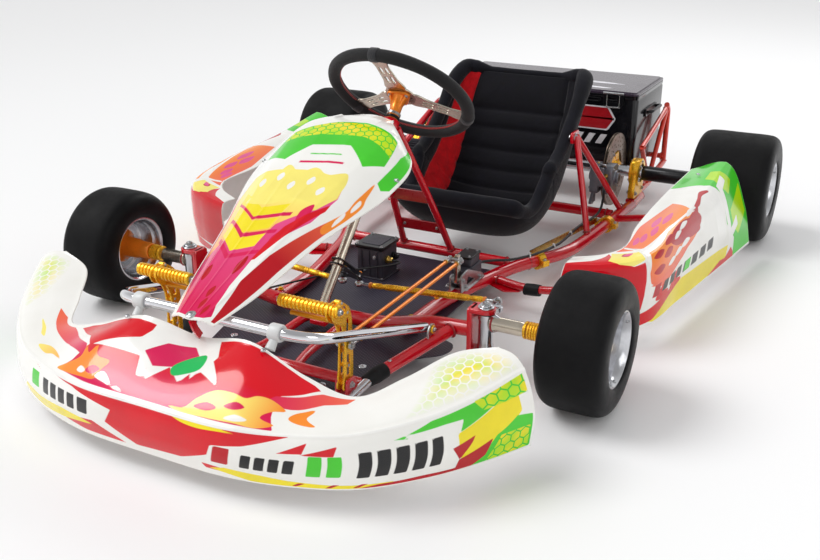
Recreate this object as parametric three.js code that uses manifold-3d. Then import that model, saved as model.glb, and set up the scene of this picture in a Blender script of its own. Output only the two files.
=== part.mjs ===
// Racing kart with an electric drive.
// Millimetres, +Z up, +X to the driver's left, -Y forwards. Inside the kart group
// the front axle lies on y = 0, and the group is moved so that the kart is centred.
import * as THREE from 'three';
import { mergeVertices } from 'three/addons/utils/BufferGeometryUtils.js';
import Module from 'manifold-3d';

const wasm = await Module();
wasm.setup();

// ---------------------------------------------------------------- driving dimensions
const LENGTH_CENTRE_Y = 438.5;
const WHEELBASE = 1050;
const FRONT_WHEEL_X = 547.5;
const REAR_WHEEL_X = 594;
const WHEEL_FACETS = 24;
const TYRE_FLOOR = Math.cos(Math.PI / WHEEL_FACETS);
const FRONT_TYRE = { radius: 127, halfWidth: 64.5 };
const REAR_TYRE = { radius: 137.5, halfWidth: 98.5 };
const FRONT_AXLE_Z = FRONT_TYRE.radius * TYRE_FLOOR;
const REAR_AXLE_Z = REAR_TYRE.radius * TYRE_FLOOR;
const BEAD_RADIUS = 68;
const AXLE_RADIUS = 15;
const GAP = 0.3;

const RAIL_RADIUS = 15;
const RAIL_Z = 55;
const TRAY_TOP = 39.4;
const TRAY_THICKNESS = 3;
const KINGPIN_X = 349;
const YOKE_LOW = 58;
const YOKE_HIGH = 154;
const YOKE_PLATE = 8;

const WHEEL_CENTRE = { y: 319, z: 456.5 };
const COLUMN_SLOPE = THREE.MathUtils.degToRad(47);
const RIM_RING = { radius: 151.4, grip: 14 };
const COLUMN_LENGTH = 505;
const PITMAN_DOWN = 400;
const PITMAN_REACH = 62;
const STEERING_ARM = { x: 329, y: 103, z: 116 };

const SHELL_THICKNESS = 4;
const SEAT_X = 45;
const DISC_X = 270;
const SPROCKET_X = -290;
const BEARING_X = 334;
const MOTOR = { y: 800, z: 150, radius: 72 };
const BOX = { halfWidth: 294, front: 1150, rear: 1425, low: 105, high: 318, wall: 4 };

const PAINT = { red: '#b5121f', white: '#f2f2ee', black: '#17171a', charcoal: '#2a2c31' };
const METAL = { steel: '#b8bcc2', chrome: '#d6d9dd', gold: '#d99a1c', orange: '#e07a12', grey: '#6d7076' };

// ---------------------------------------------------------------- points and outlines
const point = (x, y, z) => new THREE.Vector3(x, y, z);
const flat = (x, y) => new THREE.Vector2(x, y);
const flip = ([x, y, z]) => [-x, y, z];

function circleShape(radius, sides) {
  const corners = [];
  for (let i = 0; i < sides; i++) {
    const angle = (2 * Math.PI * (i + 0.5)) / sides;
    corners.push(flat(radius * Math.cos(angle), radius * Math.sin(angle)));
  }
  return new THREE.Shape(corners);
}

function arcPoints(x, y, radius, from, to, steps) {
  const points = [];
  for (let i = 0; i <= steps; i++) {
    const angle = THREE.MathUtils.degToRad(from + ((to - from) * i) / steps);
    points.push(flat(x + radius * Math.cos(angle), y + radius * Math.sin(angle)));
  }
  return points;
}

function roundedRectangle(halfWidth, halfHeight, radius, steps = 3) {
  const x = halfWidth - radius;
  const y = halfHeight - radius;
  return new THREE.Shape([
    ...arcPoints(x, y, radius, 0, 90, steps),
    ...arcPoints(-x, y, radius, 90, 180, steps),
    ...arcPoints(-x, -y, radius, 180, 270, steps),
    ...arcPoints(x, -y, radius, 270, 360, steps),
  ]);
}

// A path through exactly the given points, one extrusion step for each stretch.
class PointPath extends THREE.Curve {
  constructor(points) {
    super();
    this.points = points;
  }

  getUtoTmapping(u) {
    return u;
  }

  getPoint(t) {
    const last = this.points.length - 1;
    const index = Math.min(Math.floor(t * last), last - 1);
    return this.points[index].clone().lerp(this.points[index + 1], t * last - index);
  }

  getTangent(t, target = new THREE.Vector3()) {
    const last = this.points.length - 1;
    const index = Math.round(t * last);
    const here = this.points[index];
    const arriving = here.clone().sub(this.points[Math.max(index - 1, 0)]).normalize();
    const leaving = this.points[Math.min(index + 1, last)].clone().sub(here).normalize();
    return target.copy(arriving.add(leaving).normalize());
  }
}

// Straight stretches between the corners, and a round bend at each inner corner.
function bentPoints(corners, bendRadius = 45, steps = 2) {
  const points = corners.map((corner) => point(...corner));
  const path = [points[0]];
  for (let i = 1; i < points.length - 1; i++) {
    const back = points[i - 1].clone().sub(points[i]);
    const ahead = points[i + 1].clone().sub(points[i]);
    const reach = Math.min(bendRadius, 0.45 * back.length(), 0.45 * ahead.length());
    const start = points[i].clone().addScaledVector(back.normalize(), reach);
    const end = points[i].clone().addScaledVector(ahead.normalize(), reach);
    path.push(...new THREE.QuadraticBezierCurve3(start, points[i], end).getPoints(steps));
  }
  path.push(points[points.length - 1]);
  return path;
}

function smoothPoints(corners, steps) {
  const curve = new THREE.CatmullRomCurve3(corners.map((corner) => point(...corner)));
  return curve.getSpacedPoints(steps);
}

// ---------------------------------------------------------------- solids
function sweep(points, radius, sides = 8) {
  return new THREE.ExtrudeGeometry(circleShape(radius, sides), {
    steps: points.length - 1,
    bevelEnabled: false,
    extrudePath: new PointPath(points),
  });
}

const tube = (corners, radius, bendRadius, sides) => sweep(bentPoints(corners, bendRadius), radius, sides);

function box(low, high) {
  const size = high.map((value, axis) => value - low[axis]);
  const middle = high.map((value, axis) => (value + low[axis]) / 2);
  return new THREE.BoxGeometry(...size).translate(...middle);
}

function slab(shape, low, high) {
  return new THREE.ExtrudeGeometry(shape, { depth: high - low, bevelEnabled: false, curveSegments: 6 })
    .translate(0, 0, low);
}

// A plate whose outline is drawn in (y, z) and whose thickness runs along x.
function sidePlate(outline, lowX, highX) {
  const plate = slab(new THREE.Shape(outline.map(([y, z]) => flat(y, z))), 0, highX - lowX);
  return plate.rotateZ(Math.PI / 2).rotateY(Math.PI / 2).translate(lowX, 0, 0);
}

// A profile of [radius, distance] pairs turned about the X axis, outwards along +X.
function turned(profile, facets = 16) {
  const points = profile.map(([radius, distance]) => flat(radius, distance));
  if (THREE.ShapeUtils.area(points) < 0) {
    points.reverse();
  }
  const onAxis = profile[0][0] === 0 && profile[profile.length - 1][0] === 0;
  if (!onAxis) {
    points.push(points[0].clone());
  }
  return new THREE.LatheGeometry(points, facets, Math.PI / facets).rotateZ(-Math.PI / 2);
}

const rod = (radius, from, to, facets = 10) => turned([[0, from], [radius, from], [radius, to], [0, to]], facets);
const ring = (inner, outer, from, to, facets = 16) =>
  turned([[inner, from], [outer, from], [outer, to], [inner, to]], facets);
const upright = (geometry) => geometry.rotateY(-Math.PI / 2);

function solidOf(geometry) {
  const bare = geometry.clone();
  bare.deleteAttribute('normal');
  bare.deleteAttribute('uv');
  const merged = mergeVertices(bare, 1e-3);
  const corners = [];
  for (let i = 0; i < merged.index.count; i += 3) {
    const [a, b, c] = [0, 1, 2].map((k) => merged.index.getX(i + k));
    if (a !== b && b !== c && c !== a) {
      corners.push(a, b, c);
    }
  }
  return new wasm.Manifold(new wasm.Mesh({
    numProp: 3,
    vertProperties: new Float32Array(merged.attributes.position.array),
    triVerts: new Uint32Array(corners),
  }));
}

function geometryOf(solid) {
  const mesh = solid.getMesh();
  const geometry = new THREE.BufferGeometry();
  geometry.setAttribute('position', new THREE.BufferAttribute(new Float32Array(mesh.vertProperties), 3));
  geometry.setIndex(new THREE.BufferAttribute(new Uint32Array(mesh.triVerts), 1));
  geometry.computeVertexNormals();
  return geometry;
}

function join(...pieces) {
  return geometryOf(pieces.map(solidOf).reduce((whole, piece) => whole.add(piece)));
}

function cut(body, ...tools) {
  return geometryOf(tools.map(solidOf).reduce((whole, tool) => whole.subtract(tool), solidOf(body)));
}

function mirrored(geometry) {
  const copy = geometry.index ? geometry.toNonIndexed() : geometry.clone();
  const source = copy.attributes.position.clone();
  for (let i = 0; i < source.count; i += 3) {
    for (let k = 0; k < 3; k++) {
      const from = i + ((3 - k) % 3);
      copy.attributes.position.setXYZ(i + k, -source.getX(from), source.getY(from), source.getZ(from));
    }
  }
  return copy;
}

// A closed shell from a grid of points: the outer skin, and an inner skin set back along the normals.
function shell(rows, thickness) {
  const height = rows.length;
  const width = rows[0].length;
  const at = (i, j) => rows[Math.max(0, Math.min(height - 1, i))][Math.max(0, Math.min(width - 1, j))];
  const outer = rows.flat();
  const inner = [];
  for (let i = 0; i < height; i++) {
    for (let j = 0; j < width; j++) {
      const across = at(i, j + 1).clone().sub(at(i, j - 1));
      const along = at(i + 1, j).clone().sub(at(i - 1, j));
      const normal = across.cross(along).normalize();
      inner.push(at(i, j).clone().addScaledVector(normal, -thickness));
    }
  }
  const vertices = [...outer, ...inner];
  const offset = outer.length;
  const faces = [];
  const quad = (a, b, c, d) => faces.push(a, b, c, a, c, d);
  for (let i = 0; i < height - 1; i++) {
    for (let j = 0; j < width - 1; j++) {
      const a = i * width + j;
      quad(a, a + 1, a + width + 1, a + width);
      quad(offset + a, offset + a + width, offset + a + width + 1, offset + a + 1);
    }
  }
  const edge = (a, b) => quad(b, a, a + offset, b + offset);
  for (let j = 0; j < width - 1; j++) {
    edge(j, j + 1);
    edge((height - 1) * width + j + 1, (height - 1) * width + j);
  }
  for (let i = 0; i < height - 1; i++) {
    edge((i + 1) * width, i * width);
    edge(i * width + width - 1, (i + 1) * width + width - 1);
  }
  const geometry = new THREE.BufferGeometry();
  const positions = vertices.flatMap((vertex) => [vertex.x, vertex.y, vertex.z]);
  geometry.setAttribute('position', new THREE.Float32BufferAttribute(positions, 3));
  geometry.setIndex(faces);
  geometry.computeVertexNormals();
  return geometry;
}

// Rows of points lofted through feature lines: each line is a list of stations.
function loft(lines, across, between) {
  const curves = lines.map((line) => new THREE.CatmullRomCurve3(line.map((p) => point(...p)), false, 'centripetal'));
  const columns = [];
  for (let j = 0; j <= across; j++) {
    const stations = curves.map((curve) => curve.getPoint(j / across));
    columns.push(new THREE.CatmullRomCurve3(stations, false, 'centripetal').getPoints(between * (lines.length - 1)));
  }
  return columns[0].map((_, i) => columns.map((column) => column[i]));
}

const bothSides = (half) => [...half.slice(1).reverse().map(flip), ...half];

// ---------------------------------------------------------------- scene graph
const kart = new THREE.Group();
kart.position.set(0, -LENGTH_CENTRE_Y, 0);

function paint(colour, roughness = 0.4, metalness = 0) {
  return new THREE.MeshStandardMaterial({ color: colour, roughness, metalness });
}

function add(name, geometry, material, place = [0, 0, 0], parent = kart) {
  const mesh = new THREE.Mesh(geometry, material);
  mesh.name = name;
  mesh.position.set(...place);
  parent.add(mesh);
  return mesh;
}

function addPair(name, geometry, material, place = [0, 0, 0]) {
  add(`${name}_left`, geometry, material, place);
  add(`${name}_right`, mirrored(geometry), material, flip(place));
}

// ---------------------------------------------------------------- main frame
const RAIL_PATH = [
  [159, 42, RAIL_Z], [163, 190, RAIL_Z], [221, 437, RAIL_Z], [305, 587, RAIL_Z],
  [317, 700, RAIL_Z], [337, 1012, RAIL_Z],
];
const CROSS_PATH = [
  [-322, 0, 104], [-235, 0, 100], [-120, 14, 66], [120, 14, 66], [235, 0, 100], [322, 0, 104],
];
const BELT_Y = 450;
const BELT_PATH = [[-210, BELT_Y, 60], [210, BELT_Y, 60]];
const REAR_CROSS_Y = 905;
const REAR_CROSS_PATH = [[-316, REAR_CROSS_Y, RAIL_Z], [316, REAR_CROSS_Y, RAIL_Z]];

const grownTube = (path, radius) => tube(path, radius + GAP);
const RAIL_GROWN = grownTube(RAIL_PATH, RAIL_RADIUS);
const BOTH_RAILS_GROWN = [RAIL_GROWN, mirrored(RAIL_GROWN)];
const crossGrown = grownTube(CROSS_PATH, RAIL_RADIUS);

function buildRails() {
  const bearingSeat = box([0, 1001, 0], [400, 1040, 100]);
  const rail = cut(tube(RAIL_PATH, RAIL_RADIUS), crossGrown, bearingSeat);
  addPair('rail', rail, paint(PAINT.red, 0.25, 0.2));
}

// The C-shaped yoke at each end of the front cross tube, with its kingpin.
function yoke() {
  const low = [318, -19, YOKE_LOW];
  const high = [KINGPIN_X + 19, 19, YOKE_HIGH];
  const mouth = box([327, -30, YOKE_LOW + YOKE_PLATE], [400, 30, YOKE_HIGH - YOKE_PLATE]);
  const pin = upright(rod(6, YOKE_LOW - 5, YOKE_HIGH + 9)).translate(KINGPIN_X, 0, 0);
  return join(cut(box(low, high), mouth), pin);
}

const PEDAL = { x: 192, y: -250, z: 78, halfWidth: 7 };

// The lug pair and the pin that a pedal swings on.
function pedalLugs() {
  const outline = [[-266, 50], [-222, 50], [-238, 90], [-262, 90]];
  const inner = sidePlate(outline, PEDAL.x - 13, PEDAL.x - 8);
  const outer = sidePlate(outline, PEDAL.x + 8, PEDAL.x + 13);
  const pin = rod(4.6, PEDAL.x - 15, PEDAL.x + 15).translate(0, PEDAL.y, PEDAL.z);
  const foot = box([PEDAL.x - 14.5, -267, 48], [PEDAL.x + 14.5, -221, 54]);
  return join(inner, outer, pin, foot);
}

function buildFrontFrame() {
  const arm = tube([[288, 4, 102], [213, -192, 66]], 12.5);
  const stub = tube([[220, -174, 69], [213, -192, 66], [209, -300, 55]], 9, 20);
  const bumperLug = sidePlate([[-70, 80], [-38, 86], [-42, 122], [-58, 126], [-70, 114]], 260, 264);
  const hoopPath = [
    [-58, -205, 58], [-46, -150, 58], [-44, 0, 62], [44, 0, 62], [46, -150, 58], [58, -205, 58],
  ];
  const hoop = tube(hoopPath, 9, 40);
  const frontBar = tube([[-208, -206.3, 57.2], [208, -206.3, 57.2]], 10.6);
  const columnFoot = box([-16, -40, 62], [16, 4, 78]);
  const halves = [yoke(), arm, stub, bumperLug, pedalLugs()];
  const pieces = [tube(CROSS_PATH, RAIL_RADIUS), hoop, frontBar, columnFoot, ...halves, ...halves.map(mirrored)];
  add('front_frame', join(...pieces), paint(PAINT.red, 0.25, 0.2));
}

const alongColumn = (distance) => ({
  y: WHEEL_CENTRE.y - distance * Math.cos(COLUMN_SLOPE),
  z: WHEEL_CENTRE.z - distance * Math.sin(COLUMN_SLOPE),
});
const COLUMN_TILT = COLUMN_SLOPE - Math.PI / 2;

// Two uprights on the middle cross tube carry the column's top bearing.
function buildSteeringSupport() {
  const top = alongColumn(74);
  const collar = upright(ring(10.6, 19, -9, 9, 18)).rotateX(COLUMN_TILT).translate(0, top.y, top.z);
  const leg = tube([[64, BELT_Y, 66], [49, 362, 215], [15, top.y + 6, top.z - 8]], 8, 40);
  const lowBrace = box([-62, 411, 118], [62, 417, 142]);
  const highBrace = box([-50, 358, 206], [50, 364, 232]);
  const belt = cut(tube(BELT_PATH, 12), ...BOTH_RAILS_GROWN);
  const support = cut(
    join(belt, leg, mirrored(leg), lowBrace, highBrace, collar),
    upright(rod(10.5, -40, 40, 18)).rotateX(COLUMN_TILT).translate(0, top.y, top.z),
  );
  add('steering_support', support, paint(PAINT.red, 0.25, 0.2));
}

function buildRearCross() {
  const shelf = box([-272, 738, 58], [-166, REAR_CROSS_Y, 63]);
  const crossTube = tube(REAR_CROSS_PATH, 13);
  add('rear_cross', cut(join(crossTube, shelf), ...BOTH_RAILS_GROWN), paint(PAINT.red, 0.25, 0.2));
}

function buildSeatStays() {
  const red = paint(PAINT.red, 0.25, 0.2);
  const apex = [252, 764, 292];
  const front = tube([[316, 700, 60], apex], 8);
  const rear = tube([[331, 934, 60], apex], 8);
  const pad = box([241, 744, 278], [252, 786, 304]);
  add('seat_stay_left', cut(join(front, rear, pad), RAIL_GROWN), red);
  const hoopPath = [[-309, 628, 60], [-170, 690, 268], [-170, 872, 330], [-334, 950, 60]];
  add('seat_stay_right', cut(tube(hoopPath, 8, 30), BOTH_RAILS_GROWN[1]), red);
}

// The bumper tube on each side, plugged into the rail's outriggers, holds the side pod.
function buildSideBars() {
  const path = [
    [203, 362, 56], [305, 331, 56], [432, 318, 80], [486, 400, 104], [512, 780, 104], [440, 862, 80], [330, 872, 56],
  ];
  const bar = tube(path, 9, 50);
  const sleeve = tube([[302, 332, 56], [330, 329, 60]], 13);
  addPair('side_bar', cut(join(bar, sleeve), RAIL_GROWN), paint(PAINT.red, 0.25, 0.2));
}

function buildFloorTray() {
  const half = [
    [0, -232], [150, -232], [170, -200], [205, -60], [262, -8], [270, 20], [262, 46], [196, 70], [190, 330],
    [214, 438], [0, 438],
  ];
  const outline = [...half.map(([x, y]) => flat(x, y)), ...half.slice(1, -1).reverse().map(([x, y]) => flat(-x, y))];
  const tray = slab(new THREE.Shape(outline), TRAY_TOP - TRAY_THICKNESS, TRAY_TOP);
  add('floor_tray', tray, paint(PAINT.charcoal, 0.6, 0.1));
}

function buildUpperBumper() {
  const half = [[249, -54, 115], [206, -373, 217]];
  const path = [...half, ...half.slice().reverse().map(flip)];
  add('upper_bumper', tube(path, 10, 34), paint(METAL.chrome, 0.12, 1));
}

buildRails();
buildFrontFrame();
buildSteeringSupport();
buildRearCross();
buildSeatStays();
buildSideBars();
buildFloorTray();
buildUpperBumper();

// ---------------------------------------------------------------- bodywork
function buildNoseFairing() {
  const lowEdge = [
    [0, -541, 40], [150, -537, 40], [250, -515, 40], [345, -474, 40], [432, -396, 42], [492, -312, 42], [537, -240, 44],
  ];
  const belly = [
    [0, -548, 84], [150, -544, 84], [252, -522, 84], [350, -480, 86], [438, -400, 88], [500, -316, 96], [541, -240, 108],
  ];
  const crease = [
    [0, -541, 130], [150, -535, 128], [250, -510, 129], [335, -476, 134], [424, -400, 148], [478, -326, 164],
    [522, -246, 184],
  ];
  const crown = [
    [0, -466, 170], [150, -470, 176], [250, -464, 146], [328, -430, 146], [392, -356, 164], [444, -290, 184],
    [500, -238, 200],
  ];
  const rearEdge = [
    [0, -392, 186], [110, -402, 206], [215, -404, 170], [300, -392, 148], [350, -322, 160], [404, -246, 184],
    [470, -230, 202],
  ];
  const rows = loft([lowEdge, belly, crease, crown, rearEdge].map(bothSides), 24, 2);
  add('nose_fairing', shell(rows, SHELL_THICKNESS), paint(PAINT.white, 0.2));
}

function buildFrontPanel() {
  const ridge = [[0, -420, 232], [0, -330, 268], [0, -180, 335], [0, -20, 404], [0, 110, 446], [0, 196, 440]];
  const plateau = [
    [24, -416, 232], [38, -330, 266], [60, -180, 330], [88, -20, 396], [96, 104, 434], [56, 178, 436],
  ];
  const edge = [[44, -410, 224], [70, -326, 248], [104, -180, 300], [156, -10, 352], [150, 84, 386], [58, 140, 440]];
  const lines = [edge.map(flip), plateau.map(flip), ridge, plateau, edge];
  const rows = loft(lines, 12, 2);
  add('front_panel', shell(rows, SHELL_THICKNESS), paint(PAINT.white, 0.2));
}

function buildSidePods() {
  const lowEdge = [[415, 205, 42], [500, 240, 40], [572, 292, 40], [604, 450, 40], [640, 680, 40], [672, 892, 40]];
  const belly = [[418, 202, 120], [505, 234, 120], [578, 286, 124], [606, 450, 128], [632, 680, 130], [650, 892, 136]];
  const shoulder = [
    [424, 214, 176], [506, 244, 180], [570, 290, 190], [588, 450, 208], [594, 680, 216], [598, 892, 236],
  ];
  const innerEdge = [
    [424, 262, 178], [480, 290, 184], [508, 330, 190], [500, 450, 196], [500, 680, 202], [512, 892, 210],
  ];
  const rows = loft([lowEdge, belly, shoulder, innerEdge], 14, 2);
  addPair('side_pod', shell(rows, SHELL_THICKNESS), paint(PAINT.white, 0.2));
}

buildNoseFairing();
buildFrontPanel();
buildSidePods();

// ---------------------------------------------------------------- seat
// Each station: the middle of the section, its half width, and how far its side walls stand up.
const SEAT_STATIONS = [
  { y: 486, z: 172, halfWidth: 168, wall: 8 },
  { y: 516, z: 112, halfWidth: 176, wall: 62 },
  { y: 566, z: 72, halfWidth: 182, wall: 110 },
  { y: 640, z: 56, halfWidth: 186, wall: 150 },
  { y: 714, z: 66, halfWidth: 188, wall: 176 },
  { y: 776, z: 104, halfWidth: 190, wall: 176 },
  { y: 832, z: 176, halfWidth: 190, wall: 140 },
  { y: 878, z: 258, halfWidth: 190, wall: 104 },
  { y: 916, z: 330, halfWidth: 190, wall: 74 },
  { y: 950, z: 394, halfWidth: 182, wall: 40 },
];
const SEAT_SQUARENESS = 3.2;

// Rows across the seat from its right edge to its left, the surface that the driver sits on.
function seatRows(inset) {
  const middle = new THREE.CatmullRomCurve3(SEAT_STATIONS.map(({ y, z }) => point(0, y, z)));
  const sizes = new THREE.CatmullRomCurve3(SEAT_STATIONS.map(({ halfWidth, wall }) => point(halfWidth, wall, 0)));
  const rows = [];
  const steps = 12;
  for (let i = 0; i <= steps; i++) {
    const centre = middle.getPoint(i / steps);
    const tangent = middle.getTangent(i / steps);
    const normal = point(0, -tangent.z, tangent.y);
    const size = sizes.getPoint(i / steps);
    const row = [];
    for (let j = -5; j <= 5; j++) {
      const angle = (j / 5) * (Math.PI / 2);
      const power = 2 / SEAT_SQUARENESS;
      const side = Math.sign(j) * Math.abs(Math.sin(angle)) ** power;
      const rise = 1 - Math.abs(Math.cos(angle)) ** power;
      const spot = centre.clone().addScaledVector(normal, inset + rise * Math.max(size.y - inset, 2));
      spot.x = SEAT_X + side * (size.x - inset);
      row.push(spot);
    }
    rows.push(row);
  }
  return rows;
}

function buildSeat() {
  add('seat_shell', shell(seatRows(0), SHELL_THICKNESS), paint(PAINT.black, 0.35));
  add('seat_pad', shell(seatRows(26), 20), paint('#1d1d22', 0.95));
}

buildSeat();

// ---------------------------------------------------------------- wheels
function tyreProfile({ radius, halfWidth }) {
  const outside = [
    [BEAD_RADIUS + GAP, -halfWidth + 12], [radius - 30, -halfWidth], [radius - 8, -halfWidth + 8],
    [radius, -halfWidth + 26],
  ];
  const inside = [[radius - 7, halfWidth - 26], [BEAD_RADIUS + 8, halfWidth - 18]];
  const opposite = ([r, t]) => [r, -t];
  return [
    ...outside, ...outside.slice().reverse().map(opposite),
    ...inside.slice().reverse(), ...inside.map(opposite),
  ];
}

function rimProfile({ halfWidth }, web) {
  const lip = halfWidth - 9;
  return [
    [BEAD_RADIUS - 0.4, -lip], [BEAD_RADIUS - 0.4, lip - 2.4], [BEAD_RADIUS + 4, lip - 0.8], [BEAD_RADIUS + 4, lip + 3],
    [BEAD_RADIUS - 7, lip - 4], [BEAD_RADIUS - 7, web + 3], [24, web + 3], [24, web - 3], [BEAD_RADIUS - 7, web - 3],
    [BEAD_RADIUS - 7, -lip],
  ];
}

const FRONT_WEB = 4;
const REAR_WEB = 10;

function buildWheels(end, tyre, web, place) {
  addPair(`${end}_tyre`, turned(tyreProfile(tyre), WHEEL_FACETS), paint(PAINT.black, 0.8), place);
  addPair(`${end}_rim`, turned(rimProfile(tyre, web), WHEEL_FACETS), paint(METAL.chrome, 0.2, 1), place);
}

// The hub that a front wheel turns on: a cone from the bearing nose out to the rim's web.
function buildFrontHubs() {
  const profile = [
    [9.2, -112], [17, -112], [17, -98], [20, -60], [23, -20], [38, FRONT_WEB - 9], [38, FRONT_WEB - 3.4],
    [23.4, FRONT_WEB - 3.4], [23.4, FRONT_WEB + 8], [18, FRONT_WEB + 22], [9.2, FRONT_WEB + 22],
  ];
  addPair('front_hub', turned(profile), paint(METAL.orange, 0.3, 0.9), [FRONT_WHEEL_X, 0, FRONT_AXLE_Z]);
}

function buildRearHubs() {
  const inner = 351 - REAR_WHEEL_X;
  const profile = [
    [AXLE_RADIUS + GAP, inner], [20, inner], [20, inner + 132], [23, inner + 132], [23, inner + 140], [20, inner + 140],
    [20, REAR_WEB - 22], [40, REAR_WEB - 10], [40, REAR_WEB - 3.4], [23.4, REAR_WEB - 3.4], [23.4, REAR_WEB + 12],
    [AXLE_RADIUS + GAP, REAR_WEB + 12],
  ];
  addPair('rear_hub', turned(profile), paint(PAINT.black, 0.4, 0.5), [REAR_WHEEL_X, WHEELBASE, REAR_AXLE_Z]);
}

buildWheels('front', FRONT_TYRE, FRONT_WEB, [FRONT_WHEEL_X, 0, FRONT_AXLE_Z]);
buildWheels('rear', REAR_TYRE, REAR_WEB, [REAR_WHEEL_X, WHEELBASE, REAR_AXLE_Z]);
buildFrontHubs();
buildRearHubs();

// ---------------------------------------------------------------- rear axle and drive
const onRearAxle = (geometry, x = 0) => geometry.translate(x, WHEELBASE, REAR_AXLE_Z);

function buildRearAxle() {
  add('rear_axle', onRearAxle(rod(AXLE_RADIUS, -640, 640, 20)), paint(METAL.steel, 0.25, 1));
}

function buildBrakeDisc() {
  const bore = AXLE_RADIUS + GAP;
  const disc = turned([
    [bore, -22], [24, -22], [26, -4], [58, -3], [100, -5], [100, 5], [58, 3], [26, 4], [24, 14], [bore, 14],
  ], WHEEL_FACETS);
  add('brake_disc', onRearAxle(disc, DISC_X), paint('#8b7b70', 0.35, 0.9));
}

const CHAIN = { sprocketRadius: 90.3, pinionRadius: 16.1, halfWidth: 3.5, thickness: 8 };

function toothedWheel(radius, teeth, bore) {
  const outline = [];
  for (let i = 0; i < teeth; i++) {
    for (const [turn, reach] of [[-0.25, 0], [0.25, 3.2]]) {
      const angle = (2 * Math.PI * (i + turn)) / teeth;
      outline.push(flat((radius + reach) * Math.cos(angle), (radius + reach) * Math.sin(angle)));
    }
  }
  const shape = new THREE.Shape(outline);
  shape.holes.push(new THREE.Path(arcPoints(0, 0, bore, 360, 18, 19)));
  return slab(shape, -CHAIN.halfWidth + 1, CHAIN.halfWidth - 1).rotateY(Math.PI / 2);
}

function buildSprocket() {
  const carrier = ring(AXLE_RADIUS + GAP, 27, -9, 20);
  const wheel = toothedWheel(CHAIN.sprocketRadius - 8, 24, 26);
  add('sprocket', onRearAxle(join(wheel, carrier), SPROCKET_X), paint(METAL.gold, 0.35, 0.9));
}

// The chain's loop: two arcs and two straight runs, drawn about the axle and the motor shaft.
function chainOutline(offset) {
  const reach = Math.hypot(WHEELBASE - MOTOR.y, MOTOR.z - REAR_AXLE_Z);
  const lift = Math.asin((CHAIN.sprocketRadius - CHAIN.pinionRadius) / reach) * THREE.MathUtils.RAD2DEG;
  return [
    ...arcPoints(0, 0, CHAIN.sprocketRadius + offset, -90 - lift, 90 + lift, 18),
    ...arcPoints(-reach, 0, CHAIN.pinionRadius + offset, 90 + lift, 270 - lift, 6),
  ];
}

function buildChain() {
  const shape = new THREE.Shape(chainOutline(CHAIN.thickness / 2));
  shape.holes.push(new THREE.Path(chainOutline(-CHAIN.thickness / 2).reverse()));
  const loop = slab(shape, -CHAIN.halfWidth, CHAIN.halfWidth);
  const tilt = Math.atan2(MOTOR.z - REAR_AXLE_Z, WHEELBASE - MOTOR.y);
  loop.rotateZ(Math.PI / 2).rotateY(Math.PI / 2).rotateX(-tilt);
  add('drive_chain', onRearAxle(loop, SPROCKET_X), paint(METAL.grey, 0.4, 0.9));
}

const onMotor = (geometry, x) => geometry.translate(x, MOTOR.y, MOTOR.z);

function buildMotor() {
  const profile = [[0, -108], [56, -108], [MOTOR.radius, -98], [MOTOR.radius, 0], [40, 12], [0, 12]];
  const casing = onMotor(turned(profile, 20), -172);
  const foot = box([-262, MOTOR.y - 46, 63.4], [-178, MOTOR.y + 46, 92]);
  const shaft = onMotor(rod(8, -112, -100), -172);
  add('motor', join(casing, foot, shaft), paint(PAINT.black, 0.55, 0.4));
  add('motor_pinion', onMotor(rod(11.7, -5, 5, 14), SPROCKET_X), paint(METAL.steel, 0.4, 0.9));
}

// The cassette that holds the axle above each rail, with its foot down to the rail's end.
function buildBearings() {
  const housing = onRearAxle(ring(AXLE_RADIUS + 0.5, 38, -13, 13, 24), BEARING_X);
  const hanger = box([BEARING_X - 10, WHEELBASE - 46, 71.5], [BEARING_X + 10, WHEELBASE + 40, 112]);
  const window = onRearAxle(rod(37, -40, 40, 24), BEARING_X);
  addPair('bearing', join(cut(hanger, window), housing), paint(METAL.gold, 0.3, 0.9));
}

function buildCaliper() {
  const body = box([DISC_X - 30, 930, 98], [DISC_X + 30, 990, 176]);
  const slot = box([DISC_X - 6.5, 938, 60], [DISC_X + 6.5, 1100, 230]);
  const cylinder = rod(21, DISC_X - 40, DISC_X + 40, 18).translate(0, 966, 138);
  const bracket = box([DISC_X - 24, 926, 71], [DISC_X - 10, 950, 100]);
  const arm = box([DISC_X - 24, 912, 71], [DISC_X - 10, 950, 78]);
  add('brake_caliper', cut(join(body, cylinder, bracket, arm), slot), paint(METAL.grey, 0.4, 0.8));
}

buildRearAxle();
buildBrakeDisc();
buildSprocket();
buildChain();
buildMotor();
buildBearings();
buildCaliper();

// ---------------------------------------------------------------- battery box and its carrier
function buildBatteryBox() {
  const middle = (BOX.front + BOX.rear) / 2;
  const depth = (BOX.rear - BOX.front) / 2;
  const outer = slab(roundedRectangle(BOX.halfWidth, depth, 12), BOX.low, BOX.high);
  const inner = slab(roundedRectangle(BOX.halfWidth - BOX.wall, depth - BOX.wall, 8), BOX.low + BOX.wall, BOX.high + 20);
  add('battery_box', cut(outer, inner).translate(0, middle, 0), paint(PAINT.black, 0.35));
  const pack = slab(roundedRectangle(BOX.halfWidth - 24, depth - 18, 6), BOX.low + BOX.wall + GAP, BOX.high - 62);
  add('battery_pack', pack.translate(0, middle, 0), paint('#3a4a63', 0.6));
  const lidTop = slab(roundedRectangle(BOX.halfWidth, depth, 12), BOX.high + GAP, BOX.high + 10);
  const tongue = roundedRectangle(BOX.halfWidth - BOX.wall - 1, depth - BOX.wall - 1, 7);
  const seal = slab(tongue, BOX.high - 6, BOX.high + 4);
  add('box_lid', join(lidTop, seal).translate(0, middle, 0), paint('#26242a', 0.25));
}

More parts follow.
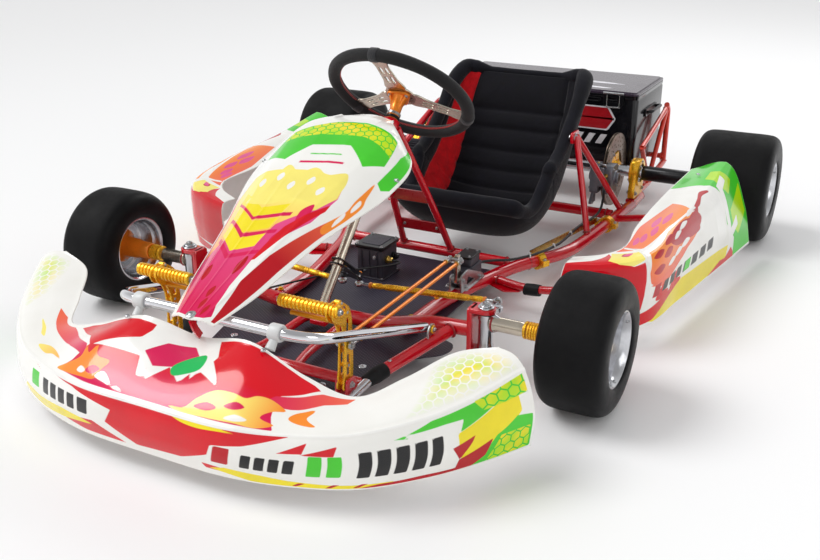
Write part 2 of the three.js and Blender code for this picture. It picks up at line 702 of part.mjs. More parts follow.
// Over-centre latches on the lid's front edge reach down the box's front wall.
function buildLatches() {
  const plate = box([196, BOX.front - 8, BOX.high - 30], [256, BOX.front - 4, BOX.high + 8]);
  const hook = box([206, BOX.front - 8, BOX.high - 36], [246, BOX.front - 2, BOX.high - 30]);
  const barrel = rod(3.5, 196, 256, 10).translate(0, BOX.front - 5, BOX.high + 5.2);
  addPair('latch', join(plate, hook, barrel), paint(METAL.steel, 0.3, 1));
}

function buildBoxFrame() {
  const sideX = 322;
  const chord = tube([[337, 1013, RAIL_Z], [sideX, 1120, 56], [sideX, 1219, 56], [sideX, 1390, 78]], 9, 30);
  const stub = tube([[337, 1013, RAIL_Z], [334, 1100, RAIL_Z]], 14);
  const post = tube([[sideX, 1390, 78], [sideX, 1392, 240], [sideX, 1372, 256]], 8, 20);
  const diagonal = tube([[sideX, 1222, 56], [sideX, 1376, 246]], 7, 10);
  const brace = tube([[sideX, 1226, 56], [sideX, 1130, 184]], 7, 10);
  const top = tube([[sideX, 1130, 184], [sideX, 1372, 246]], 7, 10);
  const sides = [chord, stub, post, diagonal, brace, top];
  const bearer = (y, z) => tube([[-sideX, y, z], [sideX, y, z]], 8, 10);
  const bearerZ = BOX.low - 8 * Math.cos(Math.PI / 8) - GAP;
  const uprights = [tube([[sideX, 1212, 56], [sideX, 1212, bearerZ]], 7, 10, 8)];
  const seatPad = box([sideX - 12, 1202, bearerZ - 8], [sideX, 1222, bearerZ]);
  const pieces = [...sides, ...uprights, seatPad];
  const carrier = join(bearer(1212, bearerZ), bearer(1384, bearerZ), ...pieces, ...pieces.map(mirrored));
  add('box_frame', carrier, paint('#c23a12', 0.3, 0.3));
}

buildBatteryBox();
buildLatches();
buildBoxFrame();

// ---------------------------------------------------------------- steering
function buildSteering() {
  const steering = new THREE.Group();
  steering.position.set(0, WHEEL_CENTRE.y, WHEEL_CENTRE.z);
  steering.rotation.x = COLUMN_TILT;
  kart.add(steering);
  const gripSection = arcPoints(RIM_RING.radius, 0, RIM_RING.grip, 0, 315, 7).map((p) => [p.x, p.y]);
  add('steering_rim', upright(turned(gripSection, 24)), paint(PAINT.black, 0.9), [0, 0, 0], steering);

  const reach = RIM_RING.radius - RIM_RING.grip - 0.6;
  const arm = new THREE.Shape([flat(20, 0), flat(26, 30), flat(15, reach - 12), flat(17, reach - 2), flat(-17, reach - 2),
    flat(-15, reach - 12), flat(-26, 30), flat(-20, 0)]);
  const slot = roundedRectangle(6, 26, 5).getPoints().map((p) => flat(p.x, p.y + 78));
  arm.holes.push(new THREE.Path(slot.reverse()));
  const spokes = [180, -64, 64].map((angle) => slab(arm, -2, 2).rotateZ(THREE.MathUtils.degToRad(angle)));
  add('steering_spokes', join(slab(circleShape(34, 18), -2, 2), ...spokes), paint(METAL.steel, 0.3, 0.9), [0, 0, 0],
    steering);

  const boss = [[0, -60], [13.5, -60], [14, -40], [20, -16], [31, -8], [31, -2.4], [0, -2.4]];
  add('steering_hub', upright(turned(boss, 18)), paint(METAL.orange, 0.3, 0.9), [0, 0, 0], steering);

  const shaft = upright(rod(10, -COLUMN_LENGTH, -60.4, 16));
  const plateOutline = new THREE.Shape([flat(-15, -14), flat(15, -14), flat(30, PITMAN_REACH - 4),
    flat(24, PITMAN_REACH + 10), flat(-24, PITMAN_REACH + 10), flat(-30, PITMAN_REACH - 4)]);
  const pitman = slab(plateOutline, -PITMAN_DOWN - 3, -PITMAN_DOWN + 3);
  const collar = upright(ring(9, 15, -PITMAN_DOWN - 8, -PITMAN_DOWN + 8, 16));
  add('steering_column', join(shaft, collar, pitman), paint('#a89a86', 0.3, 0.9), [0, 0, 0], steering);
}

// The stub axle carrier: a barrel on the kingpin, the stub, and the arm back to the tie rod.
function buildSpindles() {
  const low = YOKE_LOW + YOKE_PLATE + 0.4 - FRONT_AXLE_Z;
  const high = YOKE_HIGH - YOKE_PLATE - 0.4 - FRONT_AXLE_Z;
  const barrel = upright(ring(6.4, 15.5, low, high, 18));
  const reach = FRONT_WHEEL_X - KINGPIN_X;
  const stub = turned([[0, 12], [14, 12], [14, 77], [11, 77], [11, reach - 113], [8.6, reach - 112.6],
    [8.6, reach + 44], [0, reach + 44]], 16);
  const eye = [STEERING_ARM.x - KINGPIN_X, STEERING_ARM.y, STEERING_ARM.z - FRONT_AXLE_Z - 9];
  const arm = tube([[-2, 10, 0], [-14, 60, -6], eye], 6, 30);
  const eyeDisc = upright(rod(11, -4, 4)).translate(...eye);
  const bore = upright(rod(6.4, low - 20, high + 20, 18));
  const spindle = cut(join(barrel, stub, arm, eyeDisc), bore);
  addPair('spindle', spindle, paint(METAL.steel, 0.3, 1), [KINGPIN_X, 0, FRONT_AXLE_Z]);
}

// Each rod runs from the ball above the steering arm's eye in to the column's pitman plate.
function buildTieRods() {
  const inner = alongColumn(PITMAN_DOWN);
  const end = [
    20,
    inner.y + PITMAN_REACH * Math.sin(COLUMN_SLOPE),
    inner.z - PITMAN_REACH * Math.cos(COLUMN_SLOPE) - 17,
  ];
  const outer = [STEERING_ARM.x, STEERING_ARM.y, STEERING_ARM.z + 6.5];
  const along = point(...outer).sub(point(...end));
  const place = (share) => point(...end).addScaledVector(along, share).toArray();
  const middle = tube([place(0.1), place(0.9)], 6, 10);
  const shank = tube([place(0.02), place(0.98)], 3.5, 10);
  const ball = (spot) => upright(ring(3.4, 9, -5, 5, 14)).translate(...spot);
  add('tie_rod_left', join(middle, shank, ball(outer), ball(end)), paint(METAL.gold, 0.3, 0.9));
  add('tie_rod_right', mirrored(join(middle, shank, ball(outer), ball(end))), paint(METAL.gold, 0.3, 0.9));
}

buildSteering();
buildSpindles();
buildTieRods();

// ---------------------------------------------------------------- pedals and brakes
const ROLLER = { y: -276, z: 226, radius: 12 };
const ROD_PIN = { y: -243, z: 150 };
const LEVER = { x: 190, y: 214, pivotZ: 101, pinZ: 151 };

// One pedal: a machined side plate on the pivot, and the ribbed bar that the foot presses.
function pedal(barFrom, barTo) {
  const outline = [[-262, 72], [-250, 66], [-238, 72], [-230, 150], [-232, 216], [-262, 240], [-288, 232], [-290, 216],
    [-262, 196], [-252, 150]];
  const plate = sidePlate(outline, PEDAL.x - PEDAL.halfWidth, PEDAL.x + PEDAL.halfWidth);
  const bar = rod(ROLLER.radius, barFrom, barTo, 12).translate(0, ROLLER.y, ROLLER.z);
  const bore = rod(5, PEDAL.x - 20, PEDAL.x + 20).translate(0, PEDAL.y, PEDAL.z);
  const pinHole = rod(4.4, PEDAL.x - 20, PEDAL.x + 20).translate(0, ROD_PIN.y, ROD_PIN.z);
  return cut(join(plate, bar), bore, pinHole);
}

function buildPedals() {
  const gold = paint(METAL.gold, 0.3, 0.9);
  add('brake_pedal', pedal(82, 202), gold);
  add('throttle_pedal', mirrored(pedal(112, 232)), gold);
}

function buildBrakeRod() {
  const side = PEDAL.halfWidth + 4;
  const rods = [-side, side].map((offset) =>
    tube([[PEDAL.x + offset, ROD_PIN.y, ROD_PIN.z], [LEVER.x + offset, LEVER.y, LEVER.pinZ]], 3.6, 10));
  const spreader = rod(4, PEDAL.x - side - 3, PEDAL.x + side + 3).translate(0, ROD_PIN.y, ROD_PIN.z);
  const clevis = rod(4, PEDAL.x - side - 3, PEDAL.x + side + 3).translate(0, LEVER.y - 14, LEVER.pinZ);
  add('brake_rod', join(...rods, spreader, clevis), paint(METAL.orange, 0.35, 0.7));
}

function buildBrakeMaster() {
  const body = box([160, 236, 74], [198, 322, 112]);
  const reservoir = box([162, 262, 110], [196, 316, 134]);
  const bracket = box([152, 226, 71.4], [206, 326, 75]);
  const ears = [-14, 9].map((x) => box([LEVER.x + x - 2, 204, 72], [LEVER.x + x + 3, 238, LEVER.pivotZ + 8]));
  const pivot = rod(4, LEVER.x - 16, LEVER.x + 12).translate(0, LEVER.y, LEVER.pivotZ);
  add('brake_master', join(body, reservoir, bracket, ...ears, pivot, box([170, 204, 71.4], [204, 240, 76])),
    paint(PAINT.black, 0.4, 0.5));
  const arm = box([LEVER.x - 5, 206, LEVER.pivotZ - 8], [LEVER.x + 3, 222, LEVER.pinZ + 8]);
  const bore = rod(4.4, LEVER.x - 20, LEVER.x + 20).translate(0, LEVER.y, LEVER.pivotZ);
  add('brake_lever', cut(arm, bore), paint(METAL.steel, 0.3, 0.9));
}

function buildThrottleBox() {
  const body = slab(roundedRectangle(34, 38, 5), TRAY_TOP + GAP, 112);
  const lid = slab(roundedRectangle(37, 41, 5), 111, 120);
  const ports = [-14, 14].map((y) => rod(7, 30, 48, 12).translate(0, y, 84));
  add('throttle_box', join(body, lid, ...ports).translate(-56, 301, 0), paint('#3b3d42', 0.5, 0.3));
}

// The brake hose runs inside the left rail from the master cylinder to the caliper.
function buildHose() {
  const route = [
    [179, 323.2, 92], [184, 350, 92], [200, 376, 90], [226, 410, 84], [262, 480, 80], [286, 560, 80], [289, 700, 80], [296, 860, 80],
    [290, 905, 120], [286, 926, 140],
  ];
  add('brake_hose', sweep(smoothPoints(route, 24), 3.2), paint(PAINT.black, 0.5));
}

// The motor's supply cable crosses from the battery box to the motor along the right rail.
function buildPowerCable() {
  const route = [
    [-180, 1149.3, 150], [-180, 1130, 150], [-186, 1070, 190], [-190, 980, 200], [-196, 930, 180], [-206, 890, 176],
  ];
  add('power_cable', sweep(smoothPoints(route, 16), 5), paint('#c9561a', 0.5));
}

buildPedals();
buildBrakeRod();
buildBrakeMaster();
buildThrottleBox();
buildHose();
buildPowerCable();

export default kart;
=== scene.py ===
import math

import bpy
import numpy as np
from mathutils import Matrix, Vector


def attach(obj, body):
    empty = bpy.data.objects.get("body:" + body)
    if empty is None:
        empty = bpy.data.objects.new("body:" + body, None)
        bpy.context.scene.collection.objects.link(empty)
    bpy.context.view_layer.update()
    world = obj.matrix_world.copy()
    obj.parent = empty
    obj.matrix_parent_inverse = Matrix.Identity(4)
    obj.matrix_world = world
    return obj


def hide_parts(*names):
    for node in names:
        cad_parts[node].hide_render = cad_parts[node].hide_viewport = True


# A kart chassis, built in millimetres in "kart" coordinates: x to the kart's left, y back from the front
# axle, z up from the floor. place() turns those into the frame's metres.
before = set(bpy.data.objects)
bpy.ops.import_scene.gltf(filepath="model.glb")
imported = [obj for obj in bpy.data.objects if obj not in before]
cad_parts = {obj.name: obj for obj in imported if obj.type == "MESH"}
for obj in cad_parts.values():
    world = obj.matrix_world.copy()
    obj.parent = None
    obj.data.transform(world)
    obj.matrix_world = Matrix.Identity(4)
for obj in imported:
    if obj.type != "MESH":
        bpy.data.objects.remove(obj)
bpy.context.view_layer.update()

LENGTH_CENTRE = 438.5
WHEELBASE = 1050.0
FRONT_AXLE_Z = 125.9
REAR_AXLE_Z = 136.3
FRONT_WHEEL_X = 547.5
REAR_WHEEL_X = 594.0
KINGPIN_X = 349
SIDES = (("left", 1), ("right", -1))


def place(points):
    """Kart millimetres to frame metres."""
    return (np.asarray(points, float).reshape(-1, 3) - (0, LENGTH_CENTRE, 0)) * 0.001


# ------------------------------------------------------------------ camera, floor and light
def look(location, angles, lens):
    data = bpy.data.cameras.new("camera")
    data.sensor_width = 36
    data.lens = lens
    data.clip_start = 0.02
    data.clip_end = 60
    camera = bpy.data.objects.new("camera", data)
    camera.location = location
    camera.rotation_mode = "QUATERNION"
    pitch, roll, yaw = (math.radians(a) for a in angles)
    turn = Matrix.Rotation(yaw, 3, "Z") @ Matrix.Rotation(math.pi / 2 - pitch, 3,
            "X") @ Matrix.Rotation(roll, 3, "Z")
    camera.rotation_quaternion = turn.to_quaternion()
    bpy.context.scene.collection.objects.link(camera)
    bpy.context.scene.camera = camera


def area_light(name, location, target, power, size):
    data = bpy.data.lights.new(name, "AREA")
    data.energy = power
    data.shape = "RECTANGLE"
    data.size, data.size_y = size
    light = bpy.data.objects.new(name, data)
    light.location = location
    light.rotation_mode = "QUATERNION"
    light.rotation_quaternion = (Vector(target) - Vector(location)).to_track_quat("-Z", "Y")
    bpy.context.scene.collection.objects.link(light)


def sun_light(direction, power, spread):
    data = bpy.data.lights.new("sun", "SUN")
    data.energy = power
    data.angle = math.radians(spread)
    light = bpy.data.objects.new("sun", data)
    light.rotation_euler = Vector(direction).to_track_quat("-Z", "Y").to_euler()
    bpy.context.scene.collection.objects.link(light)


def studio_floor():
    reach = 45.0
    mesh = bpy.data.meshes.new("studio_floor")
    corners = [(-reach, -reach, 0), (reach, -reach, 0), (reach, reach, 0), (-reach, reach, 0)]
    mesh.from_pydata(corners, [], [(0, 1, 2, 3)])
    floor = bpy.data.objects.new("studio_floor", mesh)
    material = bpy.data.materials.new("studio_floor")
    material.use_nodes = True
    shader = material.node_tree.nodes["Principled BSDF"]
    shader.inputs["Base Color"].default_value = (0.93, 0.93, 0.935, 1)
    shader.inputs["Roughness"].default_value = 0.55
    mesh.materials.append(material)
    bpy.context.scene.collection.objects.link(floor)


def studio_sky():
    """A pale surround, brighter near the horizon than overhead."""
    world = bpy.data.worlds.new("studio")
    bpy.context.scene.world = world
    world.use_nodes = True
    nodes, links = world.node_tree.nodes, world.node_tree.links
    upward = nodes.new("ShaderNodeSeparateXYZ")
    links.new(nodes.new("ShaderNodeTexCoord").outputs["Generated"], upward.inputs[0])
    fade = nodes.new("ShaderNodeMapRange")
    for key, value in (("From Min", 0.12), ("From Max", 0.75), ("To Min", 0.92), ("To Max", 0.42)):
        fade.inputs[key].default_value = value
    links.new(upward.outputs["Z"], fade.inputs["Value"])
    background = nodes["Background"]
    background.inputs["Color"].default_value = (1, 1, 1, 1)
    links.new(fade.outputs[0], background.inputs["Strength"])


def studio():
    studio_floor()
    studio_sky()
    bpy.context.scene.view_settings.view_transform = "Standard"
    sun_light((2.0, 0.5, -2.6), 1.3, 28)
    area_light("key", (-2.2, -2.4, 3.4), (0, 0, 0.2), 30, (2.4, 1.6))
    area_light("fill", (3.2, -1.6, 2.4), (0, 0, 0.2), 16, (2.0, 2.0))
    area_light("back", (0.6, 3.4, 2.8), (0, 0.2, 0.3), 30, (2.6, 1.2))


# ------------------------------------------------------------------ materials
def linear(colour):
    """A colour given as three 0 to 255 display values, in linear light."""
    return tuple((c / 255 / 12.92) if c <= 10 else ((c / 255 + 0.055) / 1.055) ** 2.4 for c in colour)


class Nodes:
    """Short names for building one material's node tree."""

    def __init__(self, name):
        self.material = bpy.data.materials.new(name)
        self.material.use_nodes = True
        self.tree = self.material.node_tree
        self.shader = self.tree.nodes["Principled BSDF"]
        self.where = self.node("ShaderNodeTexCoord").outputs["Object"]

    def node(self, kind, **settings):
        made = self.tree.nodes.new(kind)
        for key, value in settings.items():
            setattr(made, key, value)
        return made

    def put(self, socket, value):
        if isinstance(value, bpy.types.NodeSocket):
            self.tree.links.new(value, socket)
        elif isinstance(value, (tuple, list)) and len(value) == 3 and socket.type == "RGBA":
            socket.default_value = (*value, 1)
        else:
            socket.default_value = value

    def math(self, operation, a, b=0.0):
        made = self.node("ShaderNodeMath", operation=operation)
        for socket, value in zip(made.inputs, (a, b)):
            self.put(socket, value)
        return made.outputs[0]

    def vector(self, operation, a, b=(0, 0, 0), c=(0, 0, 0)):
        made = self.node("ShaderNodeVectorMath", operation=operation)
        for socket, value in zip(made.inputs, (a, b, c)):
            self.put(socket, value)
        return made.outputs["Value"] if operation in ("LENGTH", "DOT_PRODUCT") else made.outputs[0]

    def noise(self, scale, detail=3.0, rough=0.55, stretch=None):
        made = self.node("ShaderNodeTexNoise")
        where = self.vector("MULTIPLY", self.where, stretch) if stretch else self.where
        self.put(made.inputs["Vector"], where)
        made.inputs["Scale"].default_value = scale
        made.inputs["Detail"].default_value = detail
        made.inputs["Roughness"].default_value = rough
        return made.outputs["Fac"]

    def span(self, value, low, high, to_low=0.0, to_high=1.0):
        made = self.node("ShaderNodeMapRange")
        keys = ("Value", "From Min", "From Max", "To Min", "To Max")
        for key, number in zip(keys, (value, low, high, to_low, to_high)):
            self.put(made.inputs[key], number)
        return made.outputs[0]

    def mix(self, share, a, b):
        made = self.node("ShaderNodeMix", data_type="RGBA")
        for socket, value in ((made.inputs[0], share), (made.inputs[6], a), (made.inputs[7], b)):
            self.put(socket, value)
        return made.outputs[2]

    def wave(self, scale, direction="X", distortion=0.0, where=None):
        made = self.node("ShaderNodeTexWave", bands_direction=direction)
        self.put(made.inputs["Vector"], self.where if where is None else where)
        made.inputs["Scale"].default_value = scale
        made.inputs["Distortion"].default_value = distortion
        return made.outputs["Fac"]

    def attribute(self, name):
        return self.node("ShaderNodeAttribute", attribute_name=name).outputs["Fac"]

    def bump(self, height, strength, distance=0.001):
        made = self.node("ShaderNodeBump")
        made.inputs["Strength"].default_value = strength
        made.inputs["Distance"].default_value = distance
        self.put(made.inputs["Height"], height)
        self.put(self.shader.inputs["Normal"], made.outputs[0])

    def set(self, **inputs):
        for key, value in inputs.items():
            self.put(self.shader.inputs[key.replace("_", " ")], value)
        return self.material


def finish_of(name, colour, rough=0.35, metal=0.0, coat=0.0, vary=0.12, blotch=18, grain=420, bump=0.15,
              brushed=None, spread=0.10, dirt=0.25, shine=0.5):
    """A painted, plated, machined or moulded surface: uneven colour, grain in the bump, and dust."""
    n = Nodes(name)
    base = linear(colour)
    darker = tuple(c * (1 - vary) for c in base)
    lighter = tuple(min(1, c * (1 + vary)) for c in base)
    shade = n.mix(n.span(n.noise(blotch, 4), 0.3, 0.7), darker, lighter)
    dust = n.math("MULTIPLY", n.span(n.noise(blotch * 2.6, 6, 0.7), 0.52, 0.78), dirt)
    shade = n.mix(dust, shade, tuple(0.55 * c + 0.04 for c in base))
    fine = n.noise(grain, 3, 0.6, brushed)
    n.bump(fine, bump, 0.0004)
    grainy = n.span(fine, 0.3, 0.7, rough - spread * 0.4, rough + spread * 0.4)
    roughness = n.math("ADD", grainy, n.math("MULTIPLY", dust, 0.35))
    return n.set(Base_Color=shade, Roughness=roughness, Metallic=metal, Coat_Weight=coat, Coat_Roughness=0.06,
                 Specular_IOR_Level=shine)


def tyre_rubber():
    n = Nodes("tyre_rubber")
    worn = n.attribute("tread")
    scuff = n.span(n.noise(26, 6, 0.7, (1, 1, 1)), 0.4, 0.75)
    wall = n.mix(scuff, (0.003, 0.003, 0.0036), (0.007, 0.007, 0.008))
    band = n.mix(n.noise(60, 6, 0.8), (0.004, 0.004, 0.0048), (0.009, 0.0088, 0.0092))
    n.bump(n.math("ADD", n.noise(900, 4, 0.7), n.math("MULTIPLY", n.noise(90, 5, 0.6), 0.6)), 0.5, 0.0007)
    rough = n.math("ADD", n.span(scuff, 0, 1, 0.34, 0.5), n.math("MULTIPLY", worn, 0.24))
    return n.set(Base_Color=n.mix(worn, wall, band), Roughness=rough, Metallic=0.0, Specular_IOR_Level=0.12)


def tray_sheet():
    """Dark moulded sheet with a fine diagonal dot pattern."""
    n = Nodes("tray_sheet")
    turned = n.node("ShaderNodeMapping")
    turned.inputs["Rotation"].default_value = (0, 0, math.radians(32))
    n.put(turned.inputs["Vector"], n.where)
    where = turned.outputs[0]
    dots = n.math("MULTIPLY", n.wave(52, "X", 0, where), n.wave(52, "Y", 0, where))
    n.bump(n.math("ADD", dots, n.math("MULTIPLY", n.noise(300, 3), 0.4)), 0.5, 0.0008)
    base = n.mix(n.span(n.noise(6, 4), 0.3, 0.7), linear((34, 30, 44)), linear((48, 44, 58)))
    shade = n.mix(n.span(dots, 0.35, 0.8), base, linear((74, 70, 88)))
    dusty = n.mix(n.math("MULTIPLY", n.span(n.noise(34, 8, 0.75), 0.55, 0.8), 0.25), shade,
                  linear((96, 92, 100)))
    return n.set(Base_Color=dusty, Roughness=n.span(dots, 0, 1, 0.5, 0.36), Metallic=0.0)


def woven(name, first, second, scale=420, rough=0.85, sheen=0.35, bump=0.8):
    """Cloth with an over-and-under weave, mottled, with a faint nap."""
    n = Nodes(name)
    over = n.wave(scale, "DIAGONAL", 0.4)
    under = n.wave(scale, "X", 0.4)
    weave = n.math("MULTIPLY", over, under)
    patch = n.span(n.noise(30, 6, 0.7), 0.35, 0.7)
    shade = n.mix(patch, linear(first), linear(second))
    shade = n.mix(n.math("MULTIPLY", weave, 0.35), shade, tuple(min(1, c * 2.2 + 0.004)
            for c in linear(second)))
    n.bump(n.math("ADD", weave, n.math("MULTIPLY", n.noise(1400, 3), 0.5)), bump, 0.0006)
    return n.set(Base_Color=shade, Roughness=n.span(patch, 0, 1, rough - 0.1, rough), Sheen_Weight=sheen,
                 Sheen_Roughness=0.45, Metallic=0.0)


MATERIALS = {"red": finish_of("frame_paint", (206, 4, 28), 0.16, 0.0, 0.8, 0.12, 10, 160, 0.06, dirt=0.08),
             # frame_paint_shaded is the frame red darkened: painted shade, used for the steering support's
             # plates
             "red_dark": finish_of("frame_paint_shaded", (150, 4, 20), 0.3, 0.0, 0.5, 0.2, 14, 200, 0.1),
             "carrier": finish_of("carrier_paint", (224, 52, 26), 0.2, 0.1, 0.7, 0.14, 12, 200, 0.08),
             "weld": finish_of("weld_bead", (150, 10, 20), 0.35, 0.2, 0.4, 0.3, 90, 700, 0.8),
             "chrome": finish_of("chrome_tube", (226, 226, 230), 0.06, 1.0, 0.0, 0.06, 16, 300, 0.03,
        spread=0.06, dirt=0.1), "alloy": finish_of("polished_alloy", (205, 206, 210), 0.2, 1.0, 0.0, 0.1,
        24, 500, 0.08, brushed=(0.2, 1, 1)), "nickel": finish_of("brushed_nickel", (206, 196, 180), 0.22,
        1.0, 0.0, 0.08, 20, 500, 0.14, brushed=(1, 0.12, 0.12)), "steel": finish_of("zinc_steel",
        (186, 188, 190), 0.28, 1.0, 0.0, 0.12, 40, 600, 0.14), "gold": finish_of("gold_alloy",
        (255, 190, 40), 0.28, 0.7, 0.25, 0.08, 30, 500, 0.08, dirt=0.05),
             # gold_shaded is the gold alloy darkened: painted shade, used for the pedal strut
             "gold_dark": finish_of("gold_shaded", (226, 150, 26), 0.34, 0.8, 0.1, 0.18, 30, 500, 0.14),
             "orange": finish_of("orange_alloy", (252, 140, 34), 0.3, 0.5, 0.3, 0.08, 30, 500, 0.08,
        dirt=0.05), "rubber": finish_of("black_rubber", (16, 16, 18), 0.55, 0.0, 0.0, 0.3, 30, 900, 0.3,
        shine=0.25), "black": finish_of("black_metal", (18, 18, 22), 0.32, 0.3, 0.2, 0.3, 30, 600, 0.14,
        shine=0.35), "black_gloss": finish_of("box_black", (10, 9, 15), 0.22, 0.0, 0.35, 0.3, 8, 240, 0.07,
        # box_lid_top_painted_sheen is a plum-grey lighter than the black box: painted sheen for the lid's
        # upward face
        shine=0.3), "lid": finish_of("box_lid_top_painted_sheen", (58, 46, 62), 0.26, 0.0, 0.4, 0.2, 5, 240, 0.08,
        shine=0.35), "cast": finish_of("grey_cast", (128, 130, 138), 0.4, 0.7, 0.0, 0.16, 60, 900, 0.6),
             "dark_cast": finish_of("dark_cast", (64, 61, 70), 0.46, 0.35, 0.0, 0.16, 60, 900, 0.5),
             "iron": finish_of("disc_iron", (132, 116, 104), 0.3, 1.0, 0.0, 0.16, 30, 420, 0.25),
             "chain": finish_of("chain_steel", (92, 88, 84), 0.4, 0.95, 0.0, 0.25, 90, 900, 0.4),
             "shell": finish_of("black_shell", (16, 16, 18), 0.3, 0.0, 0.4, 0.3, 14, 400, 0.12),
             "plastic": finish_of("pale_plastic", (212, 214, 214), 0.4, 0.0, 0.1, 0.06, 30, 500, 0.1),
             "cable": finish_of("cable_black", (18, 18, 20), 0.42, 0.0, 0.1, 0.3, 40, 700, 0.2),
             "cable_orange": finish_of("cable_orange", (214, 96, 24), 0.42, 0.0, 0.1, 0.14, 40, 700, 0.2),
             "cells": finish_of("cell_casing", (58, 74, 99), 0.4, 0.0, 0.2, 0.14, 20, 500, 0.15),
             "brass": finish_of("brass", (206, 176, 96), 0.26, 1.0, 0.0, 0.12, 40, 600, 0.14),
             "tyre": tyre_rubber(), "tray": tray_sheet(), "fabric": woven("seat_fabric", (13, 13, 18),
        (26, 26, 33), 260), "fabric_red": woven("seat_fabric_red", (150, 14, 22), (186, 26, 34), 260),
             "suede": woven("suede", (9, 9, 11), (20, 19, 22), 900, 0.95, 0.12, 0.35),
             "thread": woven("red_thread", (190, 30, 30), (220, 60, 50), 1800, 0.7),}


# ------------------------------------------------------------------ paths
def bent(corners, radius=45, steps=7):
    """Straight stretches between the corners, and a round bend at each inner corner."""
    points = [np.array(c, float) for c in corners]
    path = [points[0]]
    for before, corner, after in zip(points, points[1:], points[2:]):
        back, ahead = before - corner, after - corner
        reach = min(radius, 0.45 * np.linalg.norm(back), 0.45 * np.linalg.norm(ahead))
        start = corner + back / np.linalg.norm(back) * reach
        end = corner + ahead / np.linalg.norm(ahead) * reach
        for t in np.linspace(0, 1, steps + 1):
            path.append((1 - t) ** 2 * start + 2 * t * (1 - t) * corner + t * t * end)
    path.append(points[-1])
    return np.array(path)


def catmull(points, t):
    """A point on the centripetal curve through the points, t from 0 to 1."""
    points = [np.asarray(p, float) for p in points]
    last = len(points) - 1
    index = min(int(t * last), last - 1)
    w = t * last - index
    p1, p2 = points[index], points[index + 1]
    p0 = points[index - 1] if index > 0 else 2 * p1 - p2
    p3 = points[index + 2] if index + 2 <= last else 2 * p2 - p1
    d0, d1, d2 = (max(np.linalg.norm(b - a) ** 0.5, 1e-4) for a, b in ((p0, p1), (p1, p2), (p2, p3)))
    m1 = ((p1 - p0) / d0 - (p2 - p0) / (d0 + d1) + (p2 - p1) / d1) * d1
    m2 = ((p2 - p1) / d1 - (p3 - p1) / (d1 + d2) + (p3 - p2) / d2) * d1
    return p1 + m1 * w + (3 * (p2 - p1) - 2 * m1 - m2) * w * w + (2 * (p1 - p2) + m1 + m2) * w ** 3


def smooth_path(points, steps):
    return np.array([catmull(points, t) for t in np.linspace(0, 1, steps + 1)])


# ------------------------------------------------------------------ forms: (vertices, faces)
def grid_faces(rows, columns, close_rows=False, close_columns=False, flipped=False):
    faces = []
    for i in range(rows if close_rows else rows - 1):
        for j in range(columns if close_columns else columns - 1):
            a, b = i * columns + j, i * columns + (j + 1) % columns
            k = (i + 1) % rows
            c, d = k * columns + (j + 1) % columns, k * columns + j
            faces.append((a, d, c, b) if flipped else (a, b, c, d))
    return faces


def frames_along(path):
    """A tangent and two side directions at each point, turning as little as they can."""
    tangents = np.gradient(path, axis=0)
    tangents /= np.linalg.norm(tangents, axis=1)[:, None]
    side = np.cross(tangents[0], (0, 0, 1) if abs(tangents[0][2]) < 0.9 else (1, 0, 0))
    sides = []
    for tangent in tangents:
        side = side - tangent * (side @ tangent)
        side = side / np.linalg.norm(side)
        sides.append(side.copy())
    sides = np.array(sides)
    return tangents, sides, np.cross(tangents, sides)


def tube(path, radius, sides=20, section=None):
    """A round bar along a path, or one of another section, given as (u, v) pairs. The radius is one number,
    or a list with one for each point."""
    path = np.asarray(path, float)
    _, u, v = frames_along(path)
    radii = np.broadcast_to(np.asarray(radius, float), (len(path),))
    if section is None:
        angles = np.linspace(0, 2 * math.pi, sides, endpoint=False)
        section = np.stack([np.cos(angles), np.sin(angles)], -1)
    section = np.asarray(section, float)
    rings = path[:, None] + radii[:, None, None] * (section[None, :, :1] * u[:, None] + section[None, :,
            1:] * v[:, None])
    count = len(section)
    faces = grid_faces(len(path), count, close_columns=True, flipped=True)
    faces += [tuple(range(count)), tuple((len(path) - 1) * count + i for i in reversed(range(count)))]
    return rings.reshape(-1, 3), faces


def bar(start, end, radius, sides=20):
    return tube(np.linspace(start, end, 2), radius, sides)


def torus(centre, axis, ring, thickness, steps=32, sides=10):
    """A ring of round section, for weld beads, piping and O-rings."""
    axis = np.asarray(axis, float) / np.linalg.norm(axis)
    u = np.cross(axis, (0, 0, 1) if abs(axis[2]) < 0.9 else (1, 0, 0))
    u /= np.linalg.norm(u)
    v = np.cross(axis, u)
    turn = np.linspace(0, 2 * math.pi, steps, endpoint=False)
    around = np.linspace(0, 2 * math.pi, sides, endpoint=False)
    out = np.cos(turn)[:, None] * u + np.sin(turn)[:, None] * v
    rings = (np.asarray(centre, float) + (ring + thickness * np.cos(around))[None, :, None] * out[:, None]
             + thickness * np.sin(around)[None, :, None] * axis)
    return rings.reshape(-1, 3), grid_faces(steps, sides, True, True)


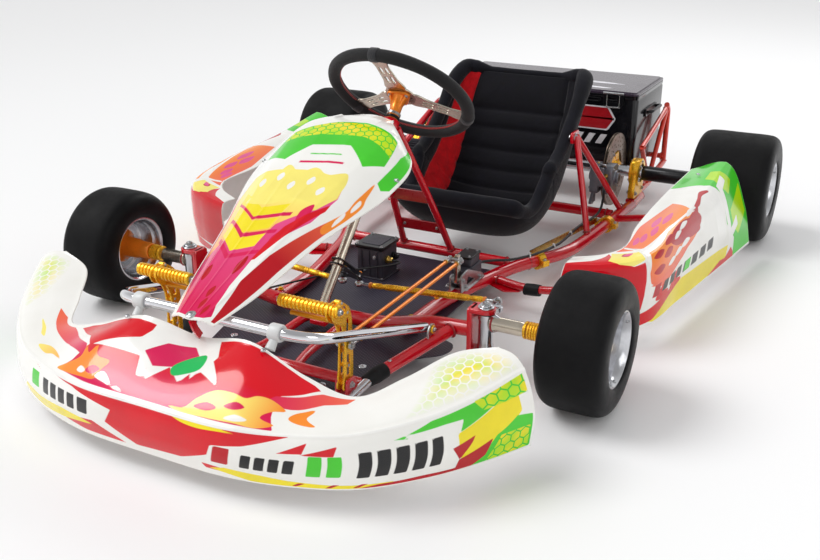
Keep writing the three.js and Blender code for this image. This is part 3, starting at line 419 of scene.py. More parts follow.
def lathe(profile, centre=(0, 0, 0), axis=(1, 0, 0), segments=48):
    """Pairs of (radius, distance along the axis) turned round it. A profile that starts and ends at radius 0
    is capped by points there, and any other is closed from its last pair back to its first."""
    axis = np.asarray(axis, float) / np.linalg.norm(axis)
    u = np.cross(axis, (0, 0, 1) if abs(axis[2]) < 0.9 else (1, 0, 0))
    u /= np.linalg.norm(u)
    v = np.cross(axis, u)
    turn = np.linspace(0, 2 * math.pi, segments, endpoint=False)
    out = np.cos(turn)[:, None] * u + np.sin(turn)[:, None] * v
    capped = profile[0][0] == 0 and profile[-1][0] == 0
    rings = profile[1:-1] if capped else profile
    points = [np.asarray(centre, float) + r * out + t * axis for r, t in rings]
    verts = np.concatenate(points)
    count = len(rings)
    faces = grid_faces(count, segments, not capped, True)
    if capped:
        verts = np.vstack([verts, [np.asarray(centre, float) + profile[0][1] * axis,
                                   np.asarray(centre, float) + profile[-1][1] * axis]])
        first, last = count * segments, count * segments + 1
        faces += [(first, (i + 1) % segments, i) for i in range(segments)]
        base = (count - 1) * segments
        faces += [(last, base + i, base + (i + 1) % segments) for i in range(segments)]
    signed = sum((r0 + r1) * (t1 - t0) for (r0, t0), (r1, t1) in zip(profile, profile[1:] + profile[:1]))
    if signed < 0:
        faces = [tuple(reversed(f)) for f in faces]
    return verts, faces


def disc(centre, axis, radius, low, high, inner=0.0, segments=40, round_over=0.8):
    """A turned disc or ring with small rounded edges."""
    r = round_over
    outside = [(radius - r, low), (radius, low + r), (radius, high - r), (radius - r, high)]
    if inner:
        return lathe([(inner, low), *outside, (inner, high)], centre, axis, segments)
    return lathe([(0, low), *outside, (0, high)], centre, axis, segments)


def prism(outline, low, high, axes=(0, 1, 2)):
    """An outline in two axes, given anticlockwise, and a thickness along the third."""
    a, b, c = axes
    count = len(outline)
    verts = np.zeros((2 * count, 3))
    for i, (p, q) in enumerate(outline):
        for k, level in ((0, low), (1, high)):
            verts[k * count + i, a], verts[k * count + i, b], verts[k * count + i, c] = p, q, level
    faces = [tuple(range(count, 2 * count)), tuple(reversed(range(count)))]
    faces += [(i, (i + 1) % count, count + (i + 1) % count, count + i) for i in range(count)]
    area = sum(p0 * q1 - p1 * q0 for (p0, q0), (p1, q1) in zip(outline, outline[1:] + outline[:1]))
    even = (a, b, c) in ((0, 1, 2), (1, 2, 0), (2, 0, 1))
    if (area < 0) == even:
        faces = [tuple(reversed(f)) for f in faces]
    return verts, faces


def block(low, high):
    (x0, y0, z0), (x1, y1, z1) = low, high
    return prism([(x0, y0), (x1, y0), (x1, y1), (x0, y1)], z0, z1)


def plate(outlines, low, high, axes=(0, 1, 2), soften=0.6):
    """A flat plate with softened edges: the first outline is its edge, and the others are holes."""
    curve = bpy.data.curves.new("outline", "CURVE")
    curve.dimensions = "2D"
    curve.fill_mode = "BOTH"
    curve.extrude = (high - low) / 2 - soften
    curve.bevel_depth = soften
    curve.bevel_resolution = 1
    curve.offset = -soften
    for outline in outlines:
        spline = curve.splines.new("POLY")
        spline.points.add(len(outline) - 1)
        for dot, (p, q) in zip(spline.points, outline):
            dot.co = (p, q, 0, 1)
        spline.use_cyclic_u = True
    holder = bpy.data.objects.new("outline", curve)
    bpy.context.scene.collection.objects.link(holder)
    mesh = bpy.data.meshes.new_from_object(holder)
    flat = np.array([v.co for v in mesh.vertices], float).reshape(-1, 3)
    faces = [tuple(f.vertices) for f in mesh.polygons]
    bpy.data.objects.remove(holder)
    bpy.data.curves.remove(curve)
    bpy.data.meshes.remove(mesh)
    verts = np.zeros_like(flat)
    verts[:, axes[0]], verts[:, axes[1]] = flat[:, 0], flat[:, 1]
    verts[:, axes[2]] = flat[:, 2] + (low + high) / 2
    if tuple(axes) not in ((0, 1, 2), (1, 2, 0), (2, 0, 1)):
        faces = [tuple(reversed(f)) for f in faces]
    return verts, faces


def circle(x, y, radius, steps=16):
    turn = np.linspace(0, 2 * math.pi, steps, endpoint=False)
    return [(x + radius * math.cos(a), y + radius * math.sin(a)) for a in turn]


def rounded(corners, radius=4, steps=3):
    """A closed outline with each corner rounded."""
    count = len(corners)
    points = [np.array(c, float) for c in corners]
    path = []
    for i in range(count):
        before, corner, after = points[i - 1], points[i], points[(i + 1) % count]
        back, ahead = before - corner, after - corner
        reach = min(radius, 0.45 * np.linalg.norm(back), 0.45 * np.linalg.norm(ahead))
        start = corner + back / np.linalg.norm(back) * reach
        end = corner + ahead / np.linalg.norm(ahead) * reach
        for t in np.linspace(0, 1, steps + 1):
            path.append(tuple((1 - t) ** 2 * start + 2 * t * (1 - t) * corner + t * t * end))
    return path


def rectangle(x0, y0, x1, y1, radius=4, steps=3):
    """A rounded outline between two opposite corners."""
    return rounded([(x0, y0), (x1, y0), (x1, y1), (x0, y1)], radius, steps)


def mirrored(form):
    verts, faces = form
    return verts * (-1, 1, 1), [tuple(reversed(f)) for f in faces]


def on_side(side):
    """What puts a form for the kart's left on its left (1) or its right (-1)."""
    return mirrored if side < 0 else lambda form: form


def bolt(spot, direction, size=6, kind="cap"):
    """A screw head on a surface: a socket cap with its washer, a hexagon nut, or a low button head."""
    direction = np.asarray(direction, float) / np.linalg.norm(direction)
    r = size
    if kind == "cap":
        return [lathe([(0, 0), (1.25 * r, 0), (1.25 * r, 0.16 * r), (0, 0.16 * r)], spot, direction, 20),
                lathe([(0, 0.1 * r), (0.86 * r, 0.1 * r), (0.86 * r, 0.9 * r), (0.76 * r, r), (0.46 * r, r),
                       (0.44 * r, 0.5 * r), (0, 0.5 * r)], spot, direction, 20),]
    if kind == "nut":
        return [lathe([(0, 0), (1.3 * r, 0), (1.3 * r, 0.18 * r), (0, 0.18 * r)], spot, direction, 20),
                lathe([(0, 0.1 * r), (r, 0.1 * r), (r, 0.85 * r), (0.84 * r, 0.95 * r), (0.5 * r, 0.95 * r),
                       (0, 1.3 * r)], spot, direction, 6),]
    return [lathe([(0, -0.2 * r), (r, -0.2 * r), (0.96 * r, 0.16 * r), (0.6 * r, 0.42 * r),
                   (0.34 * r, 0.44 * r), (0.32 * r, 0.16 * r), (0, 0.16 * r)], spot, direction, 20)]


def weld(spot, direction, radius, size=2.4):
    """A bead of weld round a tube's end."""
    steps, sides = 40, 8
    verts, faces = torus(spot, direction, radius, size, steps, sides)
    ripple = 0.35 * np.sin(np.repeat(np.arange(steps), sides) * 2.5)[:, None]
    centre = np.asarray(spot, float)
    return centre + (verts - centre) * (1 + ripple / radius), faces


class Piece:
    """Gathers forms in kart millimetres into one mesh piece that rides on a body."""

    def __init__(self, name, body="root", nodes=(), slot=None):
        self.name, self.body, self.nodes, self.slot = name, body, nodes, slot
        self.verts, self.faces, self.paint, self.names, self.count = [], [], [], [], 0
        self.values = {}

    def add(self, material, *forms, **attributes):
        if material not in self.names:
            self.names.append(material)
        index = self.names.index(material)
        for form in forms:
            for verts, faces in form if isinstance(form, list) else [form]:
                self.verts.append(np.asarray(verts, float))
                self.faces += [tuple(i + self.count for i in f) for f in faces]
                self.paint += [index] * len(faces)
                for key, value in attributes.items():
                    self.values.setdefault(key, []).append((self.count, np.asarray(value, float)))
                self.count += len(verts)
        return self

    def both(self, material, *forms):
        """The forms and their mirror images on the kart's other side."""
        for form in forms:
            for one in form if isinstance(form, list) else [form]:
                self.add(material, one, mirrored(one))
        return self

    def done(self, bevel=0.0, subdivide=0, angle=38, **own):
        mesh = bpy.data.meshes.new(self.name)
        mesh.from_pydata(place(np.concatenate(self.verts)).tolist(), [], self.faces)
        for name in self.names:
            mesh.materials.append(own[name] if name in own else MATERIALS[name])
        mesh.polygons.foreach_set("material_index", self.paint)
        mesh.polygons.foreach_set("use_smooth", [True] * len(self.faces))
        for key, parts in self.values.items():
            data = np.zeros(self.count, np.float32)
            for start, value in parts:
                data[start:start + len(value)] = value
            mesh.attributes.new(key, "FLOAT", "POINT").data.foreach_set("value", data)
        mesh.update()
        mesh.set_sharp_from_angle(angle=math.radians(angle))
        piece = bpy.data.objects.new(self.name, mesh)
        bpy.context.scene.collection.objects.link(piece)
        if bevel:
            rounding = piece.modifiers.new("rounding", "BEVEL")
            rounding.width = bevel * 0.001
            rounding.segments = 2
            rounding.limit_method = "ANGLE"
            rounding.angle_limit = math.radians(40)
            rounding.use_clamp_overlap = True
        if subdivide:
            smoothing = piece.modifiers.new("smoothing", "SUBSURF")
            smoothing.levels = smoothing.render_levels = subdivide
        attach(piece, self.body)
        if self.nodes:
            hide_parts(*self.nodes)
        return piece


look(place([1018.5, -1563.4, 918.2])[0], (22.65, -0.32, 27.95), 43.9)
studio()


# ------------------------------------------------------------------ the frame's tubes
RAIL = bent([(159, 42, 55), (163, 190, 55), (221, 437, 55), (305, 587, 55), (317, 700, 55),
             (337, 1012, 55)], 70)
CROSS = bent([(-322, 0, 104), (-235, 0, 100), (-120, 14, 66), (120, 14, 66), (235, 0, 100), (322, 0, 104)],
             45)
COLUMN_SLOPE = math.radians(47)
WHEEL_CENTRE = np.array([0, 319, 456.5])
DOWN_COLUMN = np.array([0, -math.cos(COLUMN_SLOPE), -math.sin(COLUMN_SLOPE)])


def down_column(distance):
    return WHEEL_CENTRE + DOWN_COLUMN * distance


def build_rails():
    for name, side in SIDES:
        turn = on_side(side)
        piece = Piece(f"rail_{name}_tube", "root", [f"rail_{name}"], "frame_paint")
        piece.add("red", turn(tube(RAIL, 15, 28)), turn(block((322, 1003, 44), (346, 1045, 70.5))))
        piece.add("weld", turn(weld((162, 60, 55), (0, 1, 0), 15.6)))
        piece.add("weld", turn(weld((244, 480, 55), (0.4, 0.9, 0), 14.5)))
        piece.done(0.8)


def build_front_frame():
    piece = Piece("front_frame_tubes", "root", ["front_frame"], "frame_paint")
    piece.add("red", tube(CROSS, 15, 28))
    arm = np.linspace((288, 4, 102), (213, -192, 66), 4)
    piece.both("red", tube(arm, 12.5, 26))
    piece.both("weld", weld((282, -14, 99), (-0.36, -0.92, -0.17), 13.0))
    cap_axis = np.array([-75.0, -196, -36])
    cap_axis /= np.linalg.norm(cap_axis)
    cap_end = np.array([213.0, -192, 66])
    cap = lathe([(0, -32), (13.2, -32), (14.6, -29), (14.8, -6), (13.8, 0), (12.8, 9), (11.2, 17),
                 (9.2, 18), (0, 18)], cap_end, cap_axis, 32)
    piece.both("rubber", cap)
    piece.both("chrome", tube(bent([(213, -192, 66), (211, -206, 64), (209, -300, 55)], 20), 9, 24))
    piece.both("steel", bolt(cap_end - cap_axis * 42 + (0, 0, 12.5), (-0.1, 0, 1), 3.6, "button"))
    hoop = bent([(-58, -205, 58), (-46, -150, 58), (-44, 0, 62), (44, 0, 62), (46, -150, 58),
                 (58, -205, 58)], 42)
    piece.add("red", tube(hoop, 9, 22))
    piece.add("red", tube([(-205, -206.3, 57.2), (205, -206.3, 57.2)], 10.6, 24))
    piece.add("red", plate([rounded([(-19, -44), (19, -44), (15, 6), (-15, 6)], 5)], 62, 71))
    piece.add("steel", bolt((9, -30, 71), (0, 0, 1), 3.4), bolt((-9, -30, 71), (0, 0, 1), 3.4))
    # the yoke: a C of plate with the kingpin, its bushes and the castor washers
    edge = rectangle(-19, 58, 19, 154, 7)
    yoke_web = plate([edge], 318, 328, (1, 2, 0))
    ears = []
    for low, high in ((58, 66), (146, 154)):
        shape = [(322, -19), (350, -19), *[(KINGPIN_X + 19 * math.cos(a), 19 * math.sin(a))
                for a in np.linspace(-1.45, 1.45, 14)], (350, 19), (322, 19)]
        ears.append(plate([shape], low, high))
    piece.both("red", yoke_web, *ears)
    for z, way in ((154, 1), (58, -1)):
        piece.both("alloy", disc((KINGPIN_X, 0, z), (0, 0, way), 15.5, 0, 4), disc((KINGPIN_X, 0, z),
                (0, 0, way), 12, 4, 7.5))
        piece.both("steel", bolt((KINGPIN_X, 0, z + way * 7), (0, 0, way), 6.4, "nut"))
        piece.both("orange", bolt((337, 13 * way, z), (0, 0, way), 2.6, "button"))
    piece.both("alloy", bar((KINGPIN_X, 0, 60), (KINGPIN_X, 0, 152), 6, 16))
    # the lugs that the pedals swing on
    lug = rounded([(-266, 50), (-222, 50), (-238, 90), (-262, 90)], 6)
    for low, high in ((179, 184), (200, 205)):
        piece.both("red", plate([lug], low, high, (1, 2, 0)))
    piece.both("red", block((177.5, -267, 48), (206.5, -221, 53.5)))
    piece.both("steel", bar((177, -250, 78), (207, -250, 78), 4.6, 16), bolt((205, -250, 78), (1, 0, 0), 5),
               bolt((179, -250, 78), (-1, 0, 0), 5, "nut"))
    # clevis for the upper bumper's end, with its coloured washer
    lug = rounded([(-70, 80), (-38, 86), (-42, 122), (-58, 126), (-70, 114)], 5)
    piece.both("steel", plate([lug], 260, 264, (1, 2, 0)))
    piece.both("gold", disc((264, -53, 114), (1, 0, 0), 8, 0, 3.4))
    piece.both("steel", bolt((267, -53, 114), (1, 0, 0), 4.2, "nut"))
    piece.done(0.5)


def build_steering_support():
    piece = Piece("steering_support_frame", "root", ["steering_support"], "frame_paint")
    top = down_column(74)
    leg = bent([(64, 450, 62), (49, 362, 215), (15, top[1] + 6, top[2] - 8)], 55)
    piece.add("red", tube([(-209, 450, 60), (209, 450, 60)], 12, 26))
    piece.both("red", tube(leg, 8, 20))
    piece.both("weld", weld((63, 444, 72), (-0.15, -0.5, 0.86), 8.4, 2.0), weld((204, 450, 60), (1, 0, 0),
            12.4, 2.0))
    low = rounded([(-60, 118), (60, 118), (57, 142), (-57, 142)], 3)
    high = rounded([(-50, 206), (50, 206), (48, 232), (-48, 232)], 3)
    # the two plates take the darker copy of the frame red, which is painted shade
    piece.add("red_dark", plate([low], 411, 416, (0, 2, 1)), plate([high], 359, 364, (0, 2, 1)))
    piece.add("steel", *[bolt((x, 411, z), (0, -1, 0), 3) for x, z in ((-42, 130), (42, 130))])
    collar = lathe([(10.6, -9), (19, -9), (19, 9), (10.6, 9)], top, DOWN_COLUMN, 36)
    piece.add("red", collar)
    gusset = rounded([(-22, -4), (22, -4), (9, 40), (-9, 40)], 4)
    verts, faces = plate([gusset], -3, 3)
    turn = np.array(Matrix.Rotation(math.radians(90 + 28), 3, "X"), float)
    piece.add("red", (verts @ turn.T + (top + (0, 16, -34)), faces))
    piece.add("rubber", lathe([(10.2, -11), (15, -11), (15, 11), (10.2, 11)], top, DOWN_COLUMN, 32))
    piece.done(0.5)


def build_rear_members():
    piece = Piece("rear_cross_tube", "root", ["rear_cross"], "frame_paint")
    piece.add("red", tube([(-315, 905, 55), (315, 905, 55)], 13, 26),
              plate([rectangle(-272, 738, -166, 905, 6)], 58, 63))
    piece.add("steel", *[bolt((x, y, 63), (0, 0, 1), 4.5) for x in (-262, -176) for y in (752, 850)])
    piece.both("weld", weld((300, 905, 55), (1, 0, 0), 13.4, 2.2))
    piece.done(0.5)

    piece = Piece("seat_stay_left_tubes", "root", ["seat_stay_left"], "frame_paint")
    piece.add("red", tube(bent([(316, 700, 60), (252, 764, 292)], 10), 8, 20),
              tube(bent([(331, 934, 60), (252, 764, 292)], 10), 8, 20))
    piece.add("red", plate([rounded([(744, 276), (786, 276), (790, 304), (742, 304)], 6)], 243, 249,
                           (1, 2, 0)))
    piece.add("steel", bolt((249, 764, 290), (1, 0, 0), 6), disc((250, 764, 290), (1, 0, 0), 11, -1, 1.2))
    piece.add("weld", weld((313, 702, 72), (-0.27, 0.26, 0.93), 8.4, 2), weld((328, 930, 72),
            (-0.28, -0.6, 0.75), 8.4, 2))
    piece.done(0.5)

    piece = Piece("seat_stay_right_hoop", "root", ["seat_stay_right"], "frame_paint")
    hoop = bent([(-309, 628, 60), (-170, 690, 268), (-170, 872, 330), (-334, 950, 60)], 34)
    piece.add("red", tube(hoop, 8, 20))
    piece.add("weld", weld((-313, 634, 68), (0.55, 0.25, 0.8), 8.4, 2), weld((-330, 948, 72),
            (0.5, -0.2, 0.85), 8.4, 2))
    piece.done()

    path = bent([(203, 362, 56), (305, 331, 56), (432, 318, 80), (486, 400, 104), (512, 780, 104),
                 (440, 862, 80), (330, 872, 56)], 55)
    sleeve = tube(np.linspace((300, 332.4, 56), (334, 328.6, 60), 3), [13, 13.6, 12.6], 26)
    gusset = plate([rounded([(200, 348), (252, 318), (286, 334), (286, 344), (214, 372)], 6)], 44, 47.5)
    for name, side in SIDES:
        piece = Piece(f"side_bar_{name}_tube", "root", [f"side_bar_{name}"], "frame_paint")
        turn = on_side(side)
        piece.add("red", turn(tube(path, 9, 22)), turn(gusset))
        piece.add("rubber", turn(sleeve), turn(torus((301, 332.2, 56), (1, -0.2, 0), 11.4, 2.2)))
        piece.add("weld", turn(weld((226, 353, 56), (0.95, -0.28, 0), 9.4, 2)))
        piece.done(0.5)


def build_tray():
    half = [(0, -232), (150, -232), (170, -200), (205, -60), (262, -8), (270, 20), (262, 46), (196, 70),
            (190, 330), (214, 438), (0, 438)]
    outline = half + [(-x, y) for x, y in reversed(half[1:-1])]
    piece = Piece("floor_tray_sheet", "root", ["floor_tray"], "tray_sheet")
    piece.add("tray", plate([rounded(outline, 12)], 36.6, 39.3, soften=0.5))
    spots = [(x, y) for x in (-120, 120) for y in (-216, 415)] + [(-178, 120), (178, 120), (-150, -120),
            (150, -120)]
    piece.add("alloy", *[disc((x, y, 39.2), (0, 0, 1), 8, 0, 1.4) for x, y in spots])
    piece.add("steel", *[bolt((x, y, 40.4), (0, 0, 1), 3.6, "button") for x, y in spots])
    piece.done()


def build_bumper():
    piece = Piece("upper_bumper_tube", "root", ["upper_bumper"], "chrome_tube")
    path = bent([(249, -54, 115), (206, -373, 217), (-206, -373, 217), (-249, -54, 115)], 60, 10)
    piece.add("chrome", tube(path, 9.6, 30))
    for side in (-1, 1):
        piece.add("plastic", lathe([(9.8, -11), (14, -11), (15, -9), (15, 9), (14, 11), (9.8, 11)],
                (side * 142, -373, 217), (1, 0, 0), 32))
        strut = np.linspace((side * 142, -374, 214), (side * 140, -392, 194), 3)
        piece.add("plastic", tube(strut, [9, 7.5, 9], 20))
    piece.done(0.4)


build_rails()
build_front_frame()
build_steering_support()
build_rear_members()
build_tray()
build_bumper()


# ------------------------------------------------------------------ wheels
FRONT_TYRE = (127, 64.5)
REAR_TYRE = (137.5, 98.5)
TYRE_BEAD, RIM_BEAD = 68.3, 67.6


def tyre_form(radius, half):
    """The rounded section of a slick as (radius, distance) pairs, from one bead to the other and back."""
    bead = TYRE_BEAD
    outside = smooth_path([(bead, half - 13, 0), (bead + 4, half - 4, 0), (radius - 42, half - 0.5, 0),
                           (radius - 22, half - 1.5, 0), (radius - 9, half - 8, 0),
                           (radius - 2.4, half - 19, 0), (radius - 0.3, half - 34, 0), (radius, 0, 0)],
                          34)[:, :2]
    upper = [tuple(p) for p in outside]
    lower = [(r, -t) for r, t in reversed(upper[:-1])]
    inside = [(bead, -(half - 22)), (bead + 10, -(half - 26)), (radius - 12, -(half - 32)),
              (radius - 12, half - 32), (bead + 10, half - 26), (bead, half - 22)]
    return upper + lower + inside


def build_tyre(name, centre, radius, half, body, outward):
    profile = tyre_form(radius, half)
    axis = (outward, 0, 0)
    verts, faces = lathe(profile, centre, axis, 96)
    reach = np.linalg.norm((verts - centre)[:, 1:], axis=1)
    tread = np.clip((reach - (radius - 7)) / 5, 0, 1)
    piece = Piece(name + "_slick", body, [name], "tyre_rubber")
    piece.add("tyre", (verts, faces), tread=tread)
    for side in (-1, 1):
        for ring_radius, size, inset in ((radius - 27, 0.8, 1.6), (79, 1.1, 3.6)):
            form = torus(np.array(centre) + (side * (half - inset), 0, 0), (1, 0, 0), ring_radius, size, 96,
                         8)
            piece.add("tyre", form, tread=np.zeros(len(form[0])))
    piece.done(angle=60)


def build_rim(name, centre, half, web, body, outward):
    lip, bead = half - 9, RIM_BEAD
    barrel = [(bead, -lip), (bead, -lip + 10), (bead - 4, -lip + 16), (bead - 6, 0), (bead - 3.5, lip - 14),
              (bead, lip - 8), (bead, lip - 2.4), (bead + 4, lip - 0.8), (bead + 4.6, lip + 1.4),
              (bead + 3.4, lip + 3), (bead + 0.6, lip + 3), (bead - 2.6, lip - 1), (bead - 6, lip - 6),
              (bead - 8.5, lip - 14), (bead - 9.5, web + 16), (bead - 13, web + 8), (bead - 20, web + 4),
              (46, web + 3.4), (42, web + 2.6), (24, web + 2.6), (24, web - 3), (44, web - 3),
              (bead - 12, web - 3), (bead - 8, web - 8), (bead - 8, -lip + 18), (bead - 3, -lip + 12),
              (bead - 2.5, -lip + 1),]
    piece = Piece(name + "_turned", body, [name], "polished_alloy")
    axis = (outward, 0, 0)
    piece.add("alloy", lathe(barrel, centre, axis, 72))
    inner_lip = [(bead, -lip), (bead + 4, -lip + 0.6), (bead + 4.6, -lip - 1.6), (bead + 3.4, -lip - 3),
                 (bead + 0.6, -lip - 3), (bead - 2.6, -lip)]
    piece.add("alloy", lathe(inner_lip, centre, axis, 72))
    for i in range(3):
        a = 2 * math.pi * (i + 0.5) / 3
        spot = np.array(centre) + (outward * (web + 3.4), 33 * math.cos(a), 33 * math.sin(a))
        piece.add("steel", bolt(spot, axis, 4.6, "nut"))
    # the valve, and the screws that hold the bead
    spot = np.array(centre) + (outward * (web + 9), 0, 52)
    piece.add("brass", lathe([(0, -4), (3.2, -4), (3.2, 6), (2.2, 7), (2.2, 13), (0, 13)], spot,
            (outward, 0, 0.35), 12))
    for i in range(3):
        a = 2 * math.pi * i / 3 + 0.5
        spot = np.array(centre) + (outward * (half - 12), 65.5 * math.cos(a), 65.5 * math.sin(a))
        piece.add("steel", bolt(spot, (0, -math.cos(a), -math.sin(a)), 3.4))
    piece.done(0.3)


def build_front_wheels():
    for name, side in SIDES:
        centre = np.array([side * FRONT_WHEEL_X, 0, FRONT_AXLE_Z])
        body = "front_wheel_" + name
        build_tyre("front_tyre_" + name, centre, *FRONT_TYRE, body, side)
        build_rim("front_rim_" + name, centre, FRONT_TYRE[1], 4, body, side)
        hub = Piece("front_hub_" + name + "_turned", body, ["front_hub_" + name], "orange_alloy")
        axis = (side, 0, 0)
        hub.add("orange", lathe([(9.2, -90), (17, -90), (18, -88), (19, -60), (21, -52), (23, -20),
                (30, -12), (37, -7), (38, -5), (38, 0.6), (23.4, 0.6), (23.4, 12), (22, 14), (18, 26),
                (9.2, 26)], centre, axis, 48))
        hub.add("gold", *[lathe([(9.2, t), (16.8, t), (16.8, t + 3.4), (9.2, t + 3.4)], centre, axis, 32)
                          for t in (-112, -107, -102, -97)])
        hub.add("gold", lathe([(9.2, -111), (14.6, -111), (14.6, -91), (9.2, -91)], centre, axis, 32))
        for i in range(3):
            a = 2 * math.pi * i / 3 + 0.4
            spot = centre + (side * -8, 30 * math.cos(a), 30 * math.sin(a))
            hub.add("steel", bolt(spot, (-side, 0, 0), 4, "cap"))
        hub.add("black", lathe([(9.2, 26), (15, 26), (15, 29), (9.2, 29)], centre, axis, 28))
        hub.done(0.4)


def build_rear_wheels():
    for name, side in SIDES:
        centre = np.array([side * REAR_WHEEL_X, WHEELBASE, REAR_AXLE_Z])
        build_tyre("rear_tyre_" + name, centre, *REAR_TYRE, "rear_axle", side)
        build_rim("rear_rim_" + name, centre, REAR_TYRE[1], 10, "rear_axle", side)
        hub = Piece("rear_hub_" + name + "_turned", "rear_axle", ["rear_hub_" + name], "black_metal")
        axis = (side, 0, 0)
        inner = 351 - REAR_WHEEL_X
        hub.add("black", lathe([(15.3, inner), (19, inner), (20, inner + 2), (20, inner + 126),
                                (22, inner + 128), (22, inner + 141), (20, inner + 143), (20, -14),
                                (26, -8), (38, -3), (40, 0), (40, 6.4), (15.3, 6.4)], centre, axis, 44))
        hub.add("black", lathe([(15.3, 13), (22, 13), (22, 20), (20, 22), (15.3, 22)], centre, axis, 36))
        hub.add("steel", bolt(centre + (side * (inner + 134), 0, 22), (0, 0, 1), 4),
                bolt(centre + (side * (inner + 134), -20, -8), (0, -1, -0.4), 4))
        hub.done(0.4)
    piece = Piece("rear_axle_shaft", "rear_axle", ["rear_axle"], "steel")
    centre = np.array([0, WHEELBASE, REAR_AXLE_Z])
    shaft = [(0, -610), (11, -610), (11, -640), (14.4, -640), (15, -639), (15, 639), (14.4, 640), (11, 640),
             (11, 610), (0, 610)]
    piece.add("alloy", lathe(shaft, centre, (1, 0, 0), 40))
    piece.done(0.2)


build_front_wheels()
build_rear_wheels()


def clamp(along):
    """A split clamp round the left rail, its halves drawn together by two screws."""
    path = np.asarray(RAIL)
    index = int(np.argmin(np.abs(path[:, 1] - along)))
    low, high = path[max(index - 1, 0)], path[min(index + 1, len(path) - 1)]
    centre = low + (high - low) * np.clip((along - low[1]) / max(high[1] - low[1], 1e-6), 0, 1)
    ahead = (high - low) / np.linalg.norm(high - low)
    side = np.cross(ahead, (0, 0, 1))
    forms = [lathe([(15.2, -9), (21, -9), (21, 9), (15.2, 9)], centre, ahead, 40)]
    for way in (-1, 1):
        pad = centre + side * way * 22
        forms.append(tube([pad - ahead * 9, pad + ahead * 9], 7, 4, [(1, 1), (-1, 1), (-1, -1), (1, -1)]))
    heads = [bolt(centre + side * way * 23 + (0, 0, 7), (0, 0, 1), 4, "cap") for way in (-1, 1)]
    return centre, forms, heads


def build_rail_clamps():
    clamps = Piece("rail_clamps", slot="gold_alloy")
    spots = []
    for along in (508, 826):
        centre, forms, heads = clamp(along)
        clamps.add("gold", *forms)
        clamps.add("steel", *heads)
        spots.append(centre)
    first, last = spots[0] + (-24, 8, 10), spots[1] + (-24, -8, 10)
    clamps.add("brass", tube(np.linspace(first, last, 12), 1, 4, [(2, 7), (-2, 7), (-2, -7), (2, -7)]))
    for spot in (first, last):
        clamps.add("steel", bolt(spot + (2, 0, 0), (1, 0, 0), 3.4, "button"))
    for x, y in ((159, 60), (-159, 60), (162, 172), (-162, 172)):
        clamps.add("gold", bolt((x, y, 70.2), (0, 0, 1), 5, "nut"))
    clamps.done(bevel=0.2)


build_rail_clamps()


# ------------------------------------------------------------------ printed bodywork
# A skin is a grid of points with two surface coordinates: "along" counts the stations of its feature lines,
# and "over" counts the lines themselves. The print is laid out in those coordinates, layer over layer, and
# each layer is kept as a distance to its edge, so that its outline stays crisp.
INK = {"white": (247, 246, 242), "red": (218, 2, 26), "deep_red": (188, 2, 22), "magenta": (218, 12, 84),
       "pink": (232, 84, 146), "yellow": (246, 226, 22), "orange": (250, 142, 44), "salmon": (244, 104, 70),
       "pale_yellow": (252, 236, 120), "green": (70, 206, 44), "lime": (184, 230, 16), "black": (10, 9, 12),
       "teal": (16, 190, 90),}


def loft(lines, across, between):
    """Rows of points through the feature lines, and each point's (along, over)."""
    rows = between * (len(lines) - 1) + 1
    points = np.zeros((rows, across + 1, 3))
    for j in range(across + 1):
        stations = [catmull(line, j / across) for line in lines]
        for i in range(rows):
            points[i, j] = catmull(stations, i / (rows - 1))
    along = np.tile(np.linspace(0, len(lines[0]) - 1, across + 1), (rows, 1))
    over = np.repeat(np.linspace(0, len(lines) - 1, rows)[:, None], across + 1, axis=1)
    return points, along, over


def normals_of(points):
    cross = np.cross(np.gradient(points, axis=1), np.gradient(points, axis=0))
    return cross / np.maximum(np.linalg.norm(cross, axis=2), 1e-9)[:, :, None]


def blob(points, steps=8):
    """A closed outline running smoothly through the points."""
    count = len(points)
    padded = [np.array((*points[i % count], 0), float) for i in range(-2, count + 3)]
    span = len(padded) - 1
    path = [catmull(padded, (2 + i / steps) / span) for i in range(count * steps)]
    return [tuple(p[:2]) for p in path]


def edge_distance(spots, outline, scale):
    """How far inside (+) or outside (-) the outline each spot is, in millimetres."""
    poly = np.asarray(outline, float) * scale
    spots = spots * scale
    nearest = np.full(len(spots), 1e9)
    inside = np.zeros(len(spots), bool)
    for (x0, y0), (x1, y1) in zip(poly, np.roll(poly, -1, axis=0)):
        dx, dy = x1 - x0, y1 - y0
        length = dx * dx + dy * dy
        if length < 1e-9:
            continue
        share = np.clip(((spots[:, 0] - x0) * dx + (spots[:, 1] - y0) * dy) / length, 0, 1)
        nearest = np.minimum(nearest, np.hypot(spots[:, 0] - x0 - share * dx, spots[:, 1] - y0 - share * dy))
        crossing = (y0 > spots[:, 1]) != (y1 > spots[:, 1])
        if dy:
            inside ^= crossing & (spots[:, 0] < x0 + (spots[:, 1] - y0) * dx / dy)
    return np.where(inside, nearest, -nearest)


def print_attributes(along, over, layers, scale):
    """For each layer, every point's distance inside the layer's outlines."""
    spots = np.stack([along.ravel(), over.ravel()], -1)
    made = {}
    for index, (_, outlines) in enumerate(layers):
        far = np.full(len(spots), -1e3)
        for outline in outlines:
            far = np.maximum(far, edge_distance(spots, outline, np.array(scale)))
        made[f"ink_{index}"] = far
    return made


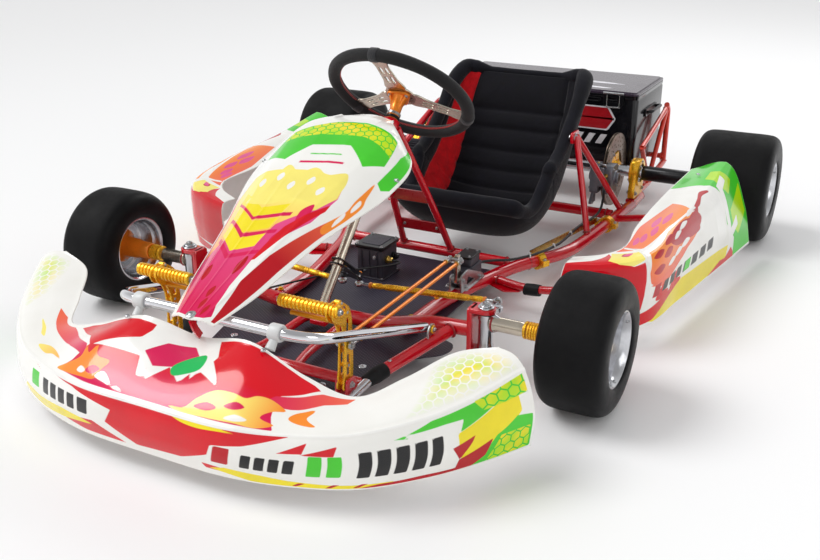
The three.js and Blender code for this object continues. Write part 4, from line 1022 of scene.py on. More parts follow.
def honeycomb(n, where, size):
    """1 inside the cells of a honeycomb, 0 on its lines."""
    line = 0.09
    cell = (size, size * math.sqrt(3), 1)
    half = tuple(c / 2 for c in cell)
    near = n.vector("WRAP", where, half, tuple(-h for h in half))
    shifted = n.vector("WRAP", n.vector("SUBTRACT", where, (half[0], half[1], 0)), half,
                       tuple(-h for h in half))
    closer = n.math("LESS_THAN", n.vector("LENGTH", near), n.vector("LENGTH", shifted))
    pick = n.node("ShaderNodeMix", data_type="VECTOR")
    for socket, value in ((pick.inputs[0], closer), (pick.inputs[4], shifted), (pick.inputs[5], near)):
        n.put(socket, value)
    folded = n.vector("ABSOLUTE", pick.outputs[1])
    slant = n.vector("DOT_PRODUCT", folded, (0.5, math.sqrt(3) / 2, 0))
    straight = n.vector("DOT_PRODUCT", folded, (1, 0, 0))
    reach = n.math("MAXIMUM", slant, straight)
    return n.span(reach, size * (0.5 - line), size * (0.5 - line * 0.55), 1, 0)


def printed(name, layers):
    """Glossy printed plastic. The layers are (ink, outlines) pairs. An ink is a name, or two names with
    the surface coordinate and the span that they fade over, or a honeycomb's cells and lines."""
    n = Nodes(name)
    surface = {"along": n.attribute("along"), "over": n.attribute("over")}
    flat = n.node("ShaderNodeCombineXYZ")
    n.put(flat.inputs[0], n.attribute("print_u"))
    n.put(flat.inputs[1], n.attribute("print_v"))
    shade = n.mix(n.span(n.noise(9, 3), 0.3, 0.7), linear((240, 239, 233)), linear(INK["white"]))
    for index, (ink, _) in enumerate(layers):
        mask = n.span(n.attribute(f"ink_{index}"), -0.6, 0.6)
        if isinstance(ink, str):
            colour = linear(INK[ink])
            uneven = n.span(n.noise(14, 4), 0.3, 0.7)
            colour = n.mix(uneven, tuple(c * 0.93 for c in colour), tuple(min(1, c * 1.05) for c in colour))
        elif ink[0] == "cells":
            _, inside, lines, size, low, high = ink
            comb = honeycomb(n, flat.outputs[0], size)
            tint = n.mix(n.span(n.noise(12, 2), 0.42, 0.58), linear(INK[inside]), linear(INK["yellow"]))
            colour = n.mix(comb, linear(INK[lines]), tint)
            if high > low:
                mask = n.math("MULTIPLY", mask, n.span(n.attribute(f"ink_{index}"), low, high))
        else:
            first, second, key, low, high = ink
            colour = n.mix(n.span(surface[key], low, high), linear(INK[first]), linear(INK[second]))
        shade = n.mix(mask, shade, colour)
    scratches = n.span(n.noise(160, 8, 0.8, (1, 0.25, 1)), 0.66, 0.74)
    shade = n.mix(n.math("MULTIPLY", scratches, 0.16), shade, (0.8, 0.78, 0.75))
    n.bump(n.math("ADD", n.noise(7, 2), n.math("MULTIPLY", n.noise(420, 3), 0.05)), 0.12, 0.002)
    rough = n.math("ADD", n.span(n.noise(30, 4), 0.3, 0.7, 0.12, 0.2), n.math("MULTIPLY", scratches, 0.2))
    return n.set(Base_Color=shade, Roughness=rough, Metallic=0.0, Coat_Weight=0.4, Coat_Roughness=0.04,
                 Specular_IOR_Level=0.3)


def rim_of(rows, columns):
    """The row and column of each point round a grid's edge, in order."""
    return ([(0, j) for j in range(columns)] + [(i, columns - 1) for i in range(1, rows)]
            + [(rows - 1, j) for j in range(columns - 2, -1, -1)] + [(i, 0) for i in range(rows - 2, 0, -1)])


def run_along(points, axis):
    """How far each grid point lies from the grid's first one, along the surface."""
    steps = np.linalg.norm(np.diff(points, axis=axis), axis=2)
    return np.cumsum(np.insert(steps, 0, 0, axis=axis), axis=axis)


def skin_form(points, thickness):
    """A skin with a front, a back and a rounded rim, from its grid of front points."""
    rows, columns = points.shape[:2]
    count = rows * columns
    inner = points - normals_of(points) * thickness
    lip = points - normals_of(points) * thickness / 2
    rim = rim_of(rows, columns)
    outward = []
    for i, j in rim:
        a, b = min(max(i, 1), rows - 2), min(max(j, 1), columns - 2)
        outward.append(points[i, j] - points[a, b])
    outward = np.array(outward)
    outward /= np.maximum(np.linalg.norm(outward, axis=1), 1e-9)[:, None]
    middle = np.array([lip[i, j] for i, j in rim]) + outward * thickness * 0.35
    faces = grid_faces(rows, columns)
    faces += [tuple(count + i for i in reversed(f)) for f in faces]
    start = 2 * count
    front = [i * columns + j for i, j in rim]
    for k in range(len(rim)):
        m = (k + 1) % len(rim)
        faces.append((front[m], front[k], start + k, start + m))
        faces.append((start + m, start + k, count + front[k], count + front[m]))
    return np.vstack([points.reshape(-1, 3), inner.reshape(-1, 3), middle]), faces


def skin_piece(name, node, points, along, over, layers, scale, fixings):
    """A moulded skin with a printed face and a plain back, from its grid of points."""
    rows, columns = points.shape[:2]
    count = rows * columns
    verts, faces = skin_form(points, 3.6)
    values = {}
    for key, inside in print_attributes(along, over, layers, scale).items():
        values[key] = np.full(len(verts), -1e3)
        values[key][:count] = inside
    across = np.tile(run_along(points, 1).mean(0), (rows, 1))
    grids = {"along": along, "over": over, "print_u": across, "print_v": run_along(points, 0)}
    for key, grid in grids.items():
        values[key] = np.zeros(len(verts))
        values[key][:2 * count] = np.tile(grid.ravel(), 2)
    piece = Piece(name, nodes=[node], slot="bodywork")
    piece.add("print", (verts, faces), **values)
    fixings(piece)
    piece.done(angle=50, print=printed(name + "_print", layers))


def blocks(start, end, low, high, count, lean):
    """A row of leaning bars, a plain racing pattern."""
    made = []
    share = 0.72
    step = (end - start) / count
    for k in range(count):
        a, b = start + k * step, start + (k + share) * step
        made.append([(a, low), (b, low), (b + lean, high), (a + lean, high)])
    return made


# station 6 is the middle of the nose; stations grow to the kart's left
def nose_layers():
    def shifted(*points):
        return [(a + 6, o) for a, o in points]

    field_left = shifted((-1.22, 2.95), (-1.5, 3.3), (-2.3, 3.78), (-2.1, 3.9), (-1.6, 3.92), (-1.0, 3.88),
                         (-0.62, 3.84), (-0.42, 3.8), (-0.1, 3.8), (0.2, 3.82), (0.4, 3.88), (0.7, 3.92),
                         (1.3, 3.93), (1.8, 3.92), (2.2, 3.86), (2.32, 3.78), (1.9, 3.4), (1.6, 3.12),
                         (1.5, 2.95), (1.6, 2.5), (1.75, 2.1), (-0.9, 2.12), (-1.6, 2.18), (-1.35, 2.5))
    magenta_left = shifted((-3.65, 3.5), (-3.3, 3.86), (-2.55, 3.8), (-1.3, 2.98), (-1.05, 2.55),
                           (-1.85, 3.05), (-3.0, 3.42))
    magenta_right = shifted((1.3, 2.63), (1.5, 3.03), (2.35, 3.7), (3.0, 3.86), (2.8, 3.53), (2.35, 3.33),
                            (1.8, 2.9))
    star = shifted((-1.15, 2.95), (-0.62, 3.4), (-0.62, 3.9), (0.0, 3.97), (0.4, 3.9), (0.46, 3.33),
                   (0.68, 2.72), (0.32, 3.0), (0.22, 2.62), (0.0, 2.9), (-0.18, 2.5), (-0.3, 2.95))
    rift = [shifted((-0.7, 3.95), (-0.52, 3.95), (-0.2, 2.55), (-0.3, 2.55)),
            shifted((0.36, 3.9), (0.45, 3.9), (0.52, 3.4), (0.3, 2.7))]
    inner_star = [shifted((-0.42, 3.1), (-0.28, 3.5), (0.1, 3.62), (0.28, 3.3), (0.1, 2.95), (-0.2, 2.82))]
    leaf = [blob(shifted((0.02, 2.9), (0.2, 3.3), (0.34, 3.42), (0.36, 3.0), (0.22, 2.82), (0.1, 2.74)))]
    flame = [blob(shifted((0.28, 2.16), (0.45, 2.2), (0.55, 2.45), (0.7, 2.66), (0.9, 2.7), (1.1, 2.68),
                          (1.25, 2.82), (1.5, 2.9), (1.75, 2.8), (1.55, 2.62), (1.45, 2.4), (1.72, 2.28),
                          (1.5, 2.12), (1.1, 2.14), (0.7, 2.12), (0.4, 2.1)), 6),
             blob(shifted((1.85, 2.6), (1.93, 2.88), (2.2, 3.1), (2.12, 2.75), (2.38, 2.4), (2.05, 2.46))),
             blob(shifted((-1.62, 2.17), (-1.4, 2.42), (-1.2, 2.62), (-1.26, 2.95), (-1.08, 2.72),
                          (-1.02, 2.95), (-0.9, 2.7), (-0.7, 2.66), (-0.74, 2.45), (-0.78, 2.24),
                          (-1.0, 2.2), (-1.3, 2.17)), 6), blob(shifted((-2.6, 2.5), (-2.3, 2.75),
            (-2.0, 2.7), (-1.7, 2.45), (-2.0, 2.52), (-2.2, 2.4)), 6),
             blob(shifted((-3.4, 2.9), (-3.05, 3.05), (-2.75, 2.85), (-2.9, 2.8), (-3.1, 2.9)), 6)]
    flame_low = [blob(shifted((0.34, 2.02), (0.45, 1.86), (0.65, 1.79), (0.95, 1.84), (1.2, 1.86),
            (0.98, 1.93), (1.25, 2.02), (0.8, 2.04)), 6)]
    tongues = [blob(shifted((0.55, 2.28), (0.68, 2.42), (0.82, 2.36), (0.72, 2.26))),
               blob(shifted((0.88, 2.42), (1.0, 2.56), (1.16, 2.5), (1.02, 2.4))),
               blob(shifted((-0.96, 2.35), (-0.88, 2.5), (-0.76, 2.46), (-0.84, 2.32)))]
    drops = [blob(shifted((-0.78, 2.3), (-0.7, 2.44), (-0.6, 2.36), (-0.52, 2.2), (-0.64, 2.24))),
             blob(shifted((-0.5, 2.18), (-0.44, 2.24), (-0.34, 2.15))),
             blob(shifted((-1.12, 2.3), (-1.08, 2.42), (-0.96, 2.36), (-1.0, 2.28))),
             blob(shifted((0.95, 2.2), (1.08, 2.32), (1.3, 2.26), (1.12, 2.18)))]
    band = [shifted(*[(a, 2.0 + 0.045) for a in np.linspace(-6, 6, 60)],
                    *[(a, 2.0 - 0.06) for a in np.linspace(6, -6, 60)])]
    low_red = [shifted((-1.7, 1.96), (2.05, 1.94), (1.3, 1.47), (0.85, 1.3), (0.8, 0.87), (0.45, 0.43),
                       (-0.15, 0.3), (-0.55, 0.95), (-0.45, 1.5), (-1.1, 1.86)), shifted((-1.2, 0.62),
            (-0.75, 0.8), (-0.3, 0.22), (-0.9, 0.2), (-1.5, 0.4)), shifted((0.7, 0.46), (1.55, 0.3),
            (1.5, 0.22), (0.75, 0.26)), shifted((1.85, 1.37), (2.35, 1.77), (2.25, 1.4)),
               shifted((2.2, 1.36), (2.82, 1.66), (2.72, 1.34)), shifted((-2.3, 1.9), (-2.0, 1.72),
            (-2.15, 1.84))]
    yellow = [shifted((1.0, 0.46), (1.6, 0.4), (2.0, 0.3), (2.65, 0.22), (3.5, 0.2), (3.5, 0.06),
                      (1.4, 0.06), (0.8, 0.3)), shifted((4.45, 1.34), (5.3, 1.62), (5.72, 1.66),
            (5.72, 1.2), (5.4, 0.95), (4.9, 0.66), (4.5, 0.3), (4.42, 0.9)), shifted((-2.6, 0.82),
            (-2.15, 0.66), (-1.4, 0.78), (-0.95, 0.72), (-0.75, 0.6), (-1.4, 0.34), (-2.1, 0.16),
            (-2.9, 0.3))]
    green = [shifted((4.1, 1.86), (5.9, 1.9), (5.9, 1.7), (5.3, 1.64), (4.5, 1.36), (4.62, 1.62),
                     (4.3, 1.66), (3.7, 1.66)), shifted((5.1, 0.9), (5.6, 1.14), (5.95, 1.0), (5.95, 0.05),
            (4.65, 0.05)), shifted((3.55, 1.62), (3.75, 1.56), (3.68, 1.66)), shifted((-6, 1.86),
            (-4.9, 1.86), (-5.3, 1.2), (-5.0, 0.1), (-6, 0.1))]
    red_tail = [shifted((4.32, 1.0), (4.72, 1.16), (4.52, 0.7), (4.46, 0.5), (5.02, 0.86), (4.92, 0.3),
                        (4.7, 0.05), (3.0, 0.05), (3.3, 0.16), (3.9, 0.2), (4.4, 0.16), (4.44, 0.5)),
                *[shifted((a, 0.08), (a + 0.08, 0.08), (a + 0.22, 0.24), (a + 0.12, 0.24))
                  for a in (2.05, 2.55, 2.95)]]
    dark = [shifted(*p) for p in blocks(1.25, 2.15, 0.62, 1.16, 4, 0.05)] + [shifted(*p)
            for p in blocks(3.0, 4.2, 0.52, 1.42, 5, 0.08)]
    dark += [shifted(*p) for p in blocks(-1.95, -0.75, 0.98, 1.58, 5, 0.02)]
    bars_red = [shifted(*p) for p in blocks(0.84, 1.16, 0.62, 1.3, 1, 0.05)]
    bars_green = [shifted(*p) for p in blocks(2.28, 2.86, 0.58, 1.34, 2, 0.06)] + [shifted(*p)
            for p in blocks(-2.35, -2.0, 1.02, 1.62, 1, 0.02)]
    comb_up = [shifted((3.7, 2.12), (4.1, 3.1), (4.5, 3.88), (5.3, 3.92), (5.8, 3.5), (5.92, 2.8),
                       (5.92, 2.1), (5.0, 2.08)), shifted((-3.9, 2.2), (-4.2, 2.9), (-4.9, 3.4),
            (-5.4, 3.7), (-5.85, 3.3), (-5.9, 2.5), (-5.85, 2.1), (-5.0, 2.08))]
    comb_low = [shifted((4.9, 1.9), (5.92, 1.92), (5.92, 1.5), (5.4, 1.56), (5.0, 1.62)),
                shifted((4.95, 0.06), (5.2, 0.84), (5.9, 0.7), (5.9, 0.06))]
    return [
        (("magenta", "red", "over", 2.35, 2.95), [field_left]),
        (("magenta", "salmon", "along", 7.3, 9.0), [magenta_right]),
        (("salmon", "magenta", "along", 2.6, 4.6), [magenta_left]),
        ("white", [star] + rift),
        ("magenta", inner_star),
        ("teal", leaf),
        (("pale_yellow", "orange", "along", 7.0, 7.7), flame[:2]),
        (("pale_yellow", "orange", "along", 3.4, 4.6), flame[2:]),
        ("magenta", tongues),
        ("white", drops),
        ("red", low_red),
        ("yellow", yellow),
        ("green", green),
        (("cells", "lime", "white", 19, 0, 60), comb_up),
        (("cells", "lime", "green", 19, 0, 0), comb_low),
        ("deep_red", red_tail),
        ("yellow", flame_low),
        ("black", dark),
        ("deep_red", bars_red),
        ("green", bars_green),
        ("white", band),
    ]


def both_sides(half):
    return [(-x, y, z) for x, y, z in half[:0:-1]] + half


def build_nose():
    low_edge = [(0, -541, 40), (150, -537, 40), (250, -515, 40), (345, -474, 40), (432, -396, 42),
                (492, -312, 42), (537, -240, 44)]
    belly = [(0, -548, 84), (150, -544, 84), (252, -522, 84), (350, -480, 86), (438, -400, 88),
             (500, -316, 96), (541, -240, 108)]
    crease = [(0, -541, 130), (150, -535, 128), (250, -510, 129), (335, -476, 134), (424, -400, 148),
              (478, -326, 164), (522, -246, 184)]
    crown = [(0, -466, 170), (150, -470, 176), (250, -464, 146), (328, -430, 146), (392, -356, 164),
             (444, -290, 184), (500, -238, 200)]
    rear_edge = [(0, -392, 186), (110, -402, 206), (215, -404, 170), (300, -392, 148), (350, -322, 160),
                 (404, -246, 184), (470, -230, 202)]
    points, along, over = loft([both_sides(line) for line in (low_edge, belly, crease, crown, rear_edge)],
            300, 26)
    raised = np.exp(-(((over - 2.0) / 0.07) ** 2)) * 2.2 + np.clip((over - 3.86) / 0.14, 0, 1) * 1.0
    points = points + normals_of(points) * raised[:, :, None]
    points[:, :, 2] = np.maximum(points[:, :, 2], 40.2)

    def fixings(piece):
        for x in (-142, 142):
            piece.add("steel", bolt((x, -412, 203), (0, -0.25, 1), 4.5, "button"))

    skin_piece("nose_fairing_skin", "nose_fairing", points, along, over, nose_layers(), (100, 62), fixings)


def panel_layers():
    whole = [(0.05, 0.55), (0.8, 0.2), (2.4, 0.14), (2.65, 0.6), (2.75, 2.0), (2.72, 3.1), (2.5, 3.3),
             (2.1, 3.3), (1.75, 2.95), (1.45, 2.62), (0.9, 2.7), (0.4, 3.0), (0.14, 3.36), (0.05, 3.0),
             (0.05, 1.1)]
    warm = [(1.35, 0.2), (2.4, 0.16), (2.66, 0.6), (2.76, 2.0), (2.74, 3.1), (2.5, 3.28), (2.25, 3.1),
            (1.9, 2.4), (1.62, 2.3), (1.5, 1.6), (1.6, 0.9)]
    chevrons = []
    for start, length in ((1.42, 0.2), (1.7, 0.18), (1.95, 0.15)):
        chevrons.append([(start + 0.28, 0.55), (start, 1.5), (start + 0.13, 2.3), (start + 0.13 + length,
                2.35), (start + length, 1.56), (start + 0.28 + length, 0.62)])
    stripes = []
    for start in (1.3, 1.62, 1.9):
        stripes.append([(start + 0.3, 0.5), (start, 1.52), (start + 0.16, 2.6), (start + 0.22, 2.6),
                        (start + 0.07, 1.55), (start + 0.36, 0.55)])
    yellow = [blob([(2.2, 0.8), (2.35, 1.3), (2.8, 1.5), (2.7, 1.9), (2.82, 2.2), (2.74, 2.6), (2.84, 3.0),
                    (2.6, 3.2), (2.35, 3.0), (2.3, 2.2), (2.15, 1.6)], 5)]
    hole = [(2.42, 1.1), (2.5, 1.18), (2.56, 1.1), (2.48, 1.0)]
    holes = [blob([(a + 0.11 * (k % 2), o + 0.42 * k) for a, o in hole]) for k in range(5)]
    ovals = [blob([(a, o), (a + 0.16, o + 0.16), (a + 0.3, o + 0.05), (a + 0.16, o - 0.14)]) for a, o in
             ((0.25, 2.1), (0.55, 2.0), (0.9, 1.1), (1.1, 2.35), (0.1, 2.6), (1.55, 2.75), (2.0, 2.9))]
    flank = [(0.04, 3.62), (0.5, 3.3), (1.05, 2.98), (1.5, 3.1), (1.9, 3.4), (2.2, 3.6), (2.42, 3.74),
             (2.4, 3.9), (1.9, 3.86), (1.4, 3.8), (0.9, 3.82), (0.3, 3.9), (0.04, 3.9)]
    tongues = [blob([(2.15, 3.62), (2.45, 3.7), (2.62, 3.62), (2.95, 3.6), (2.72, 3.74), (2.6, 3.86),
                     (2.3, 3.9), (2.1, 3.84)], 6)]
    gaps = [blob([(2.3, 3.72), (2.44, 3.7), (2.38, 3.8), (2.22, 3.82)]),
            blob([(2.52, 3.72), (2.66, 3.68), (2.62, 3.78), (2.48, 3.8)])]
    flank_green = [(2.98, 3.62), (3.7, 3.6), (4.4, 3.9), (4.0, 3.94), (3.0, 3.94), (2.92, 3.8)]
    green = [(3.0, 0.6), (3.5, 0.9), (3.9, 1.8), (4.0, 2.4), (3.9, 3.3), (3.3, 3.46), (3.05, 3.1),
             (3.35, 2.5), (3.25, 1.7), (2.9, 1.3)]
    comb = [(3.35, 0.9), (3.6, 1.0), (3.88, 1.8), (3.95, 2.4), (3.85, 3.3), (3.5, 3.4), (3.6, 2.6),
            (3.5, 1.7)]
    ticks = [[(2.86, 1.7), (2.9, 1.7), (3.0, 2.7), (2.96, 2.7)], [(3.04, 1.8), (3.07, 1.8), (3.15, 2.5),
            (3.12, 2.5)]]
    far_flank = [(0.3, 0.12), (1.5, 0.06), (2.6, 0.06), (2.2, 0.14), (1.2, 0.2)]
    return [(("magenta", "pink", "along", 0.4, 2.4), [whole]), (("orange", "pale_yellow", "along", 1.4,
            2.3), [warm]), ("magenta", stripes), ("yellow", chevrons), ("pale_yellow", yellow),
            ("white", holes), ("deep_red", ovals[:5]), ("magenta", ovals[5:]),
            ("red", [[(1.35, 2.58), (1.6, 2.62), (1.9, 2.72), (2.15, 3.0), (2.4, 3.3), (2.3, 3.34),
                      (2.0, 3.14), (1.7, 2.94), (1.38, 2.72)]]), (("deep_red", "salmon", "along", 1.5, 2.5),
            [flank, far_flank]), ("orange", tongues), ("white", gaps), ("green", [flank_green, green]),
            (("cells", "lime", "green", 17, 0, 0), [comb]), ("magenta", ticks[:1]), ("green", ticks[1:]),]


def build_panel():
    ridge = [(0, -420, 232), (0, -330, 268), (0, -180, 335), (0, -20, 404), (0, 110, 446), (0, 196, 440)]
    plateau = [(24, -416, 232), (38, -330, 266), (60, -180, 330), (88, -20, 396), (96, 104, 434),
               (56, 178, 436)]
    edge = [(44, -410, 224), (70, -326, 248), (104, -180, 300), (156, -10, 352), (150, 84, 386),
            (58, 140, 440)]
    lines = [edge, plateau, ridge, [(-x, y, z) for x, y, z in plateau], [(-x, y, z) for x, y, z in edge]]
    points, along, over = loft(lines, 220, 34)
    over = len(lines) - 1 - over
    crease = np.exp(-(((over - 3.0) / 0.09) ** 2)) + np.exp(-(((over - 1.0) / 0.09) ** 2))
    rib = np.exp(-(((over - 2.35) / 0.05) ** 2)) + np.exp(-(((over - 1.65) / 0.05) ** 2))
    fade = np.clip((3.2 - along) / 1.2, 0, 1) * np.clip(along / 0.5, 0, 1)
    points = points + normals_of(points) * ((crease * 1.6 + rib * 1.1) * (0.3 + 0.7 * fade))[:, :, None]

    def fixings(piece):
        piece.add("steel", bolt((0, -412, 236), (0, -0.3, 1), 6.2, "button"), disc((0, -412, 235),
                (0, -0.3, 1), 9, 0, 2))
        piece.add("steel", bolt((150, 20, 366), (0.9, 0, 0.5), 4.6, "cap"))
        piece.add("steel", bolt((-150, 20, 366), (-0.9, 0, 0.5), 4.6, "cap"))
        piece.add("red", tube(bent([(0, -412, 227), (0, -406, 208), (0, -394, 189)], 8), 1, 4,
                              [(6, 2), (-6, 2), (-6, -2), (6, -2)]))

    skin_piece("front_panel_skin", "front_panel", points, along, over, panel_layers(), (110, 60), fixings)


def pod_layers():
    def stretched(*points):
        return [(a * 5, o) for a, o in points]

    red_front = stretched((0.0, 2.2), (0.12, 2.4), (0.24, 2.92), (0.23, 2.14), (0.32, 1.84), (0.38, 1.9),
                          (0.385, 1.3), (0.38, 0.9), (0.37, 0.5), (0.3, 0.3), (0.1, 0.3), (0.0, 0.6))
    yellow_patch = stretched((0.26, 2.9), (0.4, 2.44), (0.385, 2.0), (0.32, 1.86), (0.25, 2.0), (0.2, 2.3))
    flame = blob(stretched((0.41, 2.16), (0.5, 2.12), (0.57, 2.18), (0.66, 2.3), (0.7, 2.1), (0.68, 1.8),
                           (0.69, 1.5), (0.64, 1.34), (0.55, 1.24), (0.42, 1.12), (0.4, 1.7)), 6)
    top = stretched((0.3, 2.94), (0.45, 2.98), (0.6, 2.9), (0.73, 2.6), (0.7, 2.1), (0.57, 2.24),
                    (0.44, 2.44), (0.38, 2.7))
    red = blob(stretched((0.53, 1.9), (0.59, 2.06), (0.64, 2.02), (0.68, 1.9), (0.74, 2.06), (0.7, 1.7),
                         (0.7, 1.46), (0.63, 1.5), (0.56, 1.62)), 6)
    whips = [blob(stretched((0.7, 2.0), (0.76, 2.12), (0.8, 2.2), (0.82, 1.98), (0.78, 2.06), (0.74, 1.94))),
             blob(stretched((0.66, 1.9), (0.7, 1.96), (0.72, 1.66), (0.69, 1.5), (0.69, 1.7)))]
    seam = [stretched((0.385, 2.94), (0.40, 2.94), (0.43, 2.44), (0.40, 1.5), (0.412, 0.9), (0.395, 0.9),
                      (0.385, 1.5), (0.41, 2.4)), stretched((0.4, 2.34), (0.44, 2.46), (0.57, 2.24),
            (0.72, 2.04), (0.72, 1.98), (0.56, 2.16), (0.43, 2.34))]
    wedge = stretched((0.41, 1.1), (0.54, 1.28), (0.66, 1.46), (0.6, 1.2), (0.48, 0.9))
    bars = [stretched(*p) for p in blocks(0.47, 0.77, 0.78, 1.02, 7, 0.012)]
    bar_red = [stretched(*p) for p in blocks(0.42, 0.465, 0.74, 1.06, 1, 0.012)]
    bar_green = [stretched(*p) for p in blocks(0.605, 0.645, 0.78, 1.02, 1, 0.012)]
    yellow = stretched((0.42, 0.1), (0.5, 0.46), (0.6, 0.66), (0.7, 0.6), (0.8, 0.52), (0.86, 0.44),
                       (0.84, 0.05), (0.44, 0.05))
    red_low = stretched((0.2, 0.04), (0.36, 0.05), (0.44, 0.12), (0.52, 0.46), (0.6, 0.68), (0.5, 0.66),
                        (0.4, 0.44), (0.3, 0.3), (0.1, 0.2))
    red_two = stretched((0.74, 0.04), (0.81, 0.2), (0.84, 0.16), (0.88, 0.32), (0.9, 0.04))
    green = stretched((0.84, 2.98), (0.84, 2.2), (0.87, 1.6), (0.86, 1.0), (0.9, 0.5), (0.89, 0.05),
                      (1.0, 0.05), (1.0, 2.98))
    lime = [stretched((0.88, 2.3), (0.93, 2.3), (0.95, 1.7), (0.91, 1.5), (0.88, 1.8)),
            stretched((0.9, 1.2), (0.99, 1.5), (0.99, 0.9), (0.93, 0.5), (0.9, 0.8))]
    licks = [blob(stretched((a, 0.62), (a + 0.02, 0.9), (a + 0.05, 1.0), (a + 0.045, 0.8), (a + 0.07, 0.72),
                            (a + 0.06, 0.6)), 5) for a in (0.44, 0.52)]
    gaps = [blob(stretched((a, o), (a + 0.03, o + 0.1), (a + 0.05, o + 0.02), (a + 0.02, o - 0.05)), 5)
            for a, o in ((0.555, 1.82), (0.6, 1.9), (0.5, 1.36), (0.545, 1.42), (0.59, 1.46), (0.66, 2.02))]
    badge = [stretched((0.8, 1.8), (0.845, 1.95), (0.85, 0.75), (0.8, 0.55)), stretched((0.865, 1.9),
            (0.92, 2.0), (0.92, 1.8), (0.885, 1.7), (0.885, 0.8), (0.93, 1.0), (0.93, 0.75), (0.865, 0.45))]
    ovals = [blob(stretched((a, o), (a + 0.035, o + 0.12), (a + 0.06, o), (a + 0.03, o - 0.12))) for a, o in
             ((0.425, 1.9), (0.475, 1.7), (0.42, 1.45), (0.5, 1.98), (0.29, 2.5))]
    top_ovals = [blob(stretched((a, o), (a + 0.035, o + 0.08), (a + 0.07, o), (a + 0.03, o - 0.08))) for a,
                 o in ((0.47, 2.66), (0.52, 2.5), (0.58, 2.6), (0.6, 2.42), (0.3, 2.5), (0.44, 2.8))]
    return [
        ("red", [red_front]),
        ("pale_yellow", [yellow_patch]),
        (("orange", "salmon", "over", 2.2, 2.9), [top]),
        (("salmon", "orange", "over", 1.1, 2.0), [flame]),
        ("deep_red", ovals),
        ("pink", top_ovals),
        ("deep_red", [red] + whips),
        ("white", gaps),
        ("salmon", [wedge]),
        ("red", licks),
        ("yellow", [yellow]),
        ("red", [red_low, red_two]),
        ("green", [green]),
        ("lime", lime),
        ("white", badge),
        ("black", bars),
        ("deep_red", bar_red),
        ("green", bar_green),
        ("white", seam),
    ]


def build_pods():
    low_edge = [(415, 205, 42), (500, 240, 40), (572, 292, 40), (604, 450, 40), (640, 680, 40),
                (672, 892, 40)]
    belly = [(418, 202, 120), (505, 234, 120), (578, 286, 124), (606, 450, 128), (632, 680, 130),
             (650, 892, 136)]
    shoulder = [(424, 214, 176), (506, 244, 180), (570, 290, 190), (588, 450, 208), (594, 680, 216),
                (598, 892, 236)]
    inner_edge = [(424, 262, 178), (480, 290, 184), (508, 330, 190), (500, 450, 196), (500, 680, 202),
                  (512, 892, 210)]
    lines = [low_edge, belly, shoulder, inner_edge]
    points, along, over = loft(lines, 240, 40)
    raised = np.exp(-(((along - 2.02) / 0.03) ** 2)) * np.clip((over - 0.5) / 0.6, 0,
            1) + np.exp(-(((over - 2.06) / 0.05) ** 2)) * 0.8
    points = points + normals_of(points) * raised[:, :, None] * 1.3
    points[:, :, 2] = np.maximum(points[:, :, 2], 40.2)
    layers = pod_layers()
    for name, side in SIDES:
        def fixings(piece, side=side):
            for y, z in ((420, 203), (800, 226)):
                piece.add("steel", bolt((side * 548, y, z), (0, 0, 1), 4.5, "button"))

        turned = [grid if side > 0 else grid[:, ::-1] for grid in (points * (side, 1, 1), along, over)]
        skin_piece(f"side_pod_{name}_skin", f"side_pod_{name}", *turned, layers, (100, 70), fixings)


build_nose()
build_panel()
build_pods()


# ------------------------------------------------------------------ seat
SEAT_X = 45
SEAT_LINE = [(0, 486, 172), (0, 516, 112), (0, 566, 72), (0, 640, 56), (0, 714, 66), (0, 776, 104),
             (0, 832, 176), (0, 878, 258), (0, 916, 330), (0, 950, 394)]
SEAT_SIZE = [(168, 8, 0), (176, 62, 0), (182, 110, 0), (186, 150, 0), (188, 176, 0), (190, 176, 0),
             (190, 140, 0), (190, 104, 0), (190, 74, 0), (182, 40, 0)]
SQUARENESS = 2 / 3.2
CHANNELS = [7.55, 6.95, 6.35, 5.75, 5.15, 4.55]
PANEL_EDGE, STRIPE_EDGE = 0.50, 0.80


def even_angles(count):
    """Angles whose spots lie evenly along the seat's cross-section, and each one's share from -1 to 1."""
    fine = np.radians(np.linspace(-90, 90, 4001))
    across = np.sign(fine) * np.abs(np.sin(fine)) ** SQUARENESS * 188
    up = (1 - np.abs(np.cos(fine)) ** SQUARENESS) * 150
    length = np.concatenate([[0], np.cumsum(np.hypot(np.diff(across), np.diff(up)))])
    share = np.linspace(-1, 1, count)
    return np.interp((share + 1) / 2 * length[-1], length, fine), share


def seat_spots(station, angles, inset):
    """Points across the seat at a station of its centre line, the inset inside its shell."""
    t = station / (len(SEAT_LINE) - 1)
    centre, size = catmull(SEAT_LINE, t), catmull(SEAT_SIZE, t)
    ahead = catmull(SEAT_LINE, min(t + 0.002, 1)) - catmull(SEAT_LINE, max(t - 0.002, 0))
    ahead /= np.linalg.norm(ahead)
    normal = np.array([0, -ahead[2], ahead[1]])
    side = np.sign(angles) * np.abs(np.sin(angles)) ** SQUARENESS
    rise = 1 - np.abs(np.cos(angles)) ** SQUARENESS
    lift = inset + rise * np.maximum(size[1] - inset, 2)
    spots = centre + normal * lift[:, None]
    spots[:, 0] = SEAT_X + side * (size[0] - inset)
    return spots


def seat_grid(first, last, rows, angles, inset):
    insets = inset if callable(inset) else (lambda station: np.full(len(angles), float(inset)))
    return np.array([seat_spots(s, angles, insets(s)) for s in np.linspace(first, last, rows)])


